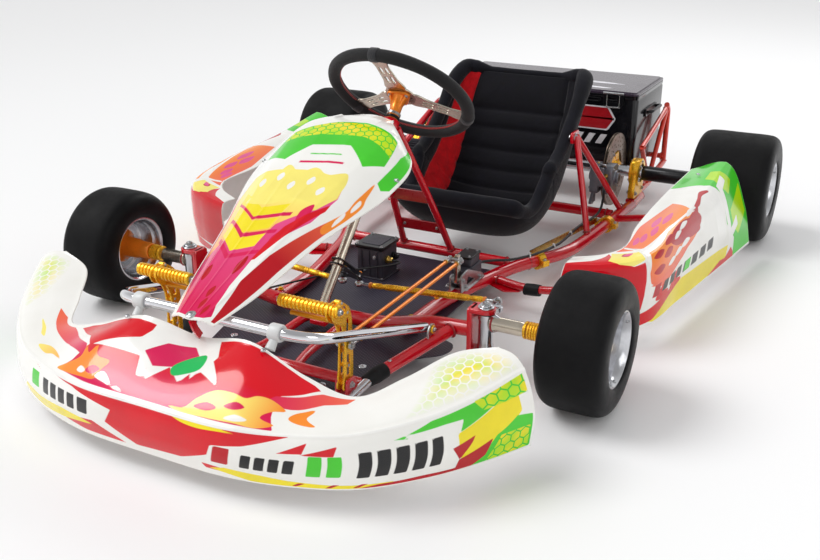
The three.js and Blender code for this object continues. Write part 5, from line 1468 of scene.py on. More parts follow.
def closed_skin(front, back):
    """Points and faces of the closed form between two grids of the same size."""
    rows, columns = front.shape[:2]
    count = rows * columns
    faces = grid_faces(rows, columns)
    faces += [tuple(count + i for i in reversed(f)) for f in faces]
    rim = rim_of(rows, columns)
    for k, (i, j) in enumerate(rim):
        p, q = rim[(k + 1) % len(rim)]
        a, b = i * columns + j, p * columns + q
        faces.append((b, a, count + a, count + b))
    return np.vstack([front.reshape(-1, 3), back.reshape(-1, 3)]), faces


def build_seat_shell():
    angles, _ = even_angles(61)
    outer, inner = seat_grid(0, 9, 110, angles, 0), seat_grid(0, 9, 110, angles, 4)
    verts, faces = closed_skin(inner, outer)
    shell = Piece("seat_bucket", nodes=["seat_shell"], slot="black_shell")
    shell.add("cover", (verts, faces))
    for y in (752, 776):
        shell.add("steel", bolt((239, y, 291), (-1, 0, 0), 7, "button"))
    shell.done(angle=50, cover=edge_cloth())


def puffed(name, verts, faces, pinned, cap):
    """The points after a cloth simulation with air inside, held where pinned and moved by at most the cap."""
    last_frame, pressure, scale = 20, 4.0, 0.001
    mesh = bpy.data.meshes.new(name)
    mesh.from_pydata((np.asarray(verts) * scale).tolist(), [], faces)
    mesh.update()
    form = bpy.data.objects.new(name, mesh)
    bpy.context.scene.collection.objects.link(form)
    form.vertex_groups.new(name="held").add([int(i) for i in np.flatnonzero(pinned)], 1.0, "REPLACE")
    cloth = form.modifiers.new("cloth", "CLOTH")
    settings = cloth.settings
    settings.quality = 4
    settings.mass = 0.25
    settings.tension_stiffness = settings.compression_stiffness = 12
    settings.shear_stiffness = 6
    settings.bending_stiffness = 0.35
    settings.vertex_group_mass = "held"
    settings.use_pressure = True
    settings.uniform_pressure_force = pressure
    settings.effector_weights.gravity = 0
    cloth.collision_settings.use_collision = False
    cloth.point_cache.frame_start, cloth.point_cache.frame_end = 1, last_frame
    scene = bpy.context.scene
    for frame_number in range(1, last_frame + 1):
        scene.frame_set(frame_number)
    settled = form.evaluated_get(bpy.context.evaluated_depsgraph_get())
    moved_to = np.empty(len(verts) * 3)
    settled.data.vertices.foreach_get("co", moved_to)
    moved_to = moved_to.reshape(-1, 3) / scale
    form.modifiers.remove(cloth)
    bpy.data.objects.remove(form)
    bpy.data.meshes.remove(mesh)
    scene.frame_set(1)
    shift = moved_to - verts
    far = np.linalg.norm(shift, axis=1)
    return verts + shift * np.minimum(1, cap / np.maximum(far, 1e-6))[:, None]


def stitches(points, normals):
    """Dashes of thread along a line of points, standing a little proud of the cloth."""
    lift, stitch, gap, radius = 0.7, 5.0, 2.4, 0.55
    steps = np.concatenate([[0], np.cumsum(np.linalg.norm(np.diff(points, axis=0), axis=1))])
    made, at = [], gap

    def spot(length, raise_by):
        p = np.array([np.interp(length, steps, points[:, k]) for k in range(3)])
        n = np.array([np.interp(length, steps, normals[:, k]) for k in range(3)])
        return p + n / max(np.linalg.norm(n), 1e-6) * raise_by

    while at + stitch < steps[-1]:
        dips = ((0, -0.4), (0.3, lift), (0.7, lift), (1, -0.4))
        made.append(tube([spot(at + stitch * share, rise) for share, rise in dips], radius, 6))
        at += stitch + gap
    return made


def build_seat_liner():
    rows, columns = 150, 97
    angles, share = even_angles(columns)
    stations = np.linspace(0.12, 8.92, rows)
    channel_rows = [int(np.argmin(np.abs(stations - c))) for c in CHANNELS]
    seam_columns = [int(np.argmin(np.abs(share - s))) for s in (-STRIPE_EDGE, -PANEL_EDGE, PANEL_EDGE,
            STRIPE_EDGE)]
    left, right = seam_columns[1], seam_columns[2]

    def depth(station):
        row = np.full(columns, 23.0)
        panel = np.abs(share) <= PANEL_EDGE
        for c in CHANNELS:
            row[panel] -= 9.0 * math.exp(-(((station - c) / 0.085) ** 2))
        for s in (-STRIPE_EDGE, -PANEL_EDGE, PANEL_EDGE, STRIPE_EDGE):
            row -= 6.5 * np.exp(-(((share - s) / 0.018) ** 2))
        row -= 9 * np.clip((np.abs(share) - 0.93) / 0.07, 0, 1)
        return row

    front = np.array([seat_spots(s, angles, depth(s)) for s in stations])
    back = seat_grid(0.12, 8.92, rows, angles, 6.0)
    verts, faces = closed_skin(front, back)
    held = np.zeros((rows, columns), bool)
    held[[0, -1], :] = True
    held[:, [0, -1]] = True
    for i in channel_rows:
        held[i, left:right + 1] = True
    for j in seam_columns:
        held[:, j] = True
    pinned = np.concatenate([held.ravel(), np.ones(rows * columns, bool)])
    settled = puffed("seat_liner_cloth", verts, faces, pinned, cap=12.0)
    band = np.concatenate([np.tile(share, rows), np.tile(share, rows)])
    height = np.concatenate([np.repeat(stations, columns), np.repeat(stations, columns)])
    liner = Piece("seat_liner", nodes=["seat_pad"], slot="seat_fabric")
    liner.add("fabric", (settled, faces), across=band, up=height)
    liner.done(subdivide=1, angle=70, fabric=seat_cloth())

    grid = settled[:rows * columns].reshape(rows, columns, 3)
    normals = normals_of(grid)
    if normals[rows // 2, columns // 2, 2] < 0:
        normals = -normals
    sewing = Piece("seat_seams", slot="seat_fabric")
    for i in channel_rows:
        sewing.add("rubber", stitches(grid[i, left:right + 1], normals[i, left:right + 1]))
    for j in seam_columns:
        sewing.add("rubber", stitches(grid[2:-2, j], normals[2:-2, j]))
        sewing.add("fabric_red" if abs(share[j]) > 0.7 else "fabric",
                   tube(grid[2:-2:2, j] + normals[2:-2:2, j] * 0.6, 1.5, 8))
    sewing.done()


def seat_cloth():
    """Knitted black cloth with a red stripe down each flank."""
    n = Nodes("seat_cloth")
    across = n.attribute("across")
    width = n.math("ABSOLUTE", across)
    hidden = n.math("MULTIPLY", n.math("GREATER_THAN", across, 0.0), n.math("GREATER_THAN",
            n.attribute("up"), 2.2))
    stripe = n.math("MULTIPLY", n.span(width, PANEL_EDGE, PANEL_EDGE + 0.006),
                    n.span(width, STRIPE_EDGE - 0.006, STRIPE_EDGE, 1, 0))
    stripe = n.math("MULTIPLY", stripe, n.math("SUBTRACT", 1.0, hidden))
    knit = n.wave(520)
    ribs = n.wave(610, "Z")
    weave = n.math("MULTIPLY", knit, ribs)
    tone = n.span(n.noise(38, 5, 0.65), 0.3, 0.7)
    black = n.mix(tone, linear((9, 9, 13)), linear((21, 20, 27)))
    red = n.mix(tone, linear((168, 8, 18)), linear((214, 20, 30)))
    fuzz = n.span(n.noise(900, 2), 0.45, 0.7, 0, 0.16)
    shade = n.mix(stripe, black, red)
    shade = n.mix(fuzz, shade, n.mix(stripe, linear((40, 40, 50)), linear((236, 60, 66))))
    n.bump(n.math("ADD", n.math("MULTIPLY", weave, 0.5), n.noise(260, 4)), 0.35, 0.0012)
    return n.set(Base_Color=shade, Roughness=n.span(tone, 0, 1, 0.82, 0.97), Metallic=0.0,
                 Sheen_Weight=0.12, Sheen_Roughness=0.4, Specular_IOR_Level=0.2)


def build_seat_roll():
    """The padded roll round the bucket's edge, fattest at its top corners."""
    edge = np.radians([-90.0, 90.0])
    inset = 10

    def spots(station, angles):
        return seat_spots(station, np.asarray(angles), np.full(len(angles), float(inset)))

    stations = np.linspace(0.25, 8.75, 46)
    right = [spots(s, edge[:1])[0] for s in stations]
    left = [spots(s, edge[1:])[0] for s in stations]
    angles, _ = even_angles(41)
    top = list(spots(9, angles)[4:-4])
    front = list(spots(0.0, angles)[4:-4])
    path = np.array(right + top + left[::-1] + front[::-1])
    for _ in range(3):
        path = (np.roll(path, 1, axis=0) + path * 2 + np.roll(path, -1, axis=0)) / 4
    steps = np.concatenate([[0], np.cumsum(np.linalg.norm(np.diff(np.vstack([path, path[:1]]), axis=0),
            axis=1))])
    even = np.linspace(0, steps[-1], 420, endpoint=False)
    loop = np.vstack([path, path[:1]])
    path = np.stack([np.interp(even, steps, loop[:, k]) for k in range(3)], -1)
    tangents = np.roll(path, -1, axis=0) - np.roll(path, 1, axis=0)
    tangents /= np.linalg.norm(tangents, axis=1)[:, None]
    middle = np.array([SEAT_X, 700, 200])
    sides = 24
    rng = np.random.default_rng(4)
    ripple = rng.normal(0, 1, (7, 2))
    verts = []
    for index, (p, t) in enumerate(zip(path, tangents)):
        out = p - middle
        out -= t * out.dot(t)
        out /= np.linalg.norm(out)
        other = np.cross(t, out)
        high = np.clip((p[2] - 330) / 60, 0, 1)
        low = np.clip((520 - p[1]) / 40, 0, 1)
        top_edge = high * np.clip((140 - abs(p[0] - SEAT_X)) / 40, 0, 1)
        radius = 16.5 + 5.5 * high + 4.5 * low - 12 * top_edge
        phase = index / len(path) * 2 * math.pi
        wrinkle = sum(a * math.sin((k * 7 + 5) * phase + b) for k, (a, b) in enumerate(ripple)) * 0.1
        for k in range(sides):
            angle = 2 * math.pi * k / sides
            reach = radius + wrinkle * (1 + 0.5 * math.cos(3 * angle))
            verts.append(p + out * math.cos(angle) * reach * 0.92 + other * math.sin(angle) * reach * 1.12)
    faces = grid_faces(len(path), sides, True, True, False)
    roll = Piece("seat_edge_roll", slot="seat_fabric")
    roll.add("fabric", (np.array(verts), faces))
    roll.done(subdivide=1, angle=80, fabric=edge_cloth())
    tag = Piece("seat_tag", slot="seat_fabric")
    spot = seat_spots(1.35, np.radians([86.0]), np.full(1, 27.0))[0]
    tag.add("fabric_red", block((spot[0] - 3, spot[1] - 9, spot[2] - 2), (spot[0] + 3, spot[1] + 9,
            spot[2] + 7)))
    tag.done(bevel=1.5)


def edge_cloth():
    n = Nodes("edge_cloth")
    tone = n.span(n.noise(30, 5, 0.6), 0.3, 0.7)
    shade = n.mix(tone, linear((11, 11, 15)), linear((24, 24, 32)))
    shade = n.mix(n.span(n.noise(700, 3), 0.48, 0.7, 0, 0.16), shade, linear((56, 56, 70)))
    weave = n.math("MULTIPLY", n.wave(480), n.wave(480, "Z"))
    n.bump(n.math("ADD", n.math("MULTIPLY", weave, 0.5), n.noise(220, 4)), 0.35, 0.0012)
    return n.set(Base_Color=shade, Roughness=n.span(tone, 0, 1, 0.8, 0.95), Metallic=0.0, Sheen_Weight=0.16,
                 Sheen_Roughness=0.35, Specular_IOR_Level=0.2)


build_seat_shell()
build_seat_liner()
build_seat_roll()


# ------------------------------------------------------------------ steering
def at_wheel(x, y, z):
    """A point in the steering wheel's own frame: x across, y down its face, z out of it."""
    slope = math.pi / 2 - COLUMN_SLOPE
    return WHEEL_CENTRE + np.array([x, y * math.cos(slope) + z * math.sin(slope),
            -y * math.sin(slope) + z * math.cos(slope)])


def on_wheel(form):
    verts, faces = form
    return np.array([at_wheel(*v) for v in np.asarray(verts, float)]), faces


def turned_about(points, degrees):
    c, s = math.cos(math.radians(degrees)), math.sin(math.radians(degrees))
    return [(x * c - y * s, x * s + y * c) for x, y in points]


def build_steering_wheel():
    ring, grip, steps, sides = 151.4, 13.6, 240, 28
    verts = []
    for i in range(steps):
        a = 2 * math.pi * i / steps
        thumb = sum(math.exp(-(((a - t + math.pi) % (2 * math.pi) - math.pi) / 0.16) ** 2)
                    for t in (math.radians(26), math.radians(154)))
        for k in range(sides):
            b = 2 * math.pi * k / sides
            inward = max(0, -math.cos(b))
            r = grip * (1 + 0.13 * thumb * inward) + 0.25 * math.sin(9 * a) * math.sin(2 * b)
            flat_inside = 1 - 0.06 * max(0, math.cos(2 * b - math.pi)) ** 2
            verts.append(((ring + r * math.cos(b) * flat_inside) * math.cos(a),
                          (ring + r * math.cos(b) * flat_inside) * math.sin(a), r * math.sin(b)))
    rim = Piece("steering_rim_cover", "steering", ["steering_rim"], "suede")
    rim.add("suede", on_wheel((np.array(verts), grid_faces(steps, sides, True, True))))
    seam = [((ring - grip - 0.1) * math.cos(a), (ring - grip - 0.1) * math.sin(a), 0)
            for a in np.linspace(0, 2 * math.pi, 200, endpoint=False)]
    stitched = []
    for i in range(0, 200):
        p = np.array(seam[i])
        q = np.array(seam[(i + 1) % 200])
        stitched.append(on_wheel(tube([p + (0, 0, 2.2), (p + q) / 2 * 0.996, q - (0, 0, 2.2)], 0.6, 6)))
    rim.add("thread", stitched)
    for a in (math.radians(26), math.radians(154), math.radians(-90)):
        centre = np.array([ring * math.cos(a), ring * math.sin(a), 0])
        tangent = np.array([-math.sin(a), math.cos(a), 0])
        rim.add("fabric", on_wheel(lathe([(grip + 0.9, -9), (grip + 1.5, -7), (grip + 1.5, 7),
                (grip + 0.9, 9), (grip - 1, 9), (grip - 1, -9)], centre, tangent, 32)))
    rim.done(angle=60)

    reach = ring - grip - 0.8
    spokes = Piece("steering_spokes_milled", "steering", ["steering_spokes"], "polished_alloy")
    edge = [(19, 20), (25, 34), (17, 60), (14.5, reach - 26), (19, reach - 6), (19, reach), (-19, reach),
            (-19, reach - 6), (-14.5, reach - 26), (-17, 60), (-25, 34), (-19, 20)]
    holes = [rectangle(x - 3.1, y - 12, x + 3.1, y + 12, 3, 3) for x in (-6.4, 6.4) for y in (62, 96)]
    for degrees in (180, -64, 64):
        outlines = [turned_about(rounded(edge, 7, 4), degrees)] + [turned_about(hole, degrees)
                for hole in holes]
        spokes.add("nickel", on_wheel(plate(outlines, -2, 2, soften=0.5)))
        for x in (-9, 9):
            (sx, sy), = turned_about([(x, reach - 9)], degrees)
            spokes.add("steel", [on_wheel(f) for f in bolt((sx, sy, 2), (0, 0, 1), 2.6, "button")])
        rib = turned_about([(0, 30), (0, 44)], degrees)
        spokes.add("nickel", on_wheel(bar((*rib[0], 2.2), (*rib[1], 2.2), 1.4, 8)))
    spokes.add("nickel", on_wheel(plate([circle(0, 0, 35, 40), circle(0, 0, 9, 20)], -2, 2, soften=0.5)))
    spokes.add("black", on_wheel(lathe([(0, -2), (8.6, -2), (8.6, 1), (6, 1.6), (0, 1.8)], (0, 0, 0),
            (0, 0, 1), 24)))
    spokes.done()

    hub = Piece("steering_hub_milled", "steering", ["steering_hub"], "orange_alloy")
    flange = [p for k in range(3) for p in turned_about([(-7, 27.5), (0, 30.5), (7, 27.5), (17, 13)],
            -120 * k)]
    hub.add("orange", on_wheel(plate([rounded(flange, 6, 4), circle(0, 0, 8, 20)], -7.4, -2.4, soften=0.6)))
    hub.add("orange", on_wheel(lathe([(0, -60), (13.4, -60), (13.9, -58), (13.9, -44), (12.6, -42),
            (12.6, -26), (15.5, -13), (18, -7), (0, -7)], (0, 0, 0), (0, 0, 1), 40)))
    hub.add("steel", on_wheel(lathe([(13.2, -52), (15.2, -51.4), (15.2, -45.6), (13.2, -45)], (0, 0, 0),
            (0, 0, 1), 32)))
    hub.add("black", on_wheel(lathe([(13, -60), (15.4, -59.4), (15.4, -54), (13, -53.4)], (0, 0, 0),
            (0, 0, 1), 32)))
    for k in range(3):
        (x, y), = turned_about([(0, 23)], 120 * k)
        (wx, wy), = turned_about([(0, 12)], 120 * k)
        hub.add("orange", on_wheel(tube([(wx * 0.8, wy * 0.8, -40), (wx * 1.2, wy * 1.2, -20),
                (x * 0.95, y * 0.95, -8)], [2.2, 2.8, 3.4], 12)))
        hub.add("steel", [on_wheel(f) for f in bolt((x, y, -2.3 + 4.4), (0, 0, 1), 4.2, "cap")])
        hub.add("steel", [on_wheel(f) for f in bolt((x, y, -7.4), (0, 0, -1), 3.6, "nut")])
    hub.done(bevel=0.3)

    column = Piece("steering_column_tube", "steering", ["steering_column"], "polished_alloy")
    column.add("nickel", on_wheel(lathe([(0, -504), (9, -504), (10, -502), (10, -62), (9.2, -60.6),
            (0, -60.6)], (0, 0, 0), (0, 0, 1), 32)))
    column.add("steel", on_wheel(lathe([(9.5, -72), (13.6, -71), (13.6, -63), (9.5, -62)], (0, 0, 0),
            (0, 0, 1), 32)))
    column.add("steel", on_wheel(bar((-14, 0, -67), (14, 0, -67), 2.4, 12)))
    down, far = 400, 62
    outline = rounded([(-13, -15), (13, -15), (27, far - 8), (30, far + 2), (22, far + 10), (0, far - 4),
                       (-22, far + 10), (-30, far + 2), (-27, far - 8)], 6, 4)
    window = rounded([(-5, 20), (5, 20), (9, 40), (0, 46), (-9, 40)], 3, 3)
    for level in (-6.5, 4.0):
        column.add("black", on_wheel(plate([outline, window, circle(0, 0, 9.6, 24)], -down + level,
                -down + level + 2.6, soften=0.4)))
    column.add("nickel", on_wheel(disc((0, 0, 0), (0, 0, 1), 14.6, -down - 8, -down - 6.6, 9.6)),
               on_wheel(disc((0, 0, 0), (0, 0, 1), 13.4, -down + 6.7, -down + 9, 9.6)))
    for x in (-20, 20):
        column.add("orange", [on_wheel(f) for f in bolt((x, far, -down + 6.6), (0, 0, 1), 4.4, "cap")])
        column.add("steel", on_wheel(bar((x, far, -down - 6), (x, far, -down + 6), 3.3, 12)))
    column.add("gold", [on_wheel(f) for f in bolt((0, 34, -down + 6.6), (0, 0, 1), 3.4, "nut")])
    for t in (-498, -492):
        column.add("steel", on_wheel(torus((0, 0, t), (0, 0, 1), 10.2, 0.7, 28, 8)))
    column.done(bevel=0.2)


def build_spindles():
    for name, side in SIDES:
        flip = on_side(side)
        x0, z0 = KINGPIN_X, FRONT_AXLE_Z
        low, high = 66.4 - z0, 145.6 - z0
        spindle = Piece(f"spindle_{name}_forged", f"spindle_{name}", [f"spindle_{name}"], "polished_alloy")
        c = (x0, 0, z0)
        spindle.add("alloy", flip(lathe([(6.4, low), (13.6, low), (15.4, low + 2), (15.4, low + 12),
                (13.8, low + 15), (13.8, high - 15), (15.4, high - 12), (15.4, high - 2), (13.6, high),
                (6.4, high)], c, (0, 0, 1), 40)))
        spindle.add("nickel", flip(lathe([(0, 12), (15.4, 12), (15.4, 20), (13.9, 24), (13.9, 70),
                (12.6, 77), (11, 79), (11, 85.5), (8.6, 86.2), (8.6, 240), (7.2, 242.5), (0, 242.5)], c,
                (1, 0, 0), 40)))
        spindle.add("alloy", flip(tube([(x0 + 4, 0, z0 + 14), (x0 + 16, 0, z0 + 13), (x0 + 30, 0, z0 + 9)],
                [7, 6, 4], 16)), flip(tube([(x0 + 4, 0, z0 - 14), (x0 + 16, 0, z0 - 13),
                (x0 + 30, 0, z0 - 9)], [7, 6, 4], 16)))
        eye = (329, 103, 107)
        arm = bent([(x0 - 1, 12, z0), (x0 - 12, 60, z0 - 6), (329, 96, 107)], 30, 8)
        section = [(1.1, 0.75), (0.75, 1), (-0.75, 1), (-1.1, 0.75), (-1.1, -0.75), (-0.75, -1), (0.75, -1),
                   (1.1, -0.75)]
        spindle.add("alloy", flip(tube(arm, 6.2, 20, section)))
        spindle.add("alloy", flip(disc(eye, (0, 0, 1), 11, -4.6, 4.6)))
        spindle.add("steel", *[flip(f) for f in bolt((329, 103, 102.4), (0, 0, -1), 5, "nut")])
        spindle.add("weld", flip(weld((x0, 12, z0), (-0.2, 1, 0), 7)),
                    flip(weld((x0 + 15.4, 0, z0), (1, 0, 0), 14.6)))
        spindle.add("gold", flip(disc(c, (1, 0, 0), 16.6, 78.5, 84, 11.2)))
        for level in (low + 0.1, high - 3.1):
            spindle.add("rubber", flip(lathe([(15.0, 0), (16.2, 0.6), (16.2, 2.4), (15.0, 3)],
                    (x0, 0, z0 + level), (0, 0, 1), 36)))
        spindle.done(bevel=0.2)


def build_tie_rods():
    inner = down_column(400)
    end = np.array([20, inner[1] + 62 * math.sin(COLUMN_SLOPE), inner[2] - 62 * math.cos(COLUMN_SLOPE) - 17])
    outer = np.array([329, 103, 122.5])
    along = outer - end
    length = np.linalg.norm(along)
    unit = along / length
    for name, side in SIDES:
        flip = on_side(side)
        rod = Piece(f"tie_rod_{name}_turned", f"tie_rod_{name}", [f"tie_rod_{name}"], "gold_alloy")
        a, b = length * 0.1, length * 0.9
        profile = [(0, a), (4.6, a), (6.2, a + 3), (6.2, a + 22), (5, a + 24), (5, a + 28), (6.4, a + 32)]
        for k in range(3):
            t = a + 60 + k * (b - a - 120) / 2
            profile += [(6.9, t - 7), (5.9, t - 5.5), (6.9, t - 4), (6.9, t - 1.5), (5.9, t),
                        (6.9, t + 1.5), (6.9, t + 4), (5.9, t + 5.5), (6.9, t + 7)]
        profile += [(6.4, b - 32), (5, b - 28), (5, b - 24), (6.2, b - 22), (6.2, b - 3), (4.6, b), (0, b)]
        rod.add("gold", flip(lathe(profile, end, unit, 28)))
        for t, away in ((a, -1), (b, 1)):
            rod.add("steel", flip(bar(end + unit * t, end + unit * (t + away * length * 0.075), 3.5, 16)))
            rod.add("orange", flip(lathe([(3, 0), (6.6, 0), (6.6, 5), (3, 5)],
                    end + unit * (t + away * 1.2 - (5 if away < 0 else 0)), unit, 6)))
        for spot in (end, outer):
            rod.add("steel", flip(lathe([(5.4, -4.2), (8.6, -4.2), (9.2, -3), (9.2, 3), (8.6, 4.2),
                    (5.4, 4.2)], spot, (0, 0, 1), 32)))
            rod.add("brass", flip(lathe([(3.5, -5), (4.6, -5), (5.4, -2.4), (5.7, 0), (5.4, 2.4), (4.6, 5),
                    (3.5, 5)], spot, (0, 0, 1), 28)))
            rod.add("steel", *[flip(f) for f in bolt(spot + (0, 0, 5), (0, 0, 1), 4.3, "nut")])
        rod.done()


# ------------------------------------------------------------------ pedals and brakes
PEDAL_X, PEDAL_HALF = 190, 8


def pedal_forms(first, last):
    """A pedal on the kart's left, as (material, form) pairs: two machined cheeks, the spacers between them,
    and the ribbed bar that the foot presses, from first to last."""
    made = []
    roller = np.array([0, -276, 226])
    cheek = rounded([(-266, 70), (-250, 63), (-236, 70), (-231, 96), (-229, 150), (-231, 200), (-238, 222),
                     (-262, 240), (-286, 236), (-292, 222), (-286, 208), (-264, 196), (-256, 176),
                     (-253, 150), (-258, 100)], 7, 4)
    windows = ([(-251, 172), (-240, 170), (-238, 196), (-247, 206)],
               [(-266, 210), (-250, 214), (-246, 224), (-262, 231)],
               [(-252, 92), (-242, 92), (-240, 134), (-250, 134)])
    holes = [circle(-250, 78, 4.6, 18), circle(-243, 150, 4.4, 16), *[rounded(window, 3, 3)
            for window in windows]]
    for low in (PEDAL_X - PEDAL_HALF, PEDAL_X + PEDAL_HALF - 3.4):
        made.append(("gold", plate([cheek, *holes], low, low + 3.4, (1, 2, 0), soften=0.5)))
    for y, z in ((-250, 78), (-246, 112), (-246, 162), (-244, 212), (-262, 236)):
        spacer = disc((PEDAL_X, y, z), (1, 0, 0), 5.2, -PEDAL_HALF + 3, PEDAL_HALF - 3, 0, 20, 0.3)
        made.append(("gold", spacer))
        for way in (-1, 1):
            if (y, z) != (-250, 78):
                screw = bolt((PEDAL_X + way * PEDAL_HALF, y, z), (way, 0, 0), 2.9, "button")
                made += [("steel", form) for form in screw]
    length = last - first
    count = 13
    pitch = (length - 16) / count
    profile = [(0, 0), (9.6, 0), (11.6, 1.6), (11.6, 7), (9.4, 8)]
    for k in range(count):
        t = 8 + k * pitch
        profile += [(9.4, t + 0.5), (12, t + 1.4), (12, t + pitch - 3.2), (9.4, t + pitch - 2.2)]
    profile += [(9.4, length - 8), (11.6, length - 7), (11.6, length - 1.6), (9.6, length), (0, length)]
    made.append(("gold", lathe(profile, roller + (first, 0, 0), (1, 0, 0), 32)))
    for end, way in ((last, 1), (first, -1)):
        made += [("steel", form) for form in bolt(roller + (end, 0, 0), (way, 0, 0), 5.4, "cap")]
    # the strut is drawn in the darker copy of the gold, which is painted shade
    strut = bar(roller + (first + 12, 14, -27), roller + (min(last, PEDAL_X - 8), 14, -27), 4.4, 16)
    return made + [("gold_dark", strut)]


def build_pedals():
    for name, first, last, side in (("brake", 82, 202, 1), ("throttle", 112, 232, -1)):
        piece = Piece(f"{name}_pedal_machined", f"{name}_pedal", [f"{name}_pedal"], "gold_alloy")
        for material, form in pedal_forms(first, last):
            piece.add(material, on_side(side)(form))
        piece.done(bevel=0.15)


def build_brake_linkage():
    pin, lever = np.array([PEDAL_X, -243.0, 150.0]), np.array([190.0, 214.0, 151.0])
    side = PEDAL_HALF + 4
    rods = Piece("brake_rods", "brake_rod", ["brake_rod"], "orange_alloy")
    for offset in (-side, side):
        a, b = pin + (offset, 0, 0), lever + (offset, 0, 0)
        unit = (b - a) / np.linalg.norm(b - a)
        rods.add("orange", bar(a + unit * 30, b - unit * 30, 3.6, 18))
        for spot, way in ((a, 1), (b, -1)):
            rods.add("steel", bar(spot + unit * way * 6, spot + unit * way * 34, 2.7, 14))
            eye = spot if way > 0 else spot - (0, 14, 0)
            rods.add("steel", lathe([(3.4, -3), (7, -3), (7.6, -2), (7.6, 2), (7, 3), (3.4, 3)], eye,
                                    (1, 0, 0), 28))
            nut = spot + unit * way * 32 - (unit * 4 if way < 0 else 0)
            rods.add("brass", lathe([(2.9, 0), (5.8, 0), (5.8, 4), (2.9, 4)], nut, unit, 6))
    rods.add("steel", bar(pin - (side + 3, 0, 0), pin + (side + 3, 0, 0), 3.9, 18),
             bolt(pin + (side + 3, 0, 0), (1, 0, 0), 4, "cap"))
    clevis = lever - (0, 14, 0)
    rods.add("steel", bar(clevis - (side + 3, 0, 0), clevis + (side + 3, 0, 0), 3.9, 18),
             bolt(clevis + (side + 3, 0, 0), (1, 0, 0), 4, "nut"))
    rods.done()

    arm = Piece("brake_lever_bar", "brake_lever", ["brake_lever"], "polished_alloy")
    outline = rounded([(206, 94), (222, 94), (222, 120), (219, 158), (209, 160), (206, 130)], 4, 4)
    arm.add("nickel", plate([outline, circle(214, 101, 4.4, 18), circle(214, 124, 2.6, 14)], 185, 193,
                            (1, 2, 0), soften=0.6))
    arm.add("brass", bolt((185, 213, 150), (-1, 0, 0), 3.4, "nut"))
    arm.add("steel", bar((184, 214, 139), (194, 214, 139), 2.6, 12), bolt((194, 214, 139), (1, 0, 0), 2.8,
            "cap"))
    arm.done()

    master = Piece("brake_master_cylinder", "root", ["brake_master"], "grey_cast")
    master.add("dark_cast", plate([rounded([(162, 238), (196, 238), (196, 262), (199, 268), (199, 320),
            (159, 320), (159, 268), (162, 262)], 4, 3)], 75, 111, soften=1.2))
    master.add("dark_cast", plate([rectangle(162, 264, 196, 316, 6, 4)], 111, 129, soften=1.5))
    master.add("black", plate([rectangle(160, 262, 198, 318, 6, 4)], 129, 134, soften=0.8))
    for x, y in ((167, 269), (191, 269), (167, 311), (191, 311)):
        master.add("steel", bolt((x, y, 134), (0, 0, 1), 2.6, "cap"))
    base_holes = [circle(x, y, 3, 12) for x in (157, 201) for y in (233, 319)]
    master.add("steel", plate([rectangle(153, 227, 205, 325, 5, 3), *base_holes], 71.4, 75, soften=0.5))
    for x, y in ((157, 234), (201, 234), (157, 318), (201, 318)):
        master.add("steel", bolt((x, y, 75), (0, 0, 1), 3.2, "cap"))
    side_plate = rounded([(206, 74), (318, 76), (316, 84), (240, 118), (206, 112)], 6, 4)
    master.add("steel", plate([side_plate, circle(214, 101, 4, 14),
            rounded([(232, 84), (276, 84), (238, 102)], 4, 3)], 199, 203, (1, 2, 0), soften=0.4))
    for y, z in ((214, 101), (300, 82), (226, 82)):
        master.add("steel", bolt((203, y, z), (1, 0, 0), 4, "cap"))
    master.add("steel", plate([rounded([(204, 74), (240, 74), (240, 96), (222, 110), (206, 110)], 6, 4)],
            174, 178, (1, 2, 0), soften=0.4))
    master.add("steel", bar((174, 214, 101), (203, 214, 101), 3.9, 16))
    master.add("alloy", disc((179, 238, 92), (0, -1, 0), 10, 0, 8), bar((183, 228, 94), (182, 238, 93), 3.4,
            14))
    master.add("rubber", lathe([(4, 0), (9, 0), (7.5, 3), (9, 6), (7, 9), (4, 9)], (179, 232, 92),
            (0, 1, 0), 24))
    master.add("brass", bolt((179, 320, 92), (0, 1, 0), 6, "nut"))
    master.done(bevel=0.2)


def build_throttle_box():
    cx, cy = -56, 301
    box = Piece("throttle_box_cast", "root", ["throttle_box"], "grey_cast")
    box.add("dark_cast", plate([rectangle(cx - 33, cy - 37, cx + 33, cy + 37, 6, 4)], 39.8, 110.6,
            soften=1.2))
    box.add("dark_cast", plate([rectangle(cx - 38, cy - 41, cx + 38, cy + 41, 4, 3)], 39.8, 43.4, soften=0.5))
    box.add("black", plate([rectangle(cx - 37, cy - 41, cx + 37, cy + 41, 6, 4)], 110.8, 119.8, soften=1.2))
    box.add("dark_cast", plate([rectangle(cx - 24, cy - 28, cx + 24, cy + 28, 5, 3)], 119, 121.2, soften=0.8))
    for x in (cx - 31, cx + 31):
        for y in (cy - 35, cy + 35):
            box.add("steel", bolt((x, y, 119.8), (0, 0, 1), 3, "cap"), bolt((x, y, 43.4), (0, 0, 1), 2.6,
                    "button"))
    for y, metal in ((-14, "brass"), (14, "black")):
        spot = (cx + 33, cy + y, 84)
        box.add(metal, disc(spot, (1, 0, 0), 9, 0, 6), lathe([(0, 5), (6.6, 5), (6.6, 13), (5, 15),
                (0, 15)], spot, (1, 0, 0), 6))
    for x in (cx - 20, cx, cx + 20):
        box.add("dark_cast", block((x - 1.5, cy - 39.5, 48), (x + 1.5, cy - 36.5, 106)))
    box.add("steel", bolt((cx + 14, cy - 37, 92), (0, -1, 0), 4, "cap"), bolt((cx - 12, cy - 37, 60),
            (0, -1, 0), 3, "cap"))
    box.done(bevel=0.3)


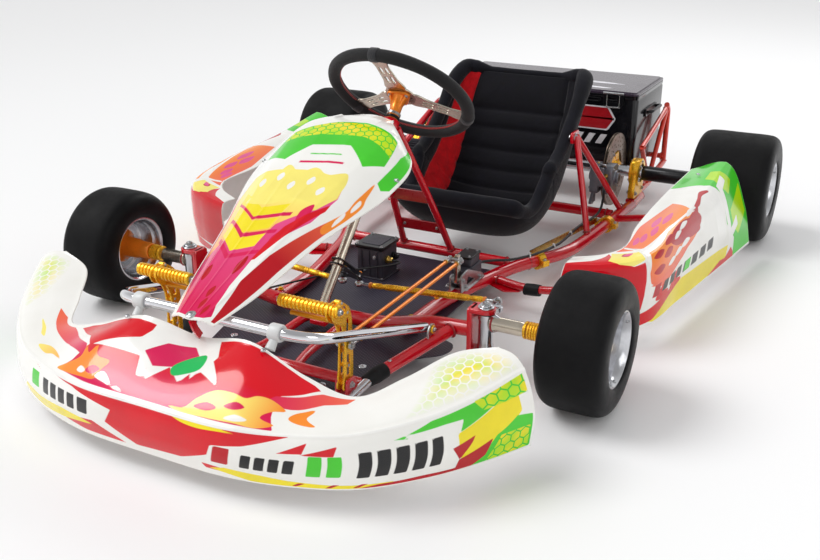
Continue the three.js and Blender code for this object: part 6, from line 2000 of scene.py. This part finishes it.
# ------------------------------------------------------------------ cords
def cord_line(points):
    """Ninety evenly spaced points on the curve through the route, and the curve's length in millimetres."""
    route = [np.array(p, float) for p in points]
    fine = np.array([catmull(route, t) for t in np.linspace(0, 1, 900)])
    run = np.concatenate([[0], np.cumsum(np.linalg.norm(np.diff(fine, axis=0), axis=1))])
    even = np.linspace(0, run[-1], 90)
    return np.stack([np.interp(even, run, fine[:, k]) for k in range(3)], -1), run[-1]


def cord_piece(name, route, radius, material, nodes=(), slot="cable_black"):
    line, length = cord_line(route)
    piece = Piece(name, nodes=nodes, slot=slot)
    piece.add(material, tube(line, radius, 14))
    made = piece.done()
    return line


def build_cords():
    hose = cord_piece("brake_hose_run", [(179, 323.2, 92), (184, 350, 92), (200, 376, 90), (226, 410, 84),
            (262, 480, 80), (286, 560, 80), (289, 700, 80), (296, 860, 80), (290, 905, 120),
            (286, 926, 140)], 3.2, "cable", ["brake_hose"])
    ties = Piece("cable_ties", slot="cable_black")
    for index in (22, 34, 48, 60):
        p, t = hose[index], hose[index + 1] - hose[index - 1]
        ties.add("plastic", lathe([(3.3, -1.6), (4.5, -1.6), (4.5, 1.6), (3.3, 1.6)], p, t, 20),
                 block(p + (-2.4, -2.4, 3.6), p + (2.4, 2.4, 7.4)))
    for spot, way in ((hose[0] + (0, 1, 0), (0, 1, 0)), (hose[-1], hose[-2] - hose[-1])):
        ties.add("brass", lathe([(3.3, 0), (5.6, 0), (5.6, 7), (4.4, 9), (4.4, 14), (3.3, 14)], spot, way, 6))
    ties.done()
    cord_piece("throttle_cable", [(-183, -240, 140), (-181, -214, 138), (-172, -150, 126), (-150, -60, 110),
            (-118, 60, 96), (-78, 160, 88), (-32, 224, 84), (4, 262, 84), (14, 282, 84), (6, 287, 84),
            (-7.2, 287, 84)], 2.2, "cable")
    cord_piece("motor_cable", [(-180, 1149.3, 150), (-180, 1130, 150), (-186, 1070, 190), (-190, 980, 200),
            (-196, 930, 180), (-206, 890, 176)], 5, "cable_orange", ["power_cable"],
               slot="cable_orange")


build_steering_wheel()
build_spindles()
build_tie_rods()
build_pedals()
build_brake_linkage()
build_throttle_box()
build_cords()


# ------------------------------------------------------------------ rear axle drive and brake
AXLE_Y, AXLE_Z = WHEELBASE, 137.5 * math.cos(math.pi / 24)
MOTOR_Y, MOTOR_Z = 800.0, 150.0
DISC_X, SPROCKET_X, BEARING_X = 270.0, -290.0, 334.0


def around_axle(radius, degrees, x=0.0):
    a = math.radians(degrees)
    return np.array([x, AXLE_Y + radius * math.cos(a), AXLE_Z + radius * math.sin(a)])


def build_disc():
    disc_piece = Piece("brake_disc_vented", "rear_axle", ["brake_disc"], "disc_iron")
    for low in (-4.9, 1.7):
        outline = [tuple(around_axle(100, d)[1:]) for d in range(0, 360, 5)]
        holes = [[tuple(p[1:]) for p in (around_axle(52, d) for d in range(0, 360, 8))]]
        for k in range(18):
            for r, shift in ((66, 0), (78, 8), (89, 3)):
                p = around_axle(r, k * 20 + shift)
                holes.append(circle(p[1], p[2], 2.9, 10))
        disc_piece.add("iron", plate([outline, *holes], DISC_X + low, DISC_X + low + 3.2, (1, 2, 0),
                soften=0.4))
    for k in range(30):
        a, b = around_axle(60, k * 12, DISC_X), around_axle(97, k * 12 + 5, DISC_X)
        disc_piece.add("iron", tube(np.linspace(a, b, 3), 2.2, 8))
    star = [tuple(around_axle(58 if k % 2 == 0 else 40, k * 30)[1:]) for k in range(12)]
    windows = []
    for k in range(6):
        p = around_axle(33, k * 60 + 30)
        windows.append(circle(p[1], p[2], 5, 16))
    disc_piece.add("gold", plate([rounded(star, 7, 3), circle(AXLE_Y, AXLE_Z, 15.3, 36), *windows],
            DISC_X - 2.4, DISC_X + 2.4, (1, 2, 0), soften=0.5))
    disc_piece.add("gold", lathe([(15.3, -22), (23, -22), (24, -21), (24, -8), (26, -3), (26, 3), (24, 6),
            (24, 13), (23, 14), (15.3, 14)], (DISC_X, AXLE_Y, AXLE_Z), (1, 0, 0), 48))
    for k in range(6):
        disc_piece.add("steel", bolt(around_axle(54, k * 60, DISC_X + 4.6), (1, 0, 0), 3.6, "cap"),
                       bolt(around_axle(54, k * 60, DISC_X - 4.6), (-1, 0, 0), 3.6, "nut"))
    for d in (40, 220):
        disc_piece.add("steel", bolt(around_axle(23.4, d, DISC_X - 15), around_axle(1, d) - around_axle(0,
                d), 3.2, "cap"))
    disc_piece.done()


def toothed_outline(root, tip, teeth):
    points = []
    for k in range(teeth):
        for turn, r in ((-0.34, root), (-0.2, root + 0.5), (-0.09, tip), (0.09, tip), (0.2, root + 0.5),
                        (0.34, root)):
            a = 2 * math.pi * (k + turn) / teeth
            points.append((r * math.cos(a), r * math.sin(a)))
    return points


def build_sprocket():
    root, teeth = 85.0, 60
    outline = [(AXLE_Y + p, AXLE_Z + q) for p, q in toothed_outline(root - 0.8, root + 4.0, teeth)]
    holes = [circle(AXLE_Y, AXLE_Z, 26.5, 40)]
    for k in range(6):
        p = around_axle(57, k * 60 + 30)
        holes.append(circle(p[1], p[2], 14, 24))
        q = around_axle(72, k * 60)
        holes.append(circle(q[1], q[2], 5, 14))
    wheel = Piece("sprocket_toothed", "rear_axle", ["sprocket"], "gold_alloy")
    wheel.add("gold", plate([outline, *holes], SPROCKET_X - 2.4, SPROCKET_X + 2.4, (1, 2, 0), soften=0.3))
    wheel.add("gold", lathe([(15.3, -9), (26, -9), (27, -8), (27, -2.5), (38, -2.4), (38, 2.4), (27, 2.6),
            (27, 19), (26, 20), (15.3, 20)], (SPROCKET_X, AXLE_Y, AXLE_Z), (1, 0, 0), 48))
    for k in range(6):
        wheel.add("steel", bolt(around_axle(32.5, k * 60, SPROCKET_X + 2.4), (1, 0, 0), 3, "cap"))
    wheel.done()
    pinion = Piece("motor_pinion_toothed", "motor_pinion", ["motor_pinion"], "steel")
    outline = [(MOTOR_Y + p, MOTOR_Z + q) for p, q in toothed_outline(9.6, 11.9, 11)]
    pinion.add("steel", plate([outline, circle(MOTOR_Y, MOTOR_Z, 4.5, 20)], SPROCKET_X - 2.4,
            SPROCKET_X + 2.4, (1, 2, 0), soften=0.3))
    pinion.add("steel", disc((SPROCKET_X, MOTOR_Y, MOTOR_Z), (1, 0, 0), 9.4, -5, 5, 4.5, 28, 0.5),
               bolt((SPROCKET_X - 5, MOTOR_Y, MOTOR_Z), (-1, 0, 0), 4.4, "nut"))
    pinion.done()


def build_chain():
    big, small = 90.3, 16.1
    reach = math.hypot(AXLE_Y - MOTOR_Y, MOTOR_Z - AXLE_Z)
    lift = math.asin((big - small) / reach)
    tilt = math.atan2(MOTOR_Z - AXLE_Z, AXLE_Y - MOTOR_Y)
    loop = [(big * math.cos(a), big * math.sin(a)) for a in np.linspace(-math.pi / 2 - lift,
            math.pi / 2 + lift, 150)]
    loop += [(-reach + small * math.cos(a), small * math.sin(a)) for a in np.linspace(math.pi / 2 + lift,
            1.5 * math.pi - lift, 40)]
    loop.append(loop[0])
    loop = np.array(loop)
    run = np.concatenate([[0], np.cumsum(np.hypot(*np.diff(loop, axis=0).T))])
    count = 2 * int(run[-1] / 8 / 2)
    spots = np.stack([np.interp(np.arange(count) / count * run[-1], run, loop[:, k]) for k in (0, 1)], -1)
    c, s = math.cos(-tilt), math.sin(-tilt)
    pins = np.array([(SPROCKET_X, AXLE_Y + p * c - q * s, AXLE_Z + p * s + q * c) for p, q in spots])
    chain = Piece("drive_chain_links", "root", ["drive_chain"], "steel")
    for k in range(count):
        a, b = pins[k], pins[(k + 1) % count]
        level = 2.6 if k % 2 else 1.5
        middle = (a + b) / 2
        ahead = (b - a) / np.linalg.norm(b - a)
        up = np.cross((1, 0, 0), ahead)
        waist, end = 2.5, 3.5
        outline = []
        for p, q in ((-4, -end), (0, -waist), (4, -end), (6.6, -1.8), (6.6, 1.8), (4, end), (0, waist),
                     (-4, end), (-6.6, 1.8), (-6.6, -1.8)):
            w = middle + ahead * p + up * q
            outline.append((w[1], w[2]))
        for way in (-1, 1):
            low = SPROCKET_X + way * level - (0.8 if way < 0 else 0)
            chain.add("chain", prism(outline, low, low + 0.8, (1, 2, 0)))
        chain.add("chain", bar(a - (3.4, 0, 0), a + (3.4, 0, 0), 1.3, 8), bar(a - (1.4, 0, 0),
                a + (1.4, 0, 0), 2.5, 10))
    chain.done()


def build_motor():
    face = np.array([-172.0, MOTOR_Y, MOTOR_Z])
    motor = Piece("drive_motor", "root", ["motor"], "black_metal")
    motor.add("dark_cast", lathe([(0, 12), (36, 12), (40, 10), (44, 3), (60, 1), (70, -2), (71.6, -6),
            (71.6, -14), (64, -15), (64, -88), (71, -89), (71, -96), (60, -104), (54, -108), (0, -108)],
            face, (1, 0, 0), 64))
    for k in range(44):
        a = 2 * math.pi * k / 44
        out = np.array([0, math.cos(a), math.sin(a)])
        side = np.array([0, -math.sin(a), math.cos(a)])
        corners = [out * 62 + side * 1.1, out * 71.4 + side * 0.8, out * 71.4 - side * 0.8,
                   out * 62 - side * 1.1]
        if out[2] > -0.6:
            motor.add("dark_cast", prism([(face[1] + p[1], face[2] + p[2]) for p in corners], face[0] - 89,
                    face[0] - 14, (1, 2, 0)))
    for k in range(6):
        a = math.radians(60 * k + 15)
        motor.add("steel", bolt(face + (1.4, 58 * math.cos(a), 58 * math.sin(a)), (1, 0, 0), 3.6, "cap"))
        motor.add("steel", bolt(face + (-103, 52 * math.cos(a), 52 * math.sin(a)), (-1, 0, 0), 3.2, "cap"))
    for way in (-1, 1):
        motor.add("cast", plate([rounded([(-262, 63.6), (-178, 63.6), (-178, 70), (-186, 92), (-254, 92),
                (-262, 70)], 4, 3), circle(-220, 80, 7, 18)], MOTOR_Y + way * 42 - 4,
                                MOTOR_Y + way * 42 + 4, (0, 2, 1), soften=0.8))
    motor.add("cast", plate([rectangle(-262, MOTOR_Y - 46, -178, MOTOR_Y + 46, 5, 3)], 63.4, 69, soften=0.8))
    motor.add("steel", bar(face + (-100, 0, 0), face + (-112, 0, 0), 8, 24))
    motor.add("black", disc((-214, MOTOR_Y + 40, MOTOR_Z + 44), (0, 0.7, 0.7), 15, -4, 24, 0, 32, 1.5))
    motor.add("brass", bolt((-206, MOTOR_Y + 82, MOTOR_Z + 20), (0, 1, 0.1), 6, "nut"))
    motor.done(bevel=0.2)


def build_bearings():
    for name, side in SIDES:
        flip = on_side(side)
        x = BEARING_X
        piece = Piece(f"bearing_{name}_cassette", "root", [f"bearing_{name}"], "gold_alloy")
        plate_outline = rounded([(AXLE_Y - 46, 72), (AXLE_Y + 40, 72), (AXLE_Y + 40, 92),
                (AXLE_Y + 37, 118), (AXLE_Y + 33, 150), (AXLE_Y + 20, 172), (AXLE_Y - 20, 172),
                (AXLE_Y - 33, 150), (AXLE_Y - 38, 118), (AXLE_Y - 46, 92)], 8, 4)
        piece.add("gold", flip(plate([plate_outline, circle(AXLE_Y, AXLE_Z, 27, 40), circle(AXLE_Y - 34, 86,
                4, 14), circle(AXLE_Y + 29, 86, 4, 14)], x - 9, x + 9, (1, 2, 0), soften=1.2)))
        piece.add("gold", flip(lathe([(26, -13), (36, -13), (38, -11), (38, -9), (35, -8), (35, 8), (38, 9),
                (38, 11), (36, 13), (26, 13)], (x, AXLE_Y, AXLE_Z), (1, 0, 0), 56)))
        piece.add("steel", flip(lathe([(15.6, -8), (19, -9), (19, -8), (24, -8), (26, -9), (26, 9), (24, 8),
                (19, 8), (19, 9), (15.6, 8)], (x, AXLE_Y, AXLE_Z), (1, 0, 0), 48)))
        for k in range(3):
            for way in (-1, 1):
                spot = around_axle(31.5, 90 + 120 * k, x + way * 13)
                piece.add("steel", *[flip(f) for f in bolt(spot, (way, 0, 0), 3.2, "cap")])
        for y in (AXLE_Y - 34, AXLE_Y + 29):
            for way in (-1, 1):
                piece.add("steel", *[flip(f) for f in bolt((x + way * 9, y, 86), (way, 0, 0), 5,
                        "cap" if way > 0 else "nut")])
        piece.done(bevel=0.2)
        seal = Piece(f"bearing_{name}_seal", "root", slot="gold_alloy")
        seal.add("rubber", flip(lathe([(19.4, -9.6), (25.4, -9.6), (25.4, -8.6), (19.4, -8.6)],
                (x, AXLE_Y, AXLE_Z), (1, 0, 0), 40)),
                 flip(lathe([(19.4, 8.6), (25.4, 8.6), (25.4, 9.6), (19.4, 9.6)], (x, AXLE_Y, AXLE_Z),
                            (1, 0, 0), 40)))
        seal.done()


def build_caliper():
    x = DISC_X
    piece = Piece("brake_caliper_cast", "root", ["brake_caliper"], "grey_cast")
    outline = rounded([(930, 98), (984, 98), (990, 106), (990, 150), (986, 172), (974, 176), (938, 176),
                       (930, 166)], 8, 4)
    for low, high in ((x - 30, x - 7), (x + 7, x + 30)):
        piece.add("cast", plate([outline, circle(940, 110, 3.4, 12)], low, high, (1, 2, 0), soften=2.0))
    piece.add("cast", plate([rectangle(930, 118, 937, 170, 2, 2)], x - 8, x + 8, (1, 2, 0), soften=0.8))
    for way in (-1, 1):
        piece.add("cast", lathe([(0, 40), (13, 40), (15, 38), (15, 34), (19, 33), (21, 30), (21, 20),
                (0, 20)], (x, 966, 138), (way, 0, 0), 40))
        piece.add("dark_cast", lathe([(0, 40.6), (8, 40.6), (8, 39), (0, 39)], (x, 966, 138), (way, 0, 0), 6))
        for y, z in ((940, 166), (982, 112), (940, 110)):
            piece.add("steel", bolt((x + way * 30, y, z), (way, 0, 0), 4.2, "cap"))
        piece.add("dark_cast", plate([rectangle(944, 104, 986, 170, 5, 3)], x + way * 6.6 - 0.6,
                x + way * 6.6 + 0.6, (1, 2, 0), soften=0.2))
    piece.add("brass", bolt((x + 14, 930, 150), (0, -1, 0), 4.6, "nut"), bolt((x - 14, 950, 176), (0, 0, 1),
            3.6, "nut"))
    piece.add("cast", plate([rounded([(914, 71.4), (950, 71.4), (950, 100), (934, 104), (926, 92),
            (914, 78)], 4, 3)], x - 24, x - 17, (1, 2, 0), soften=0.6))
    piece.add("steel", bolt((x - 17, 920, 75), (1, 0, 0), 3.4, "cap"))
    piece.add("alloy", tube(bent([(x + 14, 934, 170), (x + 14, 924, 182), (x - 14, 924, 182),
            (x - 14, 934, 170)], 6, 4), 2.2, 12))
    piece.done(bevel=0.3)


# ------------------------------------------------------------------ battery box and its carrier
BOX_HALF, BOX_FRONT, BOX_REAR, BOX_LOW, BOX_HIGH, BOX_WALL = 294.0, 1150.0, 1425.0, 105.0, 318.0, 4.0


def build_battery_box():
    outer = rectangle(-BOX_HALF, BOX_FRONT, BOX_HALF, BOX_REAR, 14, 6)
    w = BOX_WALL
    inner = rectangle(-BOX_HALF + w, BOX_FRONT + w, BOX_HALF - w, BOX_REAR - w, 10, 6)
    count = len(outer)
    levels = [("outer", BOX_LOW + 3, -3.0), ("outer", BOX_LOW + 6, 0), ("outer", BOX_HIGH - 14, 0),
              ("outer", BOX_HIGH - 12, -1.0), ("outer", BOX_HIGH - 9, -1.0), ("outer", BOX_HIGH - 7, 0),
              ("outer", BOX_HIGH - 0.6, 0), ("outer", BOX_HIGH, -0.6), ("inner", BOX_HIGH, 0.4),
              ("inner", BOX_HIGH - 0.6, 0), ("inner", BOX_LOW + w + 1, 0)]
    centre = np.array([0, (BOX_FRONT + BOX_REAR) / 2])
    verts = []
    for kind, z, grow in levels:
        for p in (outer if kind == "outer" else inner):
            q = np.array(p)
            out = np.sign(q - centre)
            edge_x, edge_y = abs(q[0]) > BOX_HALF - 16, abs(q[1] - centre[1]) > (BOX_REAR
                    - BOX_FRONT) / 2 - 16
            q = q + out * grow * np.array([edge_x, edge_y])
            verts.append((*q, z))
    faces = grid_faces(len(levels), count, False, True)
    faces.append(tuple(reversed(range(count))))
    faces.append(tuple((len(levels) - 1) * count + i for i in range(count)))
    box = Piece("battery_box_moulded", "root", ["battery_box"], "box_black")
    box.add("black_gloss", (np.array(verts), faces))
    front = BOX_FRONT
    arrow = rounded([(40, 216), (214, 216), (236, 250), (214, 284), (40, 284), (62, 250)], 4, 3)
    stripes = [[(x, 176), (x + 18, 176), (x + 34, 204), (x + 16, 204)] for x in (44, 78, 112, 146, 180)]
    inset = [(x + (4 if x < 130 else -4), z + (4 if z < 250 else -4 if z > 250 else 0)) for x, z in arrow]
    for side in (1, -1):
        for ink, outline, depth in (("print_white", arrow, 0.25), ("print_red", inset, 0.55)):
            box.add(ink, prism([(side * x, z) for x, z in outline], front - depth, front + 1, (0, 2, 1)))
    for form in stripes:
        box.add("print_white", prism(form, front - 0.3, front + 1, (0, 2, 1)),
                prism([(-x, z) for x, z in form], front - 0.3, front + 1, (0, 2, 1)))
    box.add("black", plate([rectangle(88, 296, 188, 308, 4, 3), rectangle(94, 299, 182, 305, 2.4, 3)],
                           front - 3, front + 1, (0, 2, 1), soften=0.8))
    for side in (-1, 1):
        x = side * BOX_HALF
        box.add("black", plate([rectangle(1230, 246, 1345, 268, 6, 3)], min(x, x + side * 5),
                               max(x, x + side * 5), (1, 2, 0), soften=1))
        box.add("black", tube(bent([(x, 1240, 257), (x + side * 20, 1240, 262), (x + side * 20, 1335, 262),
                (x, 1335, 257)], 12, 5), 4.6, 14))
        for y in (1235, 1340):
            box.add("steel", bolt((x + side * 5, y, 251), (side, 0, 0), 3, "button"))
    for x in (-250, -125, 0, 125, 250):
        box.add("black_gloss", plate([rectangle(x - 5, BOX_LOW + 12, x + 5, BOX_LOW + 44, 3, 3)],
                front - 1.6, front + 1, (0, 2, 1), soften=0.7))
    box.add("brass", lathe([(5.2, -1), (10, -1), (10, 4), (7, 8), (5.2, 8)], (-180, front, 150), (0, -1, 0),
                           6))
    box.done(angle=40, print_white=finish_of("box_print_white", (232, 230, 236), 0.3, 0.0, coat=0.4),
             print_red=finish_of("box_print_red", (176, 18, 30), 0.3, 0.0, coat=0.4))

    pack = Piece("battery_cells", "root", ["battery_pack"], "cell_casing")
    x0, x1, y0, y1 = -BOX_HALF + 24, BOX_HALF - 24, BOX_FRONT + 18, BOX_REAR - 18
    low, high = BOX_LOW + BOX_WALL + 0.3, BOX_HIGH - 62
    columns = 4
    step = (x1 - x0) / columns
    for k in range(columns):
        a, b = x0 + k * step + 1, x0 + (k + 1) * step - 1
        pack.add("cells", plate([rectangle(a, y0, b, y1, 5, 3)], low, high - 8, soften=1.6))
        pack.add("plastic", plate([rectangle(a + 2, y0 + 2, b - 2, y1 - 2, 5, 3)], high - 8, high - 2,
                soften=1))
        for y, metal in ((y0 + 34, "brass"), (y1 - 34, "steel")):
            pack.add(metal, disc(((a + b) / 2, y, high - 3), (0, 0, 1), 9, 0, 3, 0, 24, 0.5),
                     *bolt(((a + b) / 2, y, high - 1), (0, 0, 1), 5, "nut"))
        if k < columns - 1:
            pack.add("brass", block(((a + b) / 2 - 4, (y1 if k % 2 else y0) - (40 if k % 2 else -28),
                    high - 0.5), ((a + b) / 2 + step + 4, (y1 if k % 2 else y0) - (28 if k % 2 else -40),
                                  high + 1)))
        pack.add("black", plate([rectangle((a + b) / 2 - 30, (y0 + y1) / 2 - 7, (a + b) / 2 + 30,
                (y0 + y1) / 2 + 7, 6, 3)], high - 2, high, soften=0.6))
    pack.done(bevel=0.3)


def build_lid():
    lid = Piece("box_lid_moulded", "box_lid", ["box_lid"], "box_black")
    y0, y1 = BOX_FRONT, BOX_REAR
    base, top = BOX_HIGH + 0.4, BOX_HIGH + 10
    # the lid's plum-grey, lighter than the box's black, is painted sheen of its top face
    lid.add("lid", plate([rectangle(-BOX_HALF, y0, BOX_HALF, y1, 14, 6)], base, base + 6.4, soften=1.2))
    lid.add("lid", plate([rectangle(-BOX_HALF + 7, y0 + 7, BOX_HALF - 7, y1 - 7, 12, 6)], base + 4,
                         top - 0.4, soften=1.5))
    lid.add("lid", plate([rectangle(-BOX_HALF + 5, y0 + 5, BOX_HALF - 5, y1 - 5, 9, 5),
                          rectangle(-BOX_HALF + 9, y0 + 9, BOX_HALF - 9, y1 - 9, 7, 5)], BOX_HIGH - 6,
                         base + 1, soften=0.5))
    lid.add("rubber", plate([rectangle(-BOX_HALF + 9.2, y0 + 9.2, BOX_HALF - 9.2, y1 - 9.2, 7, 5),
            rectangle(-BOX_HALF + 13, y0 + 13, BOX_HALF - 13, y1 - 13, 7, 5)], BOX_HIGH - 4, base + 1,
                            soften=0.5))
    shapes = (("print_white", [(-200, 1196), (-40, 1186), (60, 1190), (190, 1182), (214, 1192), (120, 1204),
            (40, 1202), (-30, 1212), (-190, 1218)]), ("print_green", [(-230, 1222), (-120, 1228),
            (-40, 1240), (40, 1236), (80, 1244), (-20, 1258), (-140, 1252), (-236, 1246)]),
              ("print_white", [(20, 1262), (120, 1246), (230, 1252), (180, 1266), (90, 1272)]),
              ("print_red", [(-120, 1180), (-60, 1174), (40, 1178), (-40, 1186)]))
    for ink, outline in shapes:
        lid.add(ink, prism(rounded(outline, 8, 3), top - 0.8, top - 0.1))
    inks = {"print_white": (226, 224, 232), "print_green": (92, 196, 84), "print_red": (196, 24, 60)}
    lid.done(angle=40, **{ink: finish_of("lid_" + ink, colour, 0.32, 0.0, coat=0.4) for ink,
                          colour in inks.items()})
    for name, side in SIDES:
        flip = on_side(side)
        latch = Piece(f"latch_{name}_pressed", f"latch_{name}", [f"latch_{name}"], "steel")
        f = BOX_FRONT
        latch.add("black", flip(plate([rounded([(197, 289), (255, 289), (255, 320), (250, 325), (202, 325),
                (197, 320)], 4, 3), rectangle(212, 300, 240, 312, 3, 3)], f - 7.6, f - 5, (0, 2, 1),
                soften=0.5)))
        latch.add("steel", flip(tube(bent([(208, f - 6.5, 318), (208, f - 6.5, 285), (244, f - 6.5, 285),
                (244, f - 6.5, 318)], 6, 4), 1.5, 10)))
        latch.add("steel", flip(bar((196.5, f - 5, 323.2), (255.5, f - 5, 323.2), 3.3, 18)),
                  flip(bar((206, f - 4.6, 284.5), (246, f - 4.6, 284.5), 2.3, 14)))
        latch.add("black", flip(tube([(214, f - 7.4, 306), (226, f - 8.0, 304.6), (238, f - 7.4, 306)], 1.6,
                10)))
        latch.done(bevel=0.15)


def build_box_frame():
    side_x = 322
    frame_piece = Piece("box_frame_welded", "root", ["box_frame"], "carrier_paint")
    bearer_z = BOX_LOW - 8 * math.cos(math.pi / 8) - 0.3
    tubes = [
        (bent([(337, 1013, 55), (side_x, 1120, 56), (side_x, 1219, 56), (side_x, 1390, 78)], 30), 9),
        (bent([(337, 1013, 55), (334, 1100, 55)], 10), 14),
        (bent([(side_x, 1390, 78), (side_x, 1392, 240), (side_x, 1372, 256)], 20), 8),
        (bent([(side_x, 1222, 56), (side_x, 1376, 246)], 10), 7),
        (bent([(side_x, 1226, 56), (side_x, 1130, 184)], 10), 7),
        (bent([(side_x, 1130, 184), (side_x, 1372, 246)], 10), 7),
        (bent([(side_x, 1212, 56), (side_x, 1212, bearer_z)], 10), 7),
    ]
    for path, radius in tubes:
        frame_piece.both("carrier", tube(path, radius, 22))
    for y in (1212, 1384):
        frame_piece.add("carrier", bar((-side_x, y, bearer_z), (side_x, y, bearer_z), 8, 24))
    for spot, way, radius in (((side_x, 1390, 82), (0, 0, 1), 8), ((side_x, 1226, 62), (0, 0.6, 0.8), 7),
            ((side_x, 1222, 62), (0, -0.6, 0.8), 7), ((side_x, 1138, 182), (0, 1, 0.25), 7),
            ((side_x, 1368, 244), (0, 1, 0.2), 7), ((side_x - 7, 1212, bearer_z), (1, 0, 0), 8),
            ((side_x - 7, 1384, bearer_z), (1, 0, 0), 8), ((side_x, 1212, 66), (0, 0, 1), 7)):
        frame_piece.both("carrier", weld(spot, way, radius))
    frame_piece.both("carrier", plate([rounded([(1180, 62), (1222, 62), (1196, 108)], 5, 3)], side_x - 1.5,
            side_x + 1.5, (1, 2, 0), soften=0.4))
    frame_piece.both("carrier", disc((334, 1100, 55), (0, 1, 0), 14.4, -2, 1.5))
    frame_piece.both("steel", bolt((side_x + 7, 1212, 80), (1, 0, 0), 4, "cap"))
    frame_piece.done(bevel=0.1)
    strap_form = Piece("box_straps", "root", slot="carrier_paint")
    for x in (-150, 150):
        strap_form.add("carrier", plate([rectangle(x - 10, bearer_z + 2, x + 10, bearer_z + 7.9, 2, 2)],
                1212, 1384, (0, 2, 1), soften=0.4))
        for y in (1212, 1384):
            strap_form.add("steel", bolt((x, y, bearer_z - 8), (0, 0, -1), 4, "cap"))
    strap_form.done(bevel=0.1)


build_disc()
build_sprocket()
build_chain()
build_motor()
build_bearings()
build_caliper()
build_battery_box()
build_lid()
build_box_frame()
